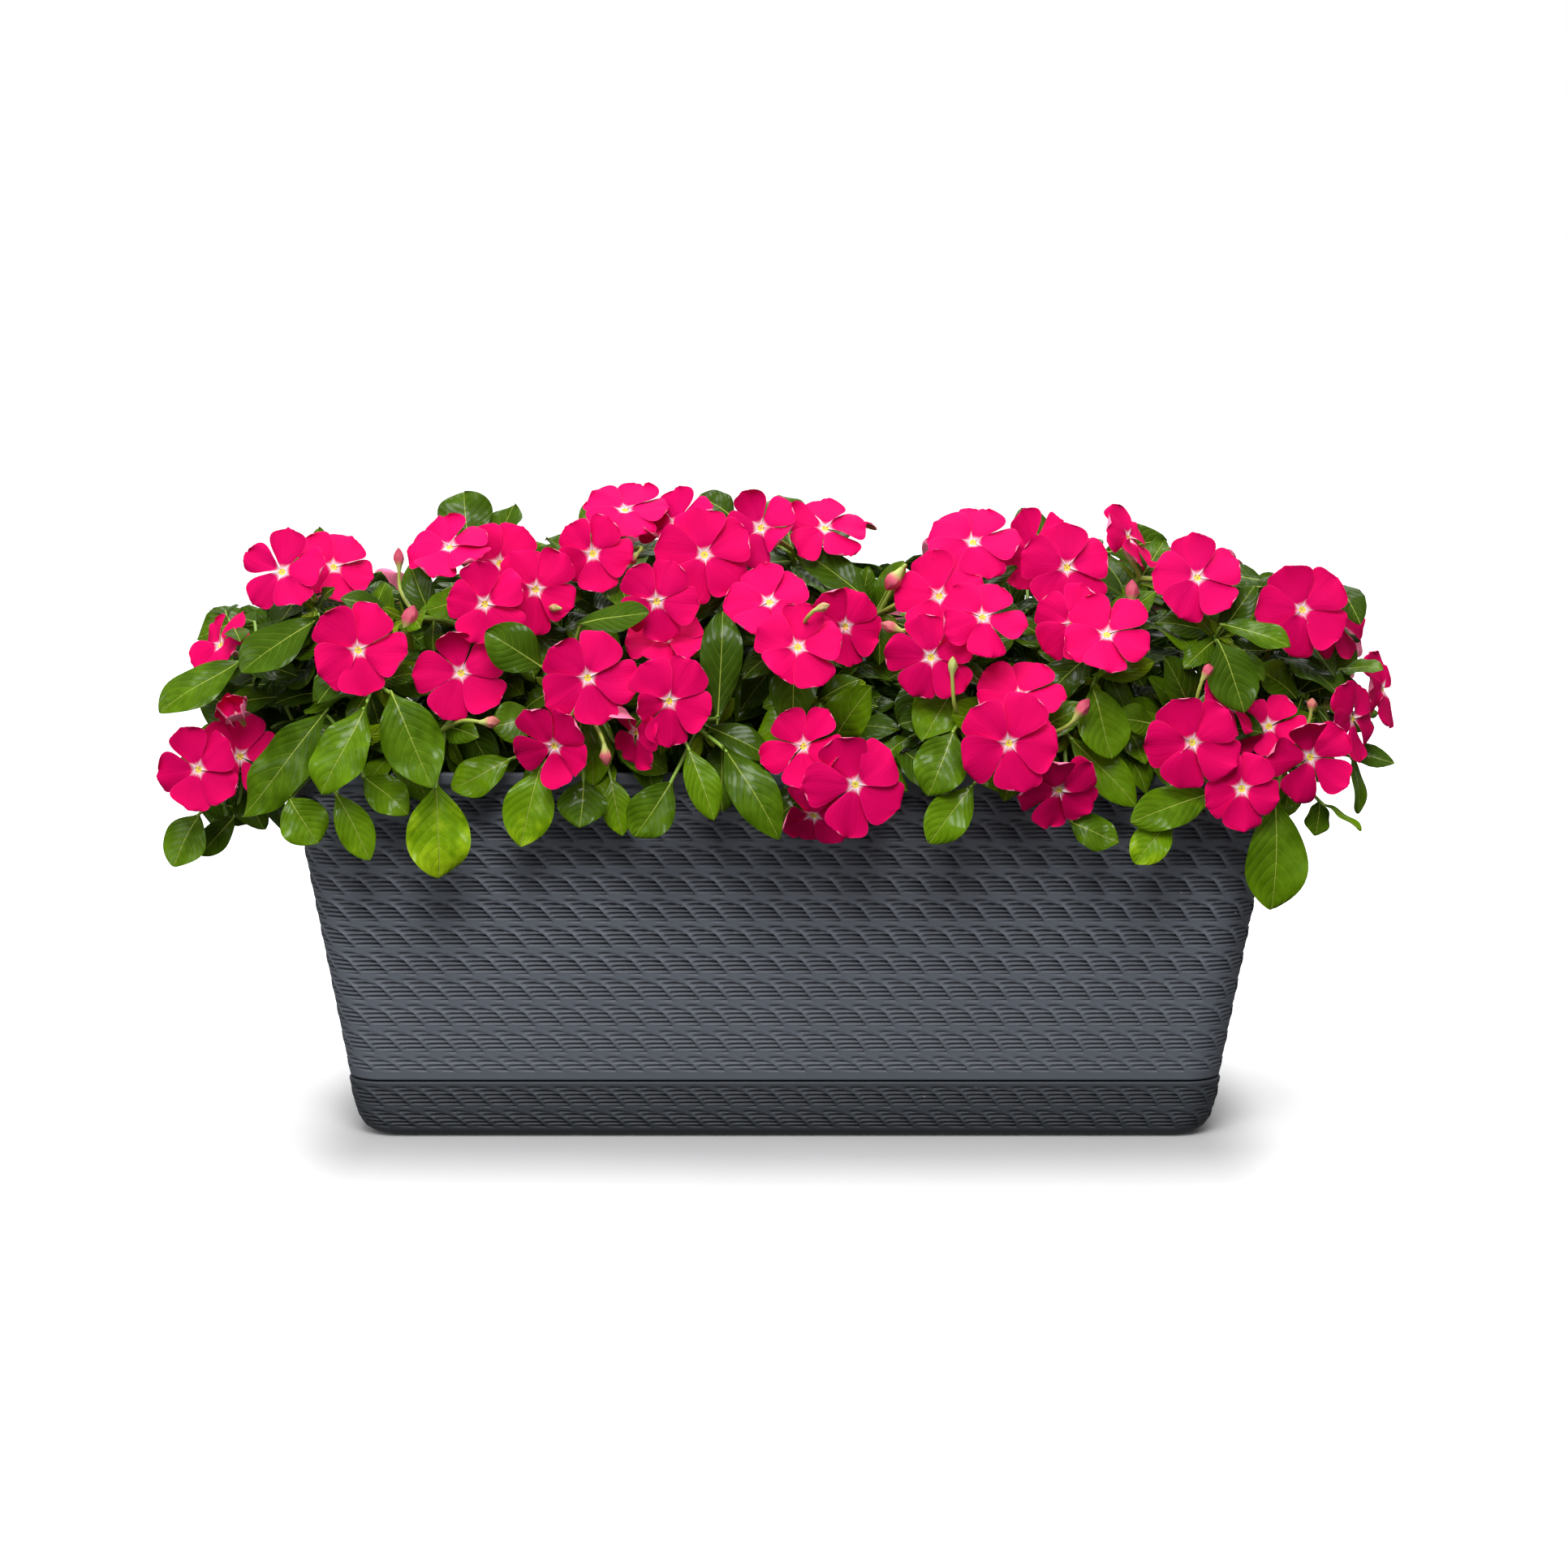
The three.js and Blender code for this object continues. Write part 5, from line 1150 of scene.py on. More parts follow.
@dataclass(frozen=True)
class PeriwinkleLeaf:
    """A thick, glossy leaf: green from lime to bottle green, with a pale midrib and sunken side veins.

    Its waxy skin shows the bright room as a greyish sheen.
    """

    deep: str = "#1b2b09"
    middle: str = "#3c5806"
    bright: str = "#668c06"
    young: str = "#90b010"
    rib: str = "#9db048"
    reverse: str = "#64823c"
    roughness: float = 0.42
    specular: float = 0.03
    wax: float = 0.36
    wax_roughness: float = 0.13
    veins: float = 8.0
    vein_sweep: float = 0.34
    rib_mm: float = 0.45
    vein_depth_mm: float = 0.8
    mottle_mm: float = 9.0

    def material(self) -> bpy.types.Material:
        """Builds the material from the marks along and across each blade.

        Returns:
            The material.
        """
        material, add = start_material("waxy periwinkle leaf")
        place = add("Attribute", attribute_name="place")
        along, side, off = add("SeparateXYZ", [place.outputs["Vector"]]).outputs
        tone = add("Attribute", attribute_name="tone")
        bright, fresh, chance = add("SeparateXYZ", [tone.outputs["Vector"]]).outputs
        here = add("TexCoord").outputs["Object"]
        mottle = add("TexNoise", {"Vector": here, "Scale": 1 / (self.mottle_mm * MM), "Detail": 3})
        # The side veins leave the midrib and sweep towards the tip
        aside = add("Math", [side], operation="ABSOLUTE")
        bend = add("Math", [aside, 1.35], operation="POWER")
        back = add("Math", [bend, -self.vein_sweep, along], operation="MULTIPLY_ADD")
        shifted = add("Math", [back, self.veins, chance], operation="MULTIPLY_ADD")
        part = add("Math", [shifted], operation="FRACT")
        near = add("Math", [part, 0.5], operation="PINGPONG")
        vein = add("MapRange", [near, 0.1, 0.0, 0, 1], interpolation_type="SMOOTHSTEP")
        fade = add("MapRange", [aside, 0.95, 0.5, 0, 0.16])
        veined = add("Math", [vein, fade], operation="MULTIPLY")
        # The midrib narrows towards the tip
        width = add("Math", [along, -0.6 * self.rib_mm, self.rib_mm], operation="MULTIPLY_ADD")
        inside = add("Math", [width, off], operation="SUBTRACT")
        rib = add("MapRange", [inside, -0.25, 0.25, 0, 0.9], interpolation_type="SMOOTHSTEP")
        # Lighter towards the tip; the tone's brightness carries each leaf's painted light and shade
        paler = add("Math", [along, 0.14, bright], operation="MULTIPLY_ADD")
        shade = add("Math", [mottle, 0.34, paler], operation="MULTIPLY_ADD")
        stops = [(0.2, self.deep), (0.62, self.middle), (1.1 / 1.2, self.bright), (1.0, self.young)]
        green = add("ValToRGB", [shade], stops=stops)
        fresher = add("Mix", [fresh, green, self.young], data_type="RGBA")
        lined = add("Mix", [veined, fresher, self.rib], data_type="RGBA")
        ribbed = add("Mix", [rib, lined, self.rib], data_type="RGBA")
        under = add("Attribute", attribute_name="under")
        pale = add("Math", [under.outputs["Fac"], 0.6], operation="MULTIPLY")
        faced = add("Mix", [pale, ribbed, self.reverse], data_type="RGBA")
        # The blade bulges between its sunken veins
        swollen = add("Math", [near, 0.75, mottle], operation="MULTIPLY_ADD")
        sunk = add("Math", [vein, -0.25, swollen], operation="MULTIPLY_ADD")
        relief = add("Math", [sunk, rib], operation="SUBTRACT")
        bump = add("Bump", {"Height": relief, "Strength": 0.7, "Distance": self.vein_depth_mm * MM})
        # The wax is rubbed off in places, so that the highlights are streaks
        patches = add("Math", [near, 0.5, mottle], operation="MULTIPLY_ADD")
        waxed = add("MapRange", [patches, 0.5, 0.85, 0.02, self.wax], interpolation_type="SMOOTHSTEP")
        end_material(add, {
            "Base Color": faced, "Normal": bump, "Coat Weight": waxed, "Roughness": self.roughness,
            "Specular IOR Level": self.specular, "Coat Roughness": self.wax_roughness,
        })
        return material


@dataclass(frozen=True)
class GreenStem:
    """A fleshy green stem, darker and reddish near the soil, with a slight sheen."""

    old: str = "#4a3f22"
    green: str = "#6f9431"
    tip: str = "#8fb545"
    roughness: float = 0.45

    def material(self) -> bpy.types.Material:
        """Builds the material from the share of the way up, which the stalks carry.

        Returns:
            The material.
        """
        material, add = start_material("fleshy green stem")
        age = add("Attribute", attribute_name="freshness")
        stops = [(0.0, self.old), (0.35, self.green), (1.0, self.tip)]
        tint = add("ValToRGB", [age.outputs["Fac"]], stops=stops)
        place = add("TexCoord").outputs["Object"]
        ridges = add("TexNoise", {"Vector": place, "Scale": 1 / (2.5 * MM), "Detail": 2})
        bump = add("Bump", {"Height": ridges, "Strength": 0.4, "Distance": 0.2 * MM})
        end_material(add, {"Base Color": tint, "Normal": bump, "Roughness": self.roughness})
        return material


@dataclass(frozen=True)
class PeriwinklePetal:
    """A soft, matt petal: crimson pink with a white star and a yellow eye, and a pale pink reverse."""

    crimson: str = "#de005c"
    magenta: str = "#c4005e"
    edge: str = "#f0307a"
    star: str = "#fff6fa"
    eye: str = "#f3e052"
    dot: str = "#5a2010"
    reverse: str = "#ff86ac"
    roughness: float = 0.7
    star_mm: float = 0.9
    ray_mm: float = 2.7
    eye_mm: float = 1.9
    specular: float = 0.06

    def material(self) -> bpy.types.Material:
        """Builds the material from the marks that give the distance from the flower's centre in mm.

        Returns:
            The material.
        """
        material, add = start_material("matt periwinkle petal")
        place = add("Attribute", attribute_name="place")
        radius, side, share = add("SeparateXYZ", [place.outputs["Vector"]]).outputs
        tone = add("Attribute", attribute_name="tone")
        hue, _, chance = add("SeparateXYZ", [tone.outputs["Vector"]]).outputs
        # Faint streaks run out along each petal
        across = add("Math", [side, 14, chance], operation="MULTIPLY_ADD")
        streak_place = add("CombineXYZ", {"X": across, "Y": share, "Z": hue})
        streak = add("TexNoise", {"Vector": streak_place, "Scale": 1.0, "Detail": 3})
        # Darker and more magenta towards each petal's base: painted shade
        outer = add("Math", [share, 0.3, hue], operation="MULTIPLY_ADD")
        mixed = add("Math", [streak, 0.6, outer], operation="MULTIPLY_ADD")
        pink = add("ValToRGB", [mixed], stops=[(0.35, self.magenta), (0.95, self.crimson)])
        # The white star reaches out further beside the petals' edges than along their middles
        aside = add("Math", [side], operation="ABSOLUTE")
        power = add("Math", [aside, 2.7], operation="POWER")
        reach = add("Math", [power, self.ray_mm, self.star_mm], operation="MULTIPLY_ADD")
        ragged = add("Math", [streak, 2.0, reach], operation="MULTIPLY_ADD")
        beyond = add("Math", [radius, ragged], operation="SUBTRACT")
        white = add("MapRange", [beyond, 3.1, -1.0, 0, 1], interpolation_type="SMOOTHSTEP")
        starred = add("Mix", [white, pink, self.star], data_type="RGBA")
        span = [radius, self.eye_mm + 0.6, self.eye_mm - 0.2, 0, 1]
        yolk = add("MapRange", span, interpolation_type="SMOOTHSTEP")
        eyed = add("Mix", [yolk, starred, self.eye], data_type="RGBA")
        pupil = add("MapRange", [radius, 0.8, 0.35, 0, 1], interpolation_type="SMOOTHSTEP")
        dotted = add("Mix", [pupil, eyed, self.dot], data_type="RGBA")
        rim = add("MapRange", [aside, 0.95, 1.0, 0, 0.4], interpolation_type="SMOOTHSTEP")
        edged = add("Mix", [rim, dotted, self.edge], data_type="RGBA")
        under = add("Attribute", attribute_name="under")
        faced = add("Mix", [under.outputs["Fac"], edged, self.reverse], data_type="RGBA")
        bump = add("Bump", {"Height": streak, "Strength": 0.6, "Distance": 0.4 * MM})
        end_material(add, {
            "Base Color": faced, "Normal": bump, "Roughness": self.roughness,
            "Specular IOR Level": self.specular,
        })
        return material


@dataclass(frozen=True)
class FlowerTube:
    """The slim tube behind a flower: pale pink at the throat, yellow-green at its foot."""

    throat: str = "#e9a3ae"
    foot: str = "#a3b24c"
    roughness: float = 0.5

    def material(self) -> bpy.types.Material:
        """Builds the material from the share of the way to the throat, which the tubes carry.

        Returns:
            The material.
        """
        material, add = start_material("flower tube")
        age = add("Attribute", attribute_name="freshness")
        stops = [(0.0, self.foot), (0.35, self.foot), (0.8, self.throat)]
        tint = add("ValToRGB", [age.outputs["Fac"]], stops=stops)
        end_material(add, {"Base Color": tint, "Roughness": self.roughness})
        return material


@dataclass(frozen=True)
class PetalBud:
    """A furled bud: dusky pink petals wound round each other over a greenish foot."""

    foot: str = "#b9c46a"
    body: str = "#d7566f"
    fold: str = "#a82b4a"
    roughness: float = 0.6

    def material(self) -> bpy.types.Material:
        """Builds the material from the marks along and round each bud.

        Returns:
            The material.
        """
        material, add = start_material("furled periwinkle bud")
        place = add("Attribute", attribute_name="place")
        along, _, _ = add("SeparateXYZ", [place.outputs["Vector"]]).outputs
        tone = add("Attribute", attribute_name="tone")
        green, _, _ = add("SeparateXYZ", [tone.outputs["Vector"]]).outputs
        stops = [(0.0, self.foot), (0.25, self.foot), (0.5, self.body), (1.0, self.fold)]
        tint = add("ValToRGB", [along], stops=stops)
        raw = add("Mix", [green, tint, self.foot], data_type="RGBA")
        end_material(add, {"Base Color": raw, "Roughness": self.roughness})
        return material


# ------------------------------------------------------------------------------------ how the plants grow


@dataclass(frozen=True)
class PhotoLens:
    """Where the photograph was taken from, and how its pixels turn into rays."""

    origin: tuple[float, float, float] = (0.0, -1900.0, 440.0)
    pitch: float = 7.0
    focal: float = 3763.0
    centre: float = 967.0
    middle: float = 966.0

    def point(self, px: float, py: float, y: float) -> np.ndarray:
        """The point at depth y that the photograph shows at a pixel.

        Args:
            px: The pixel's column.
            py: The pixel's row.
            y: The depth.

        Returns:
            The point.
        """
        right = (px - self.centre) / self.focal
        down = (py - self.middle) / self.focal
        pitch = math.radians(self.pitch)
        ray = np.array(
            [right, math.cos(pitch) - down * math.sin(pitch), -math.sin(pitch) - down * math.cos(pitch)]
        )
        return np.array(self.origin) + ray * ((y - self.origin[1]) / ray[1])


LENS = PhotoLens()


@dataclass
class Bloom:
    """One open flower: its centre, its face and the directions across it."""

    centre: np.ndarray
    turn: float
    tilt: float
    roll: float
    across: float

    def __post_init__(self) -> None:
        """Works out the face's directions."""
        self.face = facing(self.turn, self.tilt)
        self.side, self.up = square_to(self.face)
        self.radius = self.across / 2


@dataclass
class Cluster:
    """The flowers that share a seat at a shoot's tip."""

    blooms: list[Bloom]
    tube: float = 26.0

    def __post_init__(self) -> None:
        """Works out the shared seat and the way the cluster points."""
        count = len(self.blooms)
        self.seat = sum(b.centre - b.face * self.tube for b in self.blooms) / count
        self.aim = unit(sum(b.face for b in self.blooms))


@dataclass
class Leaf:
    """One leaf: its root in the stalk, and a blade on an arched midrib."""

    root: np.ndarray
    base: np.ndarray
    along: np.ndarray
    face: np.ndarray
    length: float
    width: float
    arch: float

    def midrib(self, t: float) -> tuple[np.ndarray, np.ndarray]:
        """The midrib's point and the way its upper face looks, at a share of its length.

        Args:
            t: The share.

        Returns:
            The point and the way.
        """
        bend = self.arch * t
        point = self.base + self.along * (self.length * math.sin(bend) / self.arch)
        point = point - self.face * (self.length * (1 - math.cos(bend)) / self.arch)
        return point, self.face * math.cos(bend) + self.along * math.sin(bend)


class LeafKind(Enum):
    """Where a leaf comes from: the steps along and across its blade, and how much it waves."""

    SEEN = (22, 12, 0.8)
    GROWN = (20, 12, 1.0)
    INNER = (12, 8, 0.9)
    SHADE = (9, 6, 0.8)
    YOUNG = (8, 6, 0.5)


@dataclass
class Growth:
    """How the stems, their stalks and their leaves grow. It repeats the part's source."""

    crown_spacing: float = 116.0
    plant_count: int = 5
    soil_crown: float = 209.0
    hole_depth: float = 22.0
    root_ring: float = 10.0
    fork_share: float = 0.45
    fork_lift: float = 12.0
    lowest_fork: float = 252.0
    straight_root: float = 12.0
    straight_fork: float = 14.0
    from_fork: float = 0.3
    to_tip: float = 0.35
    shoot_arch: float = 0.25
    receptacle: float = 3.3
    seat_spacing: float = 8.0
    seen_arch: float = 0.35
    arch_stretch: float = 1.005
    canopy_half: tuple[float, float, float] = (385.0, 172.0, 190.0)
    canopy_middle: float = 215.0
    canopy_bias: float = 0.002

    def __post_init__(self) -> None:
        """Makes the clusters and plants the stems."""
        self.clusters: dict[str, Cluster] = {}
        for name, rows in FRONT_CLUSTERS.items():
            self.clusters[name] = Cluster([Bloom(LENS.point(*row[:3]), *row[3:]) for row in rows])
        for name, rows in BACK_CLUSTERS.items():
            self.clusters[name] = Cluster([Bloom(np.array(row[:3], float), *row[3:]) for row in rows])
        for name, order, turn, tilt in TURNED_BLOOMS:
            blooms = self.clusters[name].blooms
            blooms[order] = replace(blooms[order], turn=turn, tilt=tilt)
        self.roots = self.stem_roots()
        self.handles = {name: self.stem_handles(name) for name in STEMS}
        curves = [h for main, branches, leafy in self.handles.values() for h in (main, *branches, *leafy)]
        self.stalk_points = np.concatenate([bezier(handles, 12)[2:] for handles in curves])

    def goal(self, name: str) -> np.ndarray:
        """The middle of a stem's clusters, which it grows towards."""
        carries = STEMS[name][1]
        return sum(self.clusters[cluster].seat / len(carries) for cluster in carries)

    def stem_roots(self) -> dict[str, np.ndarray]:
        """Where each stem leaves the soil: round its plant's crown, in the order that the stems fan out.

        Returns:
            Each stem's root.
        """
        roots = {}
        for plant in range(self.plant_count):
            crown = np.array([(plant - (self.plant_count - 1) / 2) * self.crown_spacing, 0, self.soil_crown])
            fan = []
            for name in (n for n, stem in STEMS.items() if stem[0] == plant):
                way = self.goal(name) - crown
                fan.append((math.atan2(way[1], way[0]), name))
            fan.sort(key=lambda entry: entry[0])
            step = 2 * math.pi / len(fan)
            leans = [a - i * step for i, (a, _) in enumerate(fan)]
            lean = sum(np.array([math.cos(a), math.sin(a)]) for a in leans)
            for i, (_, name) in enumerate(fan):
                angle = math.atan2(lean[1], lean[0]) + i * step
                roots[name] = crown + self.root_ring * np.array([math.cos(angle), math.sin(angle), 0])
        return roots

    def stem_handles(self, name: str) -> tuple[list, list[list], list[list]]:
        """The Bezier handles of a stem's main stalk, of its branches and of its leafy shoots.

        Args:
            name: The stem.

        Returns:
            The main stalk's handles, and a list for each branch and shoot.
        """
        _, carries, shoots = STEMS[name]
        root, goal = self.roots[name], self.goal(name)
        fork = root + (goal - root) * self.fork_share
        fork[2] = max((self.soil_crown + goal[2]) / 2 + self.fork_lift, self.lowest_fork)
        rise = unit(fork - root)
        main = [
            np.array([root[0], root[1], self.soil_crown - self.hole_depth]),
            np.array([root[0], root[1], self.soil_crown + self.straight_root]),
            fork - rise * self.straight_fork,
            fork,
        ]
        branches = []
        for cluster in (self.clusters[c] for c in carries):
            reach = cluster.seat - fork
            distance = float(np.linalg.norm(reach))
            finish = unit(cluster.aim * 0.8 + unit(reach) * 0.6 + UP * 0.25)
            tip = cluster.seat - cluster.aim * self.receptacle
            leaving = fork + rise * distance * self.from_fork
            branches.append([fork, leaving, tip - finish * distance * self.to_tip, tip])
        leafy = []
        for shoot in shoots:
            tip = LENS.point(*shoot)
            knee = (tip + fork) / 2 + UP * (float(np.linalg.norm(tip - fork)) * self.shoot_arch)
            leafy.append([fork, knee, tip])
        return main, branches, leafy

    def nearest_stalk(self, point: np.ndarray) -> np.ndarray:
        """The point of any stalk that is nearest to a point."""
        return self.stalk_points[int(np.argmin(np.linalg.norm(self.stalk_points - point, axis=1)))]

    def light_at(self, point: np.ndarray) -> np.ndarray:
        """The direction from the canopy's middle out through a point, which leaves turn their faces to."""
        a, b, c = self.canopy_half
        lift = (point[2] - self.canopy_middle) / c**2 + self.canopy_bias
        return unit(np.array([point[0] / a**2, point[1] / b**2, lift]))

    def seen_leaf(self, entry: Sequence[float], depth: float) -> Leaf:
        """A leaf of the photograph, moved away from the eye by depth.

        Args:
            entry: Its row of the table.
            depth: How far it is moved.

        Returns:
            The leaf.
        """
        px, py, y, tip_px, tip_py, tip_y, width, turn, tilt = entry
        base = LENS.point(px, py, y + depth)
        chord = LENS.point(tip_px, tip_py, tip_y + depth) - base
        straight = unit(chord)
        face = squared(facing(turn, tilt), straight)
        along = straight * math.cos(self.seen_arch / 2) + face * math.sin(self.seen_arch / 2)
        length = float(np.linalg.norm(chord)) * self.arch_stretch
        return Leaf(base, base, along, squared(face, along), length, width, self.seen_arch)

    def grown_leaf(
        self, point: np.ndarray, tangent: np.ndarray, spin: float, length: float, way: Sequence[float],
        draw: Callable[[], float],
    ) -> Leaf:
        """A leaf that grows from a stalk at a point, in one of the ways that it may turn, sink and shrink.

        Args:
            point: Where it grows.
            tangent: The stalk's direction there.
            spin: Its place round the stalk, in degrees.
            length: Its length before it shrinks.
            way: The turn, the sinking and the shrinking.
            draw: Gives the random numbers.

        Returns:
            The leaf.
        """
        side, up = square_to(tangent)
        turn, sink, share = way
        angle = math.radians(spin + turn) + (draw() - 0.5) * 0.5
        along = side * math.cos(angle) + up * math.sin(angle) + tangent * 0.45 + self.light_at(point) * 0.35
        along[2] -= 0.18 + sink
        along = unit(along)
        size = length * share * (0.9 + 0.2 * draw())
        face = squared(self.light_at(point) + tangent * 0.25, along)
        arch = 0.4 + 0.5 * draw()
        return Leaf(point, point, along, face, size, size * 0.5 * (0.94 + 0.14 * draw()), arch)


def park_miller(seed: int) -> Callable[[], float]:
    """A repeatable draw from 0 to 1, as the part's source has it.

    Args:
        seed: Where it starts.

    Returns:
        The function that draws.
    """
    state = seed

    def draw() -> float:
        """The next number."""
        nonlocal state
        state = state * 48271 % 2147483647
        return state / 2147483647

    return draw


# The ways that a leaf may turn, in degrees, sink and shrink until it fits
RETRIES: list[Row] = [(0, 0, 1), (28, 0.15, 0.95), (-28, -0.15, 0.95), (50, 0.3, 0.85), (-50, 0.1, 0.8)]


@dataclass
class Foliage:
    """The leafy stems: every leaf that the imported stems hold, more in the shade, and the young leaves."""

    growth: Growth
    leaf: bpy.types.Material
    stem: bpy.types.Material
    depths: tuple[float, ...] = (0, 8, -8, 16, -16, 24)
    rim_leaves: int = 170
    tolerance: float = 0.08
    fold: float = 0.26
    fold_back: float = 0.14
    thickness: float = 0.55

    def __post_init__(self) -> None:
        """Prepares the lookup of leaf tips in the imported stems, and of everything that leaves must clear."""
        corners = [(name, v.co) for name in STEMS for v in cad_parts[f"stem_{name}"].data.vertices]
        self.owners = [name for name, _ in corners]
        self.tips = KDTree(len(corners))
        for i, (_, corner) in enumerate(corners):
            self.tips.insert(corner, i)
        self.tips.balance()
        self.solid = self.packed_surface()
        self.leaves: dict[str, list[tuple[Leaf, LeafKind]]] = {name: [] for name in [*STEMS, "rim", "shade"]}
        self.inner: list[tuple[np.ndarray, np.ndarray, BVHTree]] = []

    @staticmethod
    def packed_surface() -> BVHTree:
        """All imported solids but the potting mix, as one surface to test new leaves against.

        Returns:
            The surface.
        """
        points, faces = [], []
        for name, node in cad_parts.items():
            if name == "potting_mix":
                continue
            first = len(points)
            points += [v.co / MM for v in node.data.vertices]
            faces += [[first + i for i in face.vertices] for face in node.data.polygons]
        return BVHTree.FromPolygons(points, faces)

    def owner(self, leaf: Leaf) -> str | None:
        """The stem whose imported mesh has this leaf's tip, if any has."""
        _, index, distance = self.tips.find(Vector(leaf.midrib(1)[0] * MM))
        return self.owners[index] if distance < self.tolerance * MM else None

    def find_packed_leaves(self) -> None:
        """Finds which of the source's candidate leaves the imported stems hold."""
        growth = self.growth
        polylines = {
            name: [bezier(main, 3), [bezier(b, 4) for b in branches], [bezier(s, 3) for s in leafy]]
            for name, (main, branches, leafy) in growth.handles.items()
        }
        seats = {}
        for name, (_, branches, leafy) in polylines.items():
            seats[name] = []
            for nodes in leafy + branches:
                for a, b in zip(nodes, nodes[1:]):
                    count = int(np.linalg.norm(b - a) // growth.seat_spacing)
                    seats[name] += [a + (b - a) * ((i + 0.5) / count) for i in range(count)]
        for entry in SEEN_LEAVES:
            for depth in self.depths:
                leaf = growth.seen_leaf(entry, depth)
                name = self.owner(leaf)
                if name is None:
                    continue
                distances = [float(np.linalg.norm(seat - leaf.base)) for seat in seats[name]]
                leaf.root = seats[name].pop(int(np.argmin(distances)))
                self.leaves[name].append((leaf, LeafKind.SEEN))
                break
            else:
                LOG.warning("no packed leaf for %s", entry)
        for stem_index, (name, (main, branches, _)) in enumerate(polylines.items()):
            side = name[2:]
            is_back = side in ("back", "rear")
            pairs = [(main, 2, 64)] if is_back else []
            for nodes in branches:
                if is_back:
                    pairs += [(nodes, 1, 64), (nodes, 3, 56)]
                elif side == "crest":
                    pairs += [(nodes, 1, 62), (nodes, 3, 56)]
                else:
                    pairs += [(nodes, 2, 60)]
            for pair_index, (nodes, stretch, length) in enumerate(pairs):
                point = (nodes[stretch] + nodes[stretch + 1]) / 2
                tangent = unit(nodes[stretch + 1] - nodes[stretch])
                for half in (0, 1):
                    spin = half * 180 + stretch // 2 * 90
                    seed = 1 + stem_index * 1000 + pair_index * 40 + half * 20
                    for way_index, way in enumerate(RETRIES):
                        draw = park_miller(seed + way_index)
                        draw()
                        leaf = growth.grown_leaf(point, tangent, spin, length, way, draw)
                        if self.owner(leaf) == name:
                            self.leaves[name].append((leaf, LeafKind.GROWN))
                            break
        found = [kind for group in self.leaves.values() for _, kind in group]
        LOG.info("packed leaves found: %d seen, %d grown", found.count(LeafKind.SEEN), found.count(LeafKind.GROWN))

    def trial(self, leaf: Leaf, clear: float) -> tuple[np.ndarray, np.ndarray, BVHTree]:
        """A leaf's rough blade, thickened for clearance: its lowest and highest corner, and its surface.

        Args:
            leaf: The leaf.
            clear: The clearance.

        Returns:
            The corners and the surface.
        """
        side = np.cross(leaf.along, leaf.face)
        rows = []
        for t, share in ((0.2, 0.3), (0.45, 0.95), (0.75, 0.85), (1.0, 0.1)):
            point, up = leaf.midrib(t)
            half = leaf.width * share / 2 + clear / 2
            fold = up * half * 0.25
            right, left = point + side * half + fold, point - side * half + fold
            rows.append([right, point + up * clear, left, point - up * clear])
        points = np.array(rows).reshape(-1, 3)
        faces = []
        for first in (0, 4, 8):
            for i, after in ((0, 1), (1, 2), (2, 3), (3, 0)):
                faces.append((first + i, first + after, first + 4 + after, first + 4 + i))
        return points.min(0), points.max(0), BVHTree.FromPolygons([Vector(p) for p in points], faces)

    def is_clear(self, low: np.ndarray, high: np.ndarray, surface: BVHTree) -> bool:
        """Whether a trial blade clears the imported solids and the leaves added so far.

        Args:
            low: The blade's lowest corner.
            high: Its highest corner.
            surface: Its surface.

        Returns:
            Whether it touches nothing.
        """
        if surface.overlap(self.solid):
            return False
        for other_low, other_high, other in self.inner:
            if np.all(low <= other_high) and np.all(other_low <= high) and surface.overlap(other):
                return False
        return True

    def add_inner_leaves(self) -> None:
        """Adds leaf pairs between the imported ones, wherever there is room, mostly in the shade."""
        rng = random.Random(7)
        added = 0
        steps = 50
        for name, (main, branches, leafy) in self.growth.handles.items():
            plans = [(main, (0.45, 0.6, 0.75, 0.9), 50)]
            plans += [(nodes, (0.1, 0.24, 0.38, 0.5, 0.64, 0.78, 0.92), 46) for nodes in branches]
            plans += [(nodes, (0.2, 0.4, 0.6, 0.8, 0.96), 40) for nodes in leafy]
            for handles, places, length in plans:
                nodes = bezier(handles, steps)
                for order, place in enumerate(places):
                    index = int(place * steps)
                    tangent = unit(nodes[index + 1] - nodes[index])
                    for half in (0, 1):
                        for shrink in (1.0, 0.8, 0.62, 0.48):
                            way = (rng.uniform(-40, 40), rng.uniform(-0.2, 0.3), shrink)
                            spin = half * 180 + order * 90 + 45
                            leaf = self.growth.grown_leaf(nodes[index], tangent, spin, length, way, rng.random)
                            trial = self.trial(leaf, 1.6)
                            if self.is_clear(*trial):
                                self.inner.append(trial)
                                self.leaves[name].append((leaf, LeafKind.INNER))
                                added += 1
                                break
        LOG.info("inner leaves added: %d", added)

    def add_leaf_if_clear(self, leaf: Leaf, kind: LeafKind, clear: float) -> bool:
        """Adds a leaf if it clears everything, on the stem whose stalk is nearest to its base.

        Args:
            leaf: The leaf.
            kind: Where it comes from.
            clear: The clearance.

        Returns:
            Whether it was added.
        """
        trial = self.trial(leaf, clear)
        low, high = np.array(CAD_BOX) / MM
        under = np.any(np.minimum(trial[0], leaf.base) < low + 1)
        if under or np.any(np.maximum(trial[1], leaf.base) > high - 1) or not self.is_clear(*trial):
            return False
        self.inner.append(trial)
        leaf.root = self.growth.nearest_stalk(leaf.base)
        self.leaves["shade" if kind is LeafKind.SHADE else "rim"].append((leaf, kind))
        return True

    def add_rim_leaves(self) -> None:
        """Adds the leaves that hang over the planter's rim, all the way round it."""
        rng = random.Random(29)
        added = 0
        for step in range(self.rim_leaves):
            angle = 2 * math.pi * step / self.rim_leaves
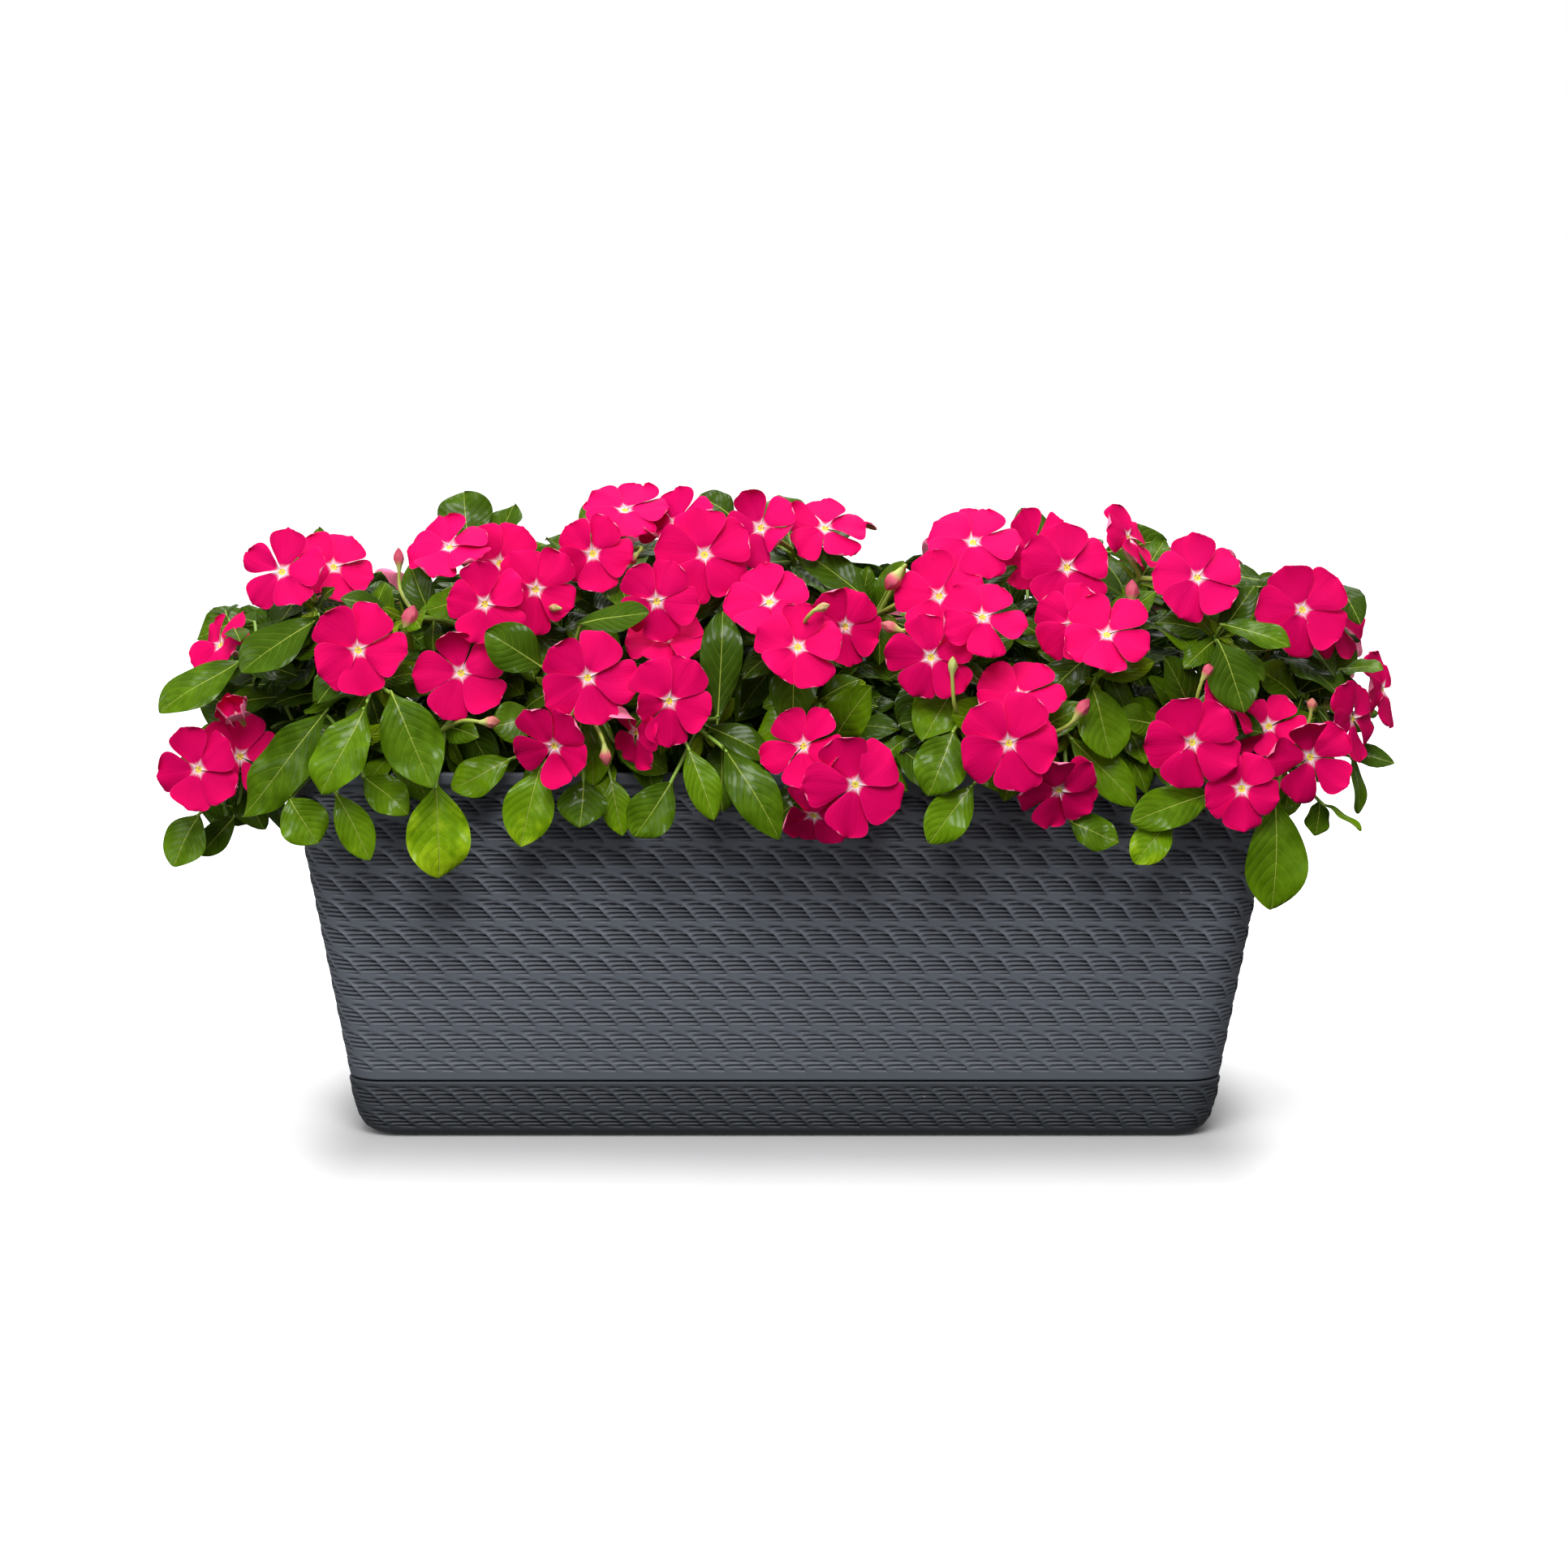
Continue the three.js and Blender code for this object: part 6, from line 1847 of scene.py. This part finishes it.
            # Points round the rim, denser along its long sides, and the way out of the box there
            x, y = math.cos(angle), math.sin(angle)
            out = np.array([0.0, 1.0 if y > 0 else -1.0, 0.0])
            edge = np.array([250 * math.copysign(abs(x) ** 0.8, x), out[1] * 98, 0.0])
            if abs(x) > 0.94:
                out = np.array([math.copysign(1.0, x), 0.0, 0.0])
                edge = np.array([out[0] * 274, 88 * y / 0.34, 0.0])
            for attempt in range(24):
                base = edge + np.array([rng.uniform(-9, 9), rng.uniform(-9, 9), rng.uniform(231, 250)])
                sideways = np.cross(UP, out) * rng.uniform(-0.8, 0.8)
                along = unit(out + sideways + UP * rng.uniform(-0.7, 0.05))
                length = rng.uniform(38, 56) * (1 - 0.02 * attempt)
                face = squared(UP + out * 0.6, along)
                width = length * rng.uniform(0.44, 0.54)
                leaf = Leaf(base, base, along, face, length, width, rng.uniform(0.7, 1.3))
                if self.add_leaf_if_clear(leaf, LeafKind.GROWN, 0.4):
                    added += 1
                    break
        for px in np.arange(380, 1600, 11):
            for attempt in range(14):
                base = LENS.point(px, 957, -86) + np.array([rng.uniform(-6, 6), 0, rng.uniform(-4, 14)])
                along = unit(np.array([rng.uniform(-0.9, 0.9), -1.0, rng.uniform(-0.8, -0.1)]))
                length = rng.uniform(26, 40) * (1 - 0.03 * attempt)
                leaf = Leaf(base, base, along, squared(facing(0, 50), along), length, length * 0.56, 0.9)
                if self.add_leaf_if_clear(leaf, LeafKind.SHADE, 0.3):
                    added += 1
                    break
        LOG.info("rim leaves added: %d", added)

    def add_shade_leaves(self) -> None:
        """Adds leaves through the inside of the canopy, which close the view through it."""
        rng = random.Random(31)
        added = 0
        for x in np.arange(-330, 331, 22):
            for y in np.arange(-72, 100, 24):
                for z in np.arange(226, 352, 21):
                    for _ in range(4):
                        base = np.array([x, y, z]) + np.array([rng.uniform(-8, 8) for _ in range(3)])
                        spin = rng.uniform(0, 2 * math.pi)
                        along = unit(np.array([math.cos(spin), math.sin(spin), rng.uniform(-0.5, 0.4)]))
                        length = rng.uniform(28, 42)
                        face = squared(UP + np.array([0, -0.9 if y < 20 else 0.9, 0]), along)
                        leaf = Leaf(base, base, along, face, length, length * 0.52, rng.uniform(0.4, 0.9))
                        near = self.growth.nearest_stalk(base)
                        if np.linalg.norm(near - base) < 36 and self.add_leaf_if_clear(leaf, LeafKind.SHADE, 0.6):
                            added += 1
                            break
        LOG.info("shade leaves added: %d", added)

    def add_backing_leaves(self) -> None:
        """Adds leaves behind the gaps between the front leaves, where the picture shows no light through."""
        rng = random.Random(37)
        for entry in PROFILE_LEAVES:
            self.add_leaf_if_clear(self.growth.seen_leaf(entry, 0.0), LeafKind.GROWN, 0.2)
        for px, py in GAPS:
            for attempt in range(60):
                spin = rng.uniform(0, 2 * math.pi)
                along = unit(np.array([math.cos(spin), 0.3 * math.sin(spin), rng.uniform(-0.5, 0.5)]))
                length = 44 - 0.35 * attempt
                base = LENS.point(px, py, rng.uniform(-70, 60)) - along * length * 0.55
                leaf = Leaf(base, base, along, squared(facing(0, 25), along), length, length * 0.6, 0.5)
                if self.add_leaf_if_clear(leaf, LeafKind.SHADE, 0.4):
                    break

    def add_young_leaves(self) -> None:
        """Adds the small bright leaves in opposite pairs round each shoot's tip."""
        rng = random.Random(19)
        for name, (_, branches, leafy) in self.growth.handles.items():
            for handles, size, pairs in [(b, 22, 2) for b in branches] + [(s, 34, 4) for s in leafy]:
                nodes = bezier(handles, 20)
                axis = unit(nodes[-1] - nodes[-2])
                side, up = square_to(axis)
                for pair in range(pairs):
                    lean = math.radians(68 - 15 * pair)
                    for half in (0, 1):
                        angle = math.radians(90 * pair + 180 * half + rng.uniform(-15, 15)) + 0.6
                        out = side * math.cos(angle) + up * math.sin(angle)
                        along = unit(axis * math.cos(lean) + out * math.sin(lean))
                        length = size * (1 - 0.2 * pair) * rng.uniform(0.8, 1.15)
                        face = squared(axis + self.growth.light_at(nodes[-1]) * 0.3, along)
                        base = nodes[-1] - axis * (5.0 - 1.6 * pair)
                        leaf = Leaf(base, base, along, face, length, length * 0.38, rng.uniform(0.5, 1.0))
                        if self.is_clear(*self.trial(leaf, 0.5)) or length < 17:
                            self.leaves[name].append((leaf, LeafKind.YOUNG))

    @staticmethod
    def half_width(t: np.ndarray, blunt: float) -> np.ndarray:
        """A blade's half width as a share of its greatest, at shares of its length.

        Args:
            t: The shares of its length.
            blunt: From 0 for a pointed ellipse to 1 for a blade that is broadest towards its tip.

        Returns:
            The half width's shares.
        """
        stops = [0, 0.05, 0.12, 0.2, 0.3, 0.42, 0.55, 0.67, 0.78, 0.87, 0.93, 0.97, 0.99, 1]
        broad = [0.05, 0.07, 0.22, 0.45, 0.69, 0.89, 0.99, 1.0, 0.9, 0.69, 0.47, 0.27, 0.13, 0.02]
        pointed = [0.05, 0.09, 0.3, 0.56, 0.8, 0.96, 1.0, 0.9, 0.7, 0.46, 0.28, 0.14, 0.07, 0.02]
        mixed = np.array(broad) * blunt + np.array(pointed) * (1 - blunt)
        shifts = (-0.24, -0.12, 0.0, 0.12, 0.24)
        return sum(np.interp(t + shift * t * (1 - t), stops, mixed) for shift in shifts) / len(shifts)

    def tone(self, leaf: Leaf, kind: LeafKind, rng: random.Random) -> np.ndarray:
        """A leaf's colour marks: brightness, partly painted light and shade, youth and chance.

        Args:
            leaf: The leaf.
            kind: Where it comes from.
            rng: Draws its differences.

        Returns:
            The marks.
        """
        # Leaves low on the canopy's outside are painted lighter, as if lit, and the others darker, painted shade;
        # the rest of the brightness differs at random from leaf to leaf
        middle = leaf.midrib(0.6)[0]
        low = 1 - (middle[2] - 190) / 190
        outer = abs(middle[1]) / 150
        bright = 0.25 + 0.3 * np.clip(low, 0, 1) * np.clip(outer, 0.3, 1) + rng.uniform(-0.16, 0.18)
        # Leaves inside the canopy get more painted shade
        if kind in (LeafKind.INNER, LeafKind.SHADE):
            bright -= 0.05
        young = rng.uniform(0.35, 0.8) if kind is LeafKind.YOUNG else 0.0
        return np.array([bright, young, rng.random()])

    def add_blade(self, skin: Skin, leaf: Leaf, kind: LeafKind, rng: random.Random) -> None:
        """Adds a leaf's waved blade to the skin.

        Args:
            skin: The skin.
            leaf: The leaf.
            kind: Where it comes from.
            rng: Draws its waves.
        """
        rows, columns, waviness = kind.value
        t = (1 - np.cos(np.linspace(0, math.pi, rows + 1))) / 2
        t = 0.35 * np.linspace(0, 1, rows + 1) + 0.65 * t
        s = np.sin(np.linspace(-math.pi / 2, math.pi / 2, columns + 1))
        s = 0.5 * s + 0.5 * np.linspace(-1, 1, columns + 1)
        half = self.half_width(t, rng.uniform(0.15, 0.9)) * leaf.width / 2
        side = np.cross(leaf.along, leaf.face)
        waves = rng.uniform(1.2, 2.4), rng.uniform(0, 6.28), rng.uniform(0, 6.28)
        height = waviness * leaf.width * rng.uniform(0.04, 0.12)
        twist = rng.uniform(-0.5, 0.5)
        sway = rng.uniform(-0.035, 0.035) * leaf.length
        swing = rng.uniform(-0.05, 0.05) * leaf.length
        fold = self.fold * rng.uniform(0.6, 1.5)
        grid = np.zeros((rows + 1, columns + 1, 3))
        place = np.zeros_like(grid)
        for i, share in enumerate(t):
            point, straight = leaf.midrib(float(share))
            turn = twist * (share - 0.35)
            up = straight * math.cos(turn) - side * math.sin(turn)
            flank = side * math.cos(turn) + straight * math.sin(turn)
            swung = side * swing * share * (1 - share) * 4 * 0.5
            off = s * half[i]
            ripple = np.where(
                s > 0, np.sin(6.28 * waves[0] * share + waves[1]), np.sin(6.28 * waves[0] * share + waves[2])
            ) * height * s**2
            lift = half[i] * (fold * np.sqrt(s * s + 0.01) - self.fold_back * s * s) + ripple
            lift = lift + sway * math.sin(2 * math.pi * share)
            grid[i] = point + swung + off[:, None] * flank + lift[:, None] * up
            place[i, :, 0] = share
            place[i, :, 1] = s
            place[i, :, 2] = np.abs(off)
        grid = held_in(grid, place[..., 0])
        # Turned over, so that the dark side looks up
        skin.add_sheet(grid[:, ::-1], self.thickness, place[:, ::-1], self.tone(leaf, kind, rng))

    def build(self) -> None:
        """Builds the leaves and the stalks of every stem."""
        self.find_packed_leaves()
        self.add_inner_leaves()
        self.add_rim_leaves()
        self.add_shade_leaves()
        self.add_backing_leaves()
        self.add_young_leaves()
        tubes = TubeMaker()
        for index, (name, leaves) in enumerate(self.leaves.items()):
            rng = random.Random(100 + index)
            skin = Skin()
            paths = []
            for leaf, kind in leaves:
                self.add_blade(skin, leaf, kind, rng)
                if np.linalg.norm(leaf.base - leaf.root) > 1:
                    start = leaf.midrib(0.08)[0]
                    paths.append(TubePath(bezier([leaf.root, leaf.base, start], 5), 1.3, 0.9, 0.7, 0.9))
            if name not in STEMS:
                skin.piece(f"leaves_{name}", self.leaf, "leaf_and_stem")
                finish_piece(tubes.build(f"{name}_petioles", paths, self.stem, 6), "leaf_and_stem")
                continue
            skin.piece(f"leaves_{name}", self.leaf, "leaf_and_stem", f"stem_{name}")
            main, branches, leafy = self.growth.handles[name]
            paths.append(TubePath(bezier(main, 14), 3.2, 2.6, 0.0, 0.5))
            paths += [TubePath(bezier(nodes, 16), 2.5, 1.7, 0.4, 0.9) for nodes in branches + leafy]
            finish_piece(tubes.build(f"stalks_{name}", paths, self.stem, 8), "leaf_and_stem", f"stem_{name}")


@dataclass
class TubePath:
    """A tapering tube's path, its radii at both ends, and how fresh its colour is at both ends."""

    points: np.ndarray
    start_radius: float
    end_radius: float
    start_fresh: float
    end_fresh: float


class TubeMaker:
    """Makes tapering tubes along paths with one tree of nodes."""

    def __init__(self) -> None:
        """Builds the tree: paths of edges become curves, and a circle runs along them."""
        self.tree, add, given = new_tree("tubes_along_paths", {"Sides": "Int", "Finish": "Material"})
        curve = add("GeometryNodeMeshToCurve", {"Mesh": given["Geometry"]})
        outline = {"Resolution": given["Sides"], "Radius": 1.0}
        circle = add("GeometryNodeCurvePrimitiveCircle", outline, mode="RADIUS")
        girth = add("GeometryNodeInputNamedAttribute", {"Name": "girth"}, data_type="FLOAT")
        swept = {"Curve": curve, "Profile Curve": circle, "Scale": girth, "Fill Caps": True}
        tube = add("GeometryNodeCurveToMesh", swept)
        end_tree(add, tube, given["Finish"])

    def build(
        self, name: str, paths: Sequence[TubePath], finish: bpy.types.Material, sides: int
    ) -> bpy.types.Object:
        """Makes the tubes of several paths as one piece.

        Args:
            name: The piece's name.
            paths: The paths.
            finish: Its material.
            sides: How many sides a tube has.

        Returns:
            The piece.
        """
        points = np.concatenate([path.points for path in paths]) * MM
        edges, girth, fresh, first = [], [], [], 0
        for path in paths:
            count = len(path.points)
            edges += [(first + i, first + i + 1) for i in range(count - 1)]
            girth += list(np.linspace(path.start_radius, path.end_radius, count) * MM)
            fresh += list(np.linspace(path.start_fresh, path.end_fresh, count))
            first += count
        data = bpy.data.meshes.new(f"{name}_paths")
        data.from_pydata(points, edges, [])
        data.attributes.new("girth", "FLOAT", "POINT").data.foreach_set("value", girth)
        data.attributes.new("freshness", "FLOAT", "POINT").data.foreach_set("value", fresh)
        return run_tree(name, data, self.tree, {"Sides": sides, "Finish": finish})


@dataclass
class Blooms:
    """The open flowers and the buds of every cluster."""

    growth: Growth
    petal: bpy.types.Material
    tube: bpy.types.Material
    bud: bpy.types.Material
    rows: int = 11
    columns: int = 12
    petals: int = 5
    overlap: float = 1.5
    dip: float = 1.3
    thickness: float = 0.4
    neck: float = 11.0
    spread: float = 2.0

    def petal_width(self, share: np.ndarray) -> np.ndarray:
        """A petal's half width as a share of the flower's radius, at shares of its length.

        Args:
            share: The shares.

        Returns:
            The half widths.
        """
        stops = [0.05, 0.12, 0.2, 0.32, 0.45, 0.58, 0.69, 0.79, 0.87, 0.93, 0.97, 1]
        shares = [0.045, 0.105, 0.17, 0.265, 0.38, 0.47, 0.515, 0.52, 0.485, 0.42, 0.33, 0.2]
        return np.interp(share, stops, shares)

    def add_petal(
        self, skin: Skin, bloom: Bloom, index: int, look: tuple[float, float, float], rng: random.Random
    ) -> None:
        """Adds one petal of a flower to the skin.

        Args:
            skin: The skin.
            bloom: The flower.
            index: The petal's number, anticlockwise.
            look: Its hue mark, how broad it is, and by how many radians it curls towards the viewer.
            rng: Draws its waves.
        """
        hue, full, curl = look
        angle = math.radians(bloom.roll + 72 * index + rng.uniform(-3, 3))
        out = bloom.side * math.cos(angle) + bloom.up * math.sin(angle)
        across = bloom.up * math.cos(angle) - bloom.side * math.sin(angle)
        share = 0.05 + 0.95 * np.sin(np.linspace(0, math.pi / 2, self.rows + 1)) ** 0.95
        s = np.linspace(-1, 1, self.columns + 1)
        share, s = np.meshgrid(share, s, indexing="ij")
        width = self.petal_width(share) * full * rng.uniform(0.94, 1.05)
        length = share * (1 - 0.06 * s * s * share**3) * rng.uniform(0.88, 1.0)
        length = length + 0.022 * np.exp(-(((s - 0.1) / 0.14) ** 2)) * share**8
        length = length + rng.uniform(-0.035, 0.035) * s * share**4
        sideways = width * s + (0.07 + rng.uniform(-0.05, 0.05)) * share**3
        reach = bloom.radius
        curl = curl + rng.uniform(-0.26, 0.2) + 1e-3
        lift = -(self.overlap + rng.uniform(-0.5, 1.4)) * s * smoothstep(0.05, 0.6, share)
        lift -= self.dip * (1 - smoothstep(0.03, 0.24, share))
        lift += reach * (1 - np.cos(curl * share**1.5)) / curl
        length = length * (np.sin(curl * share) / (curl * share))
        lift += rng.uniform(0.5, 2.0) * np.sin(3.14 * (share * 1.6 + rng.random())) * s * s
        lift += rng.uniform(-1.6, 1.6) * np.sin(6.28 * (s * 0.6 + rng.random())) * share**3
        lift += rng.uniform(0.2, 0.6) * np.sin(6.28 * (s * 1.4 + rng.random())) * share**4
        lift -= 0.35 * np.exp(-((s / 0.16) ** 2)) * share * (1 - share) * 3
        middle = (
            bloom.centre
            + (length * reach)[..., None] * out
            + (sideways * reach)[..., None] * across
            + lift[..., None] * bloom.face
        )
        middle = held_in(middle, share)
        # An opening flower shows no star
        radius = np.hypot(length, sideways) * reach + (9 if reach < 18 else 0)
        edge = np.maximum(np.abs(s), smoothstep(0.9, 1.0, share))
        place = np.stack([radius, np.sign(s) * edge, share], axis=2)
        tone = np.array([hue, 0, rng.random() * 20])
        # The face with the star looks out of the flower
        skin.add_sheet(middle, self.thickness, place, tone)

    def add_eye(self, skin: Skin, bloom: Bloom) -> None:
        """Adds the small lens that closes a flower's throat.

        Args:
            skin: The skin.
            bloom: The flower.
        """
        turns = np.linspace(0, 2 * math.pi, 10, endpoint=False)
        rings = []
        for radius, lift in ((0.3, -3.2), (2.3, -1.5), (1.6, -1.15), (0.9, -1.35), (0.25, -1.7)):
            rings.append(
                bloom.centre
                + radius * (np.cos(turns)[:, None] * bloom.side + np.sin(turns)[:, None] * bloom.up)
                + lift * bloom.face
            )
        skin.add_rings(rings, [2.3, 2.3, 1.6, 0.9, 0.2], np.array([0.5, 0, 0]), Ends.CAPPED)

    @staticmethod
    def add_bud(skin: Skin, foot: np.ndarray, tip: np.ndarray, radius: float, green: float) -> None:
        """Adds a furled bud to the skin.

        Args:
            skin: The skin.
            foot: Where its stalk ends.
            tip: The bud's tip.
            radius: Its greatest radius.
            green: How unripe it is, from 0 to 1.
        """
        side, up = square_to(unit(tip - foot))
        turns = np.linspace(0, 2 * math.pi, 15, endpoint=False)
        profile = [
            (0, 0.3), (0.1, 0.4), (0.25, 0.55), (0.4, 0.82), (0.55, 1.0), (0.7, 0.93), (0.82, 0.68), (0.92, 0.4),
            (1, 0.1),
        ]
        rings = []
        for share, girth in profile:
            wind = 1 + 0.13 * smoothstep(0.15, 0.5, np.array(share)) * np.cos(5 * (turns - 1.6 * share))
            rings.append(
                foot + (tip - foot) * share
                + (radius * girth * wind)[:, None] * (np.cos(turns)[:, None] * side + np.sin(turns)[:, None] * up)
            )
        skin.add_rings(rings, [share for share, _ in profile], np.array([green, 0, 0]), Ends.CAPPED)

    def build(self) -> None:
        """Builds every cluster's flowers, and all tubes and buds."""
        rng = random.Random(41)
        paths: list[TubePath] = []
        buds = Skin()
        for name, cluster in self.growth.clusters.items():
            skin = Skin()
            for order, bloom in enumerate(cluster.blooms):
                full = rng.uniform(0.82, 0.96)
                hue = 0.55 - 0.35 * float(smoothstep(300, 400, bloom.centre[2])) + rng.uniform(-0.15, 0.15)
                for index in range(self.petals):
                    broad, curl = PETAL_CHANGES.get((name, order, index), (1.0, 0.0))
                    self.add_petal(skin, bloom, index, (hue, full * broad, curl), rng)
                self.add_eye(skin, bloom)
                end = cluster.seat + squared(bloom.centre - cluster.seat, cluster.aim) * self.spread
                handles = [cluster.seat - cluster.aim * 3, end + cluster.aim * 4]
                handles += [bloom.centre - bloom.face * self.neck, bloom.centre - bloom.face * 1.6]
                paths.append(TubePath(bezier(handles, 12), 1.5, 1.9, 0.0, 1.0))
            if name in BACK_CLUSTERS and len(name) % 2:
                rise = unit(cluster.aim + UP)
                self.add_bud(buds, cluster.seat + rise * 19, cluster.seat + rise * 36, 3.2, 0.0)
                paths.append(TubePath(np.array([cluster.seat, cluster.seat + rise * 20]), 1.2, 1.1, 0.0, 0.2))
            skin.piece(f"flowers_{name}", self.petal, "petal", f"blooms_{name}", crease=50)
        for tip_x, tip_y, foot_x, foot_y, root_x, root_y, y, radius, green in BUDS:
            tip, foot, root = (
                LENS.point(px, py, y) for px, py in ((tip_x, tip_y), (foot_x, foot_y), (root_x, root_y))
            )
            self.add_bud(buds, foot, tip, radius, green)
            if root_x:
                handles = [self.growth.nearest_stalk(root), root, root, foot + (tip - foot) * 0.1]
                paths.append(TubePath(bezier(handles, 8), 1.3, 1.1, 0.0, 0.25))
        buds.piece("flower_buds", self.bud, "petal")
        opening = Skin()
        for bloom in (Bloom(LENS.point(*row[:3]), *row[3:]) for row in OPENING):
            for index in range(self.petals):
                self.add_petal(opening, bloom, index, (0.3, 1.0, 1.95), rng)
            start = self.growth.nearest_stalk(bloom.centre)
            foot = bloom.centre - bloom.face * self.neck
            paths.append(TubePath(bezier([start, foot, foot, bloom.centre - bloom.face], 8), 1.3, 2.0, 0.0, 0.8))
        opening.piece("opening_flowers", self.petal, "petal", crease=50)
        finish_piece(TubeMaker().build("flower_tubes", paths, self.tube, 8), "petal")


# ------------------------------------------------------------------------------------------- the studio


@dataclass
class Studio:
    """A white floor with a painted glow and a painted shadow round the tray, soft light, and the camera at the
    photograph's angle.
    """

    camera_at: tuple[float, float, float] = (-0.0005, -1.9, 0.44)
    pitch: float = 83.0
    lens: float = 70.12
    sensor: float = 36.0
    floor_half: float = 40.0
    floor_level: float = -0.0003
    floor_colour: str = "#d9d9da"
    foot_half: tuple[float, float] = (0.25, 0.075)
    side_squeeze: float = 4.5
    # Where the floor's painted glow starts and ends, and how strong it gets, near the tray, where its fading paints
    # a soft shadow, and far away
    near_glow: tuple[float, float, float] = (0.0, 0.28, 0.425)
    far_glow: tuple[float, float, float] = (0.45, 1.6, 0.55)
    target: tuple[float, float, float] = (0.0, 0.0, 0.2)
    # Each light's name, place, size and power
    softboxes: tuple[tuple[str, tuple[float, float, float], float, float], ...] = (
        ("key_softbox", (-0.12, -1.9, 2.0), 1.2, 50), ("fill_softbox", (-1.8, -1.9, 1.2), 1.8, 22),
        ("top_softbox", (0.0, 0.1, 2.5), 1.6, 46), ("back_softbox", (0.1, 1.8, 2.0), 1.8, 22),
    )
    sky: float = 0.3
    ground: float = 0.12

    def build(self) -> None:
        """Builds the floor, the lights, the surrounding light and the camera."""
        self.add_floor()
        for name, at, size, watts in self.softboxes:
            light = bpy.data.lights.new(name, "AREA")
            light.size = size
            light.energy = watts
            self.place(light, at, (Vector(self.target) - Vector(at)).to_track_quat("-Z", "Y").to_euler())
        scene = bpy.context.scene
        scene.world = self.surroundings()
        scene.view_settings.view_transform = "Standard"
        camera = bpy.data.cameras.new("photo_camera")
        camera.lens = self.lens
        camera.sensor_width = self.sensor
        camera.clip_end = 200
        scene.camera = self.place(camera, self.camera_at, (math.radians(self.pitch), 0, 0))

    @staticmethod
    def place(data: bpy.types.ID, at: Sequence[float], turn: Sequence[float]) -> bpy.types.Object:
        """Puts a light or a camera into the scene.

        Args:
            data: The light or camera.
            at: Its place in metres.
            turn: Its rotation in radians.

        Returns:
            Its object.
        """
        holder = link_object(data.name, data)
        holder.location = at
        holder.rotation_euler = turn
        return holder

    def surroundings(self) -> bpy.types.World:
        """Makes the surroundings: plain white to look at, and a soft light that is brighter above than below.

        Returns:
            The surroundings.
        """
        world = bpy.data.worlds.new("white_surroundings")
        world.use_nodes = True
        world.node_tree.nodes.clear()
        add = partial(add_node, world.node_tree)
        way = add("TexCoord").outputs["Generated"]
        height = add("SeparateXYZ", [way]).outputs["Z"]
        light = add("MapRange", [height, -0.3, 0.3, self.ground, self.sky], interpolation_type="SMOOTHSTEP")
        seen = add("LightPath").outputs["Is Camera Ray"]
        strength = add("Math", [seen, light], operation="MAXIMUM")
        add("OutputWorld", [add("Background", {"Color": (1, 1, 1, 1), "Strength": strength})])
        return world

    def add_floor(self) -> None:
        """Adds the floor, which isn't part of the object, with its painted glow and painted shadow."""
        reach, low = self.floor_half, self.floor_level
        data = bpy.data.meshes.new("studio_floor")
        corners = [(-reach, -reach, low), (reach, -reach, low), (reach, reach, low), (-reach, reach, low)]
        data.from_pydata(corners, [], [(0, 1, 2, 3)])
        material, add = start_material("white backdrop paper with painted glow")
        place = add("TexCoord").outputs["Object"]
        # The floor's glow is painted light; it fades out round the tray's foot, which paints a soft shadow there
        mirrored = add("VectorMath", [place], operation="ABSOLUTE")
        beyond = add("VectorMath", [mirrored, (*self.foot_half, 0)], operation="SUBTRACT")
        outside = add("VectorMath", [beyond, (0, 0, 0)], operation="MAXIMUM")
        squeezed = add("VectorMath", [outside, (self.side_squeeze, 1, 1)], operation="MULTIPLY")
        away = add("VectorMath", [squeezed], operation="LENGTH")
        near, far = (
            add("MapRange", [away, start, end, 0, most], interpolation_type="SMOOTHSTEP")
            for start, end, most in (self.near_glow, self.far_glow)
        )
        glow = add("Math", [near, far], operation="ADD")
        end_material(add, {
            "Base Color": self.floor_colour, "Roughness": 0.9, "Specular IOR Level": 0.0,
            "Emission Color": (1, 1, 1, 1), "Emission Strength": glow,
        })
        data.materials.append(material)
        floor = link_object("studio_floor", data)
        floor.visible_diffuse = False
        floor.visible_glossy = False


def main() -> None:
    """Builds every sub-assembly in order."""
    logging.basicConfig(level=logging.INFO, format="%(name)s %(message)s")
    plastic = MouldedSlatePlastic().material()
    # The tray's plastic is a darker copy of the box's: painted shade, as the tray sits low and gets less light
    shaded_tray_plastic = MouldedSlatePlastic(raised="#53585f", base="#41454b").material()
    relief = RopeRelief()
    planter = RopePlanter(relief, plastic)
    planter.build()
    DripTray(relief, shaded_tray_plastic).build()
    PottingMix(planter, PeatMix().material(), Perlite().material()).build()
    growth = Growth()
    Foliage(growth, PeriwinkleLeaf().material(), GreenStem().material()).build()
    Blooms(growth, PeriwinklePetal().material(), FlowerTube().material(), PetalBud().material()).build()
    Studio().build()
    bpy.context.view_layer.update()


if __name__ == "__main__":
    main()
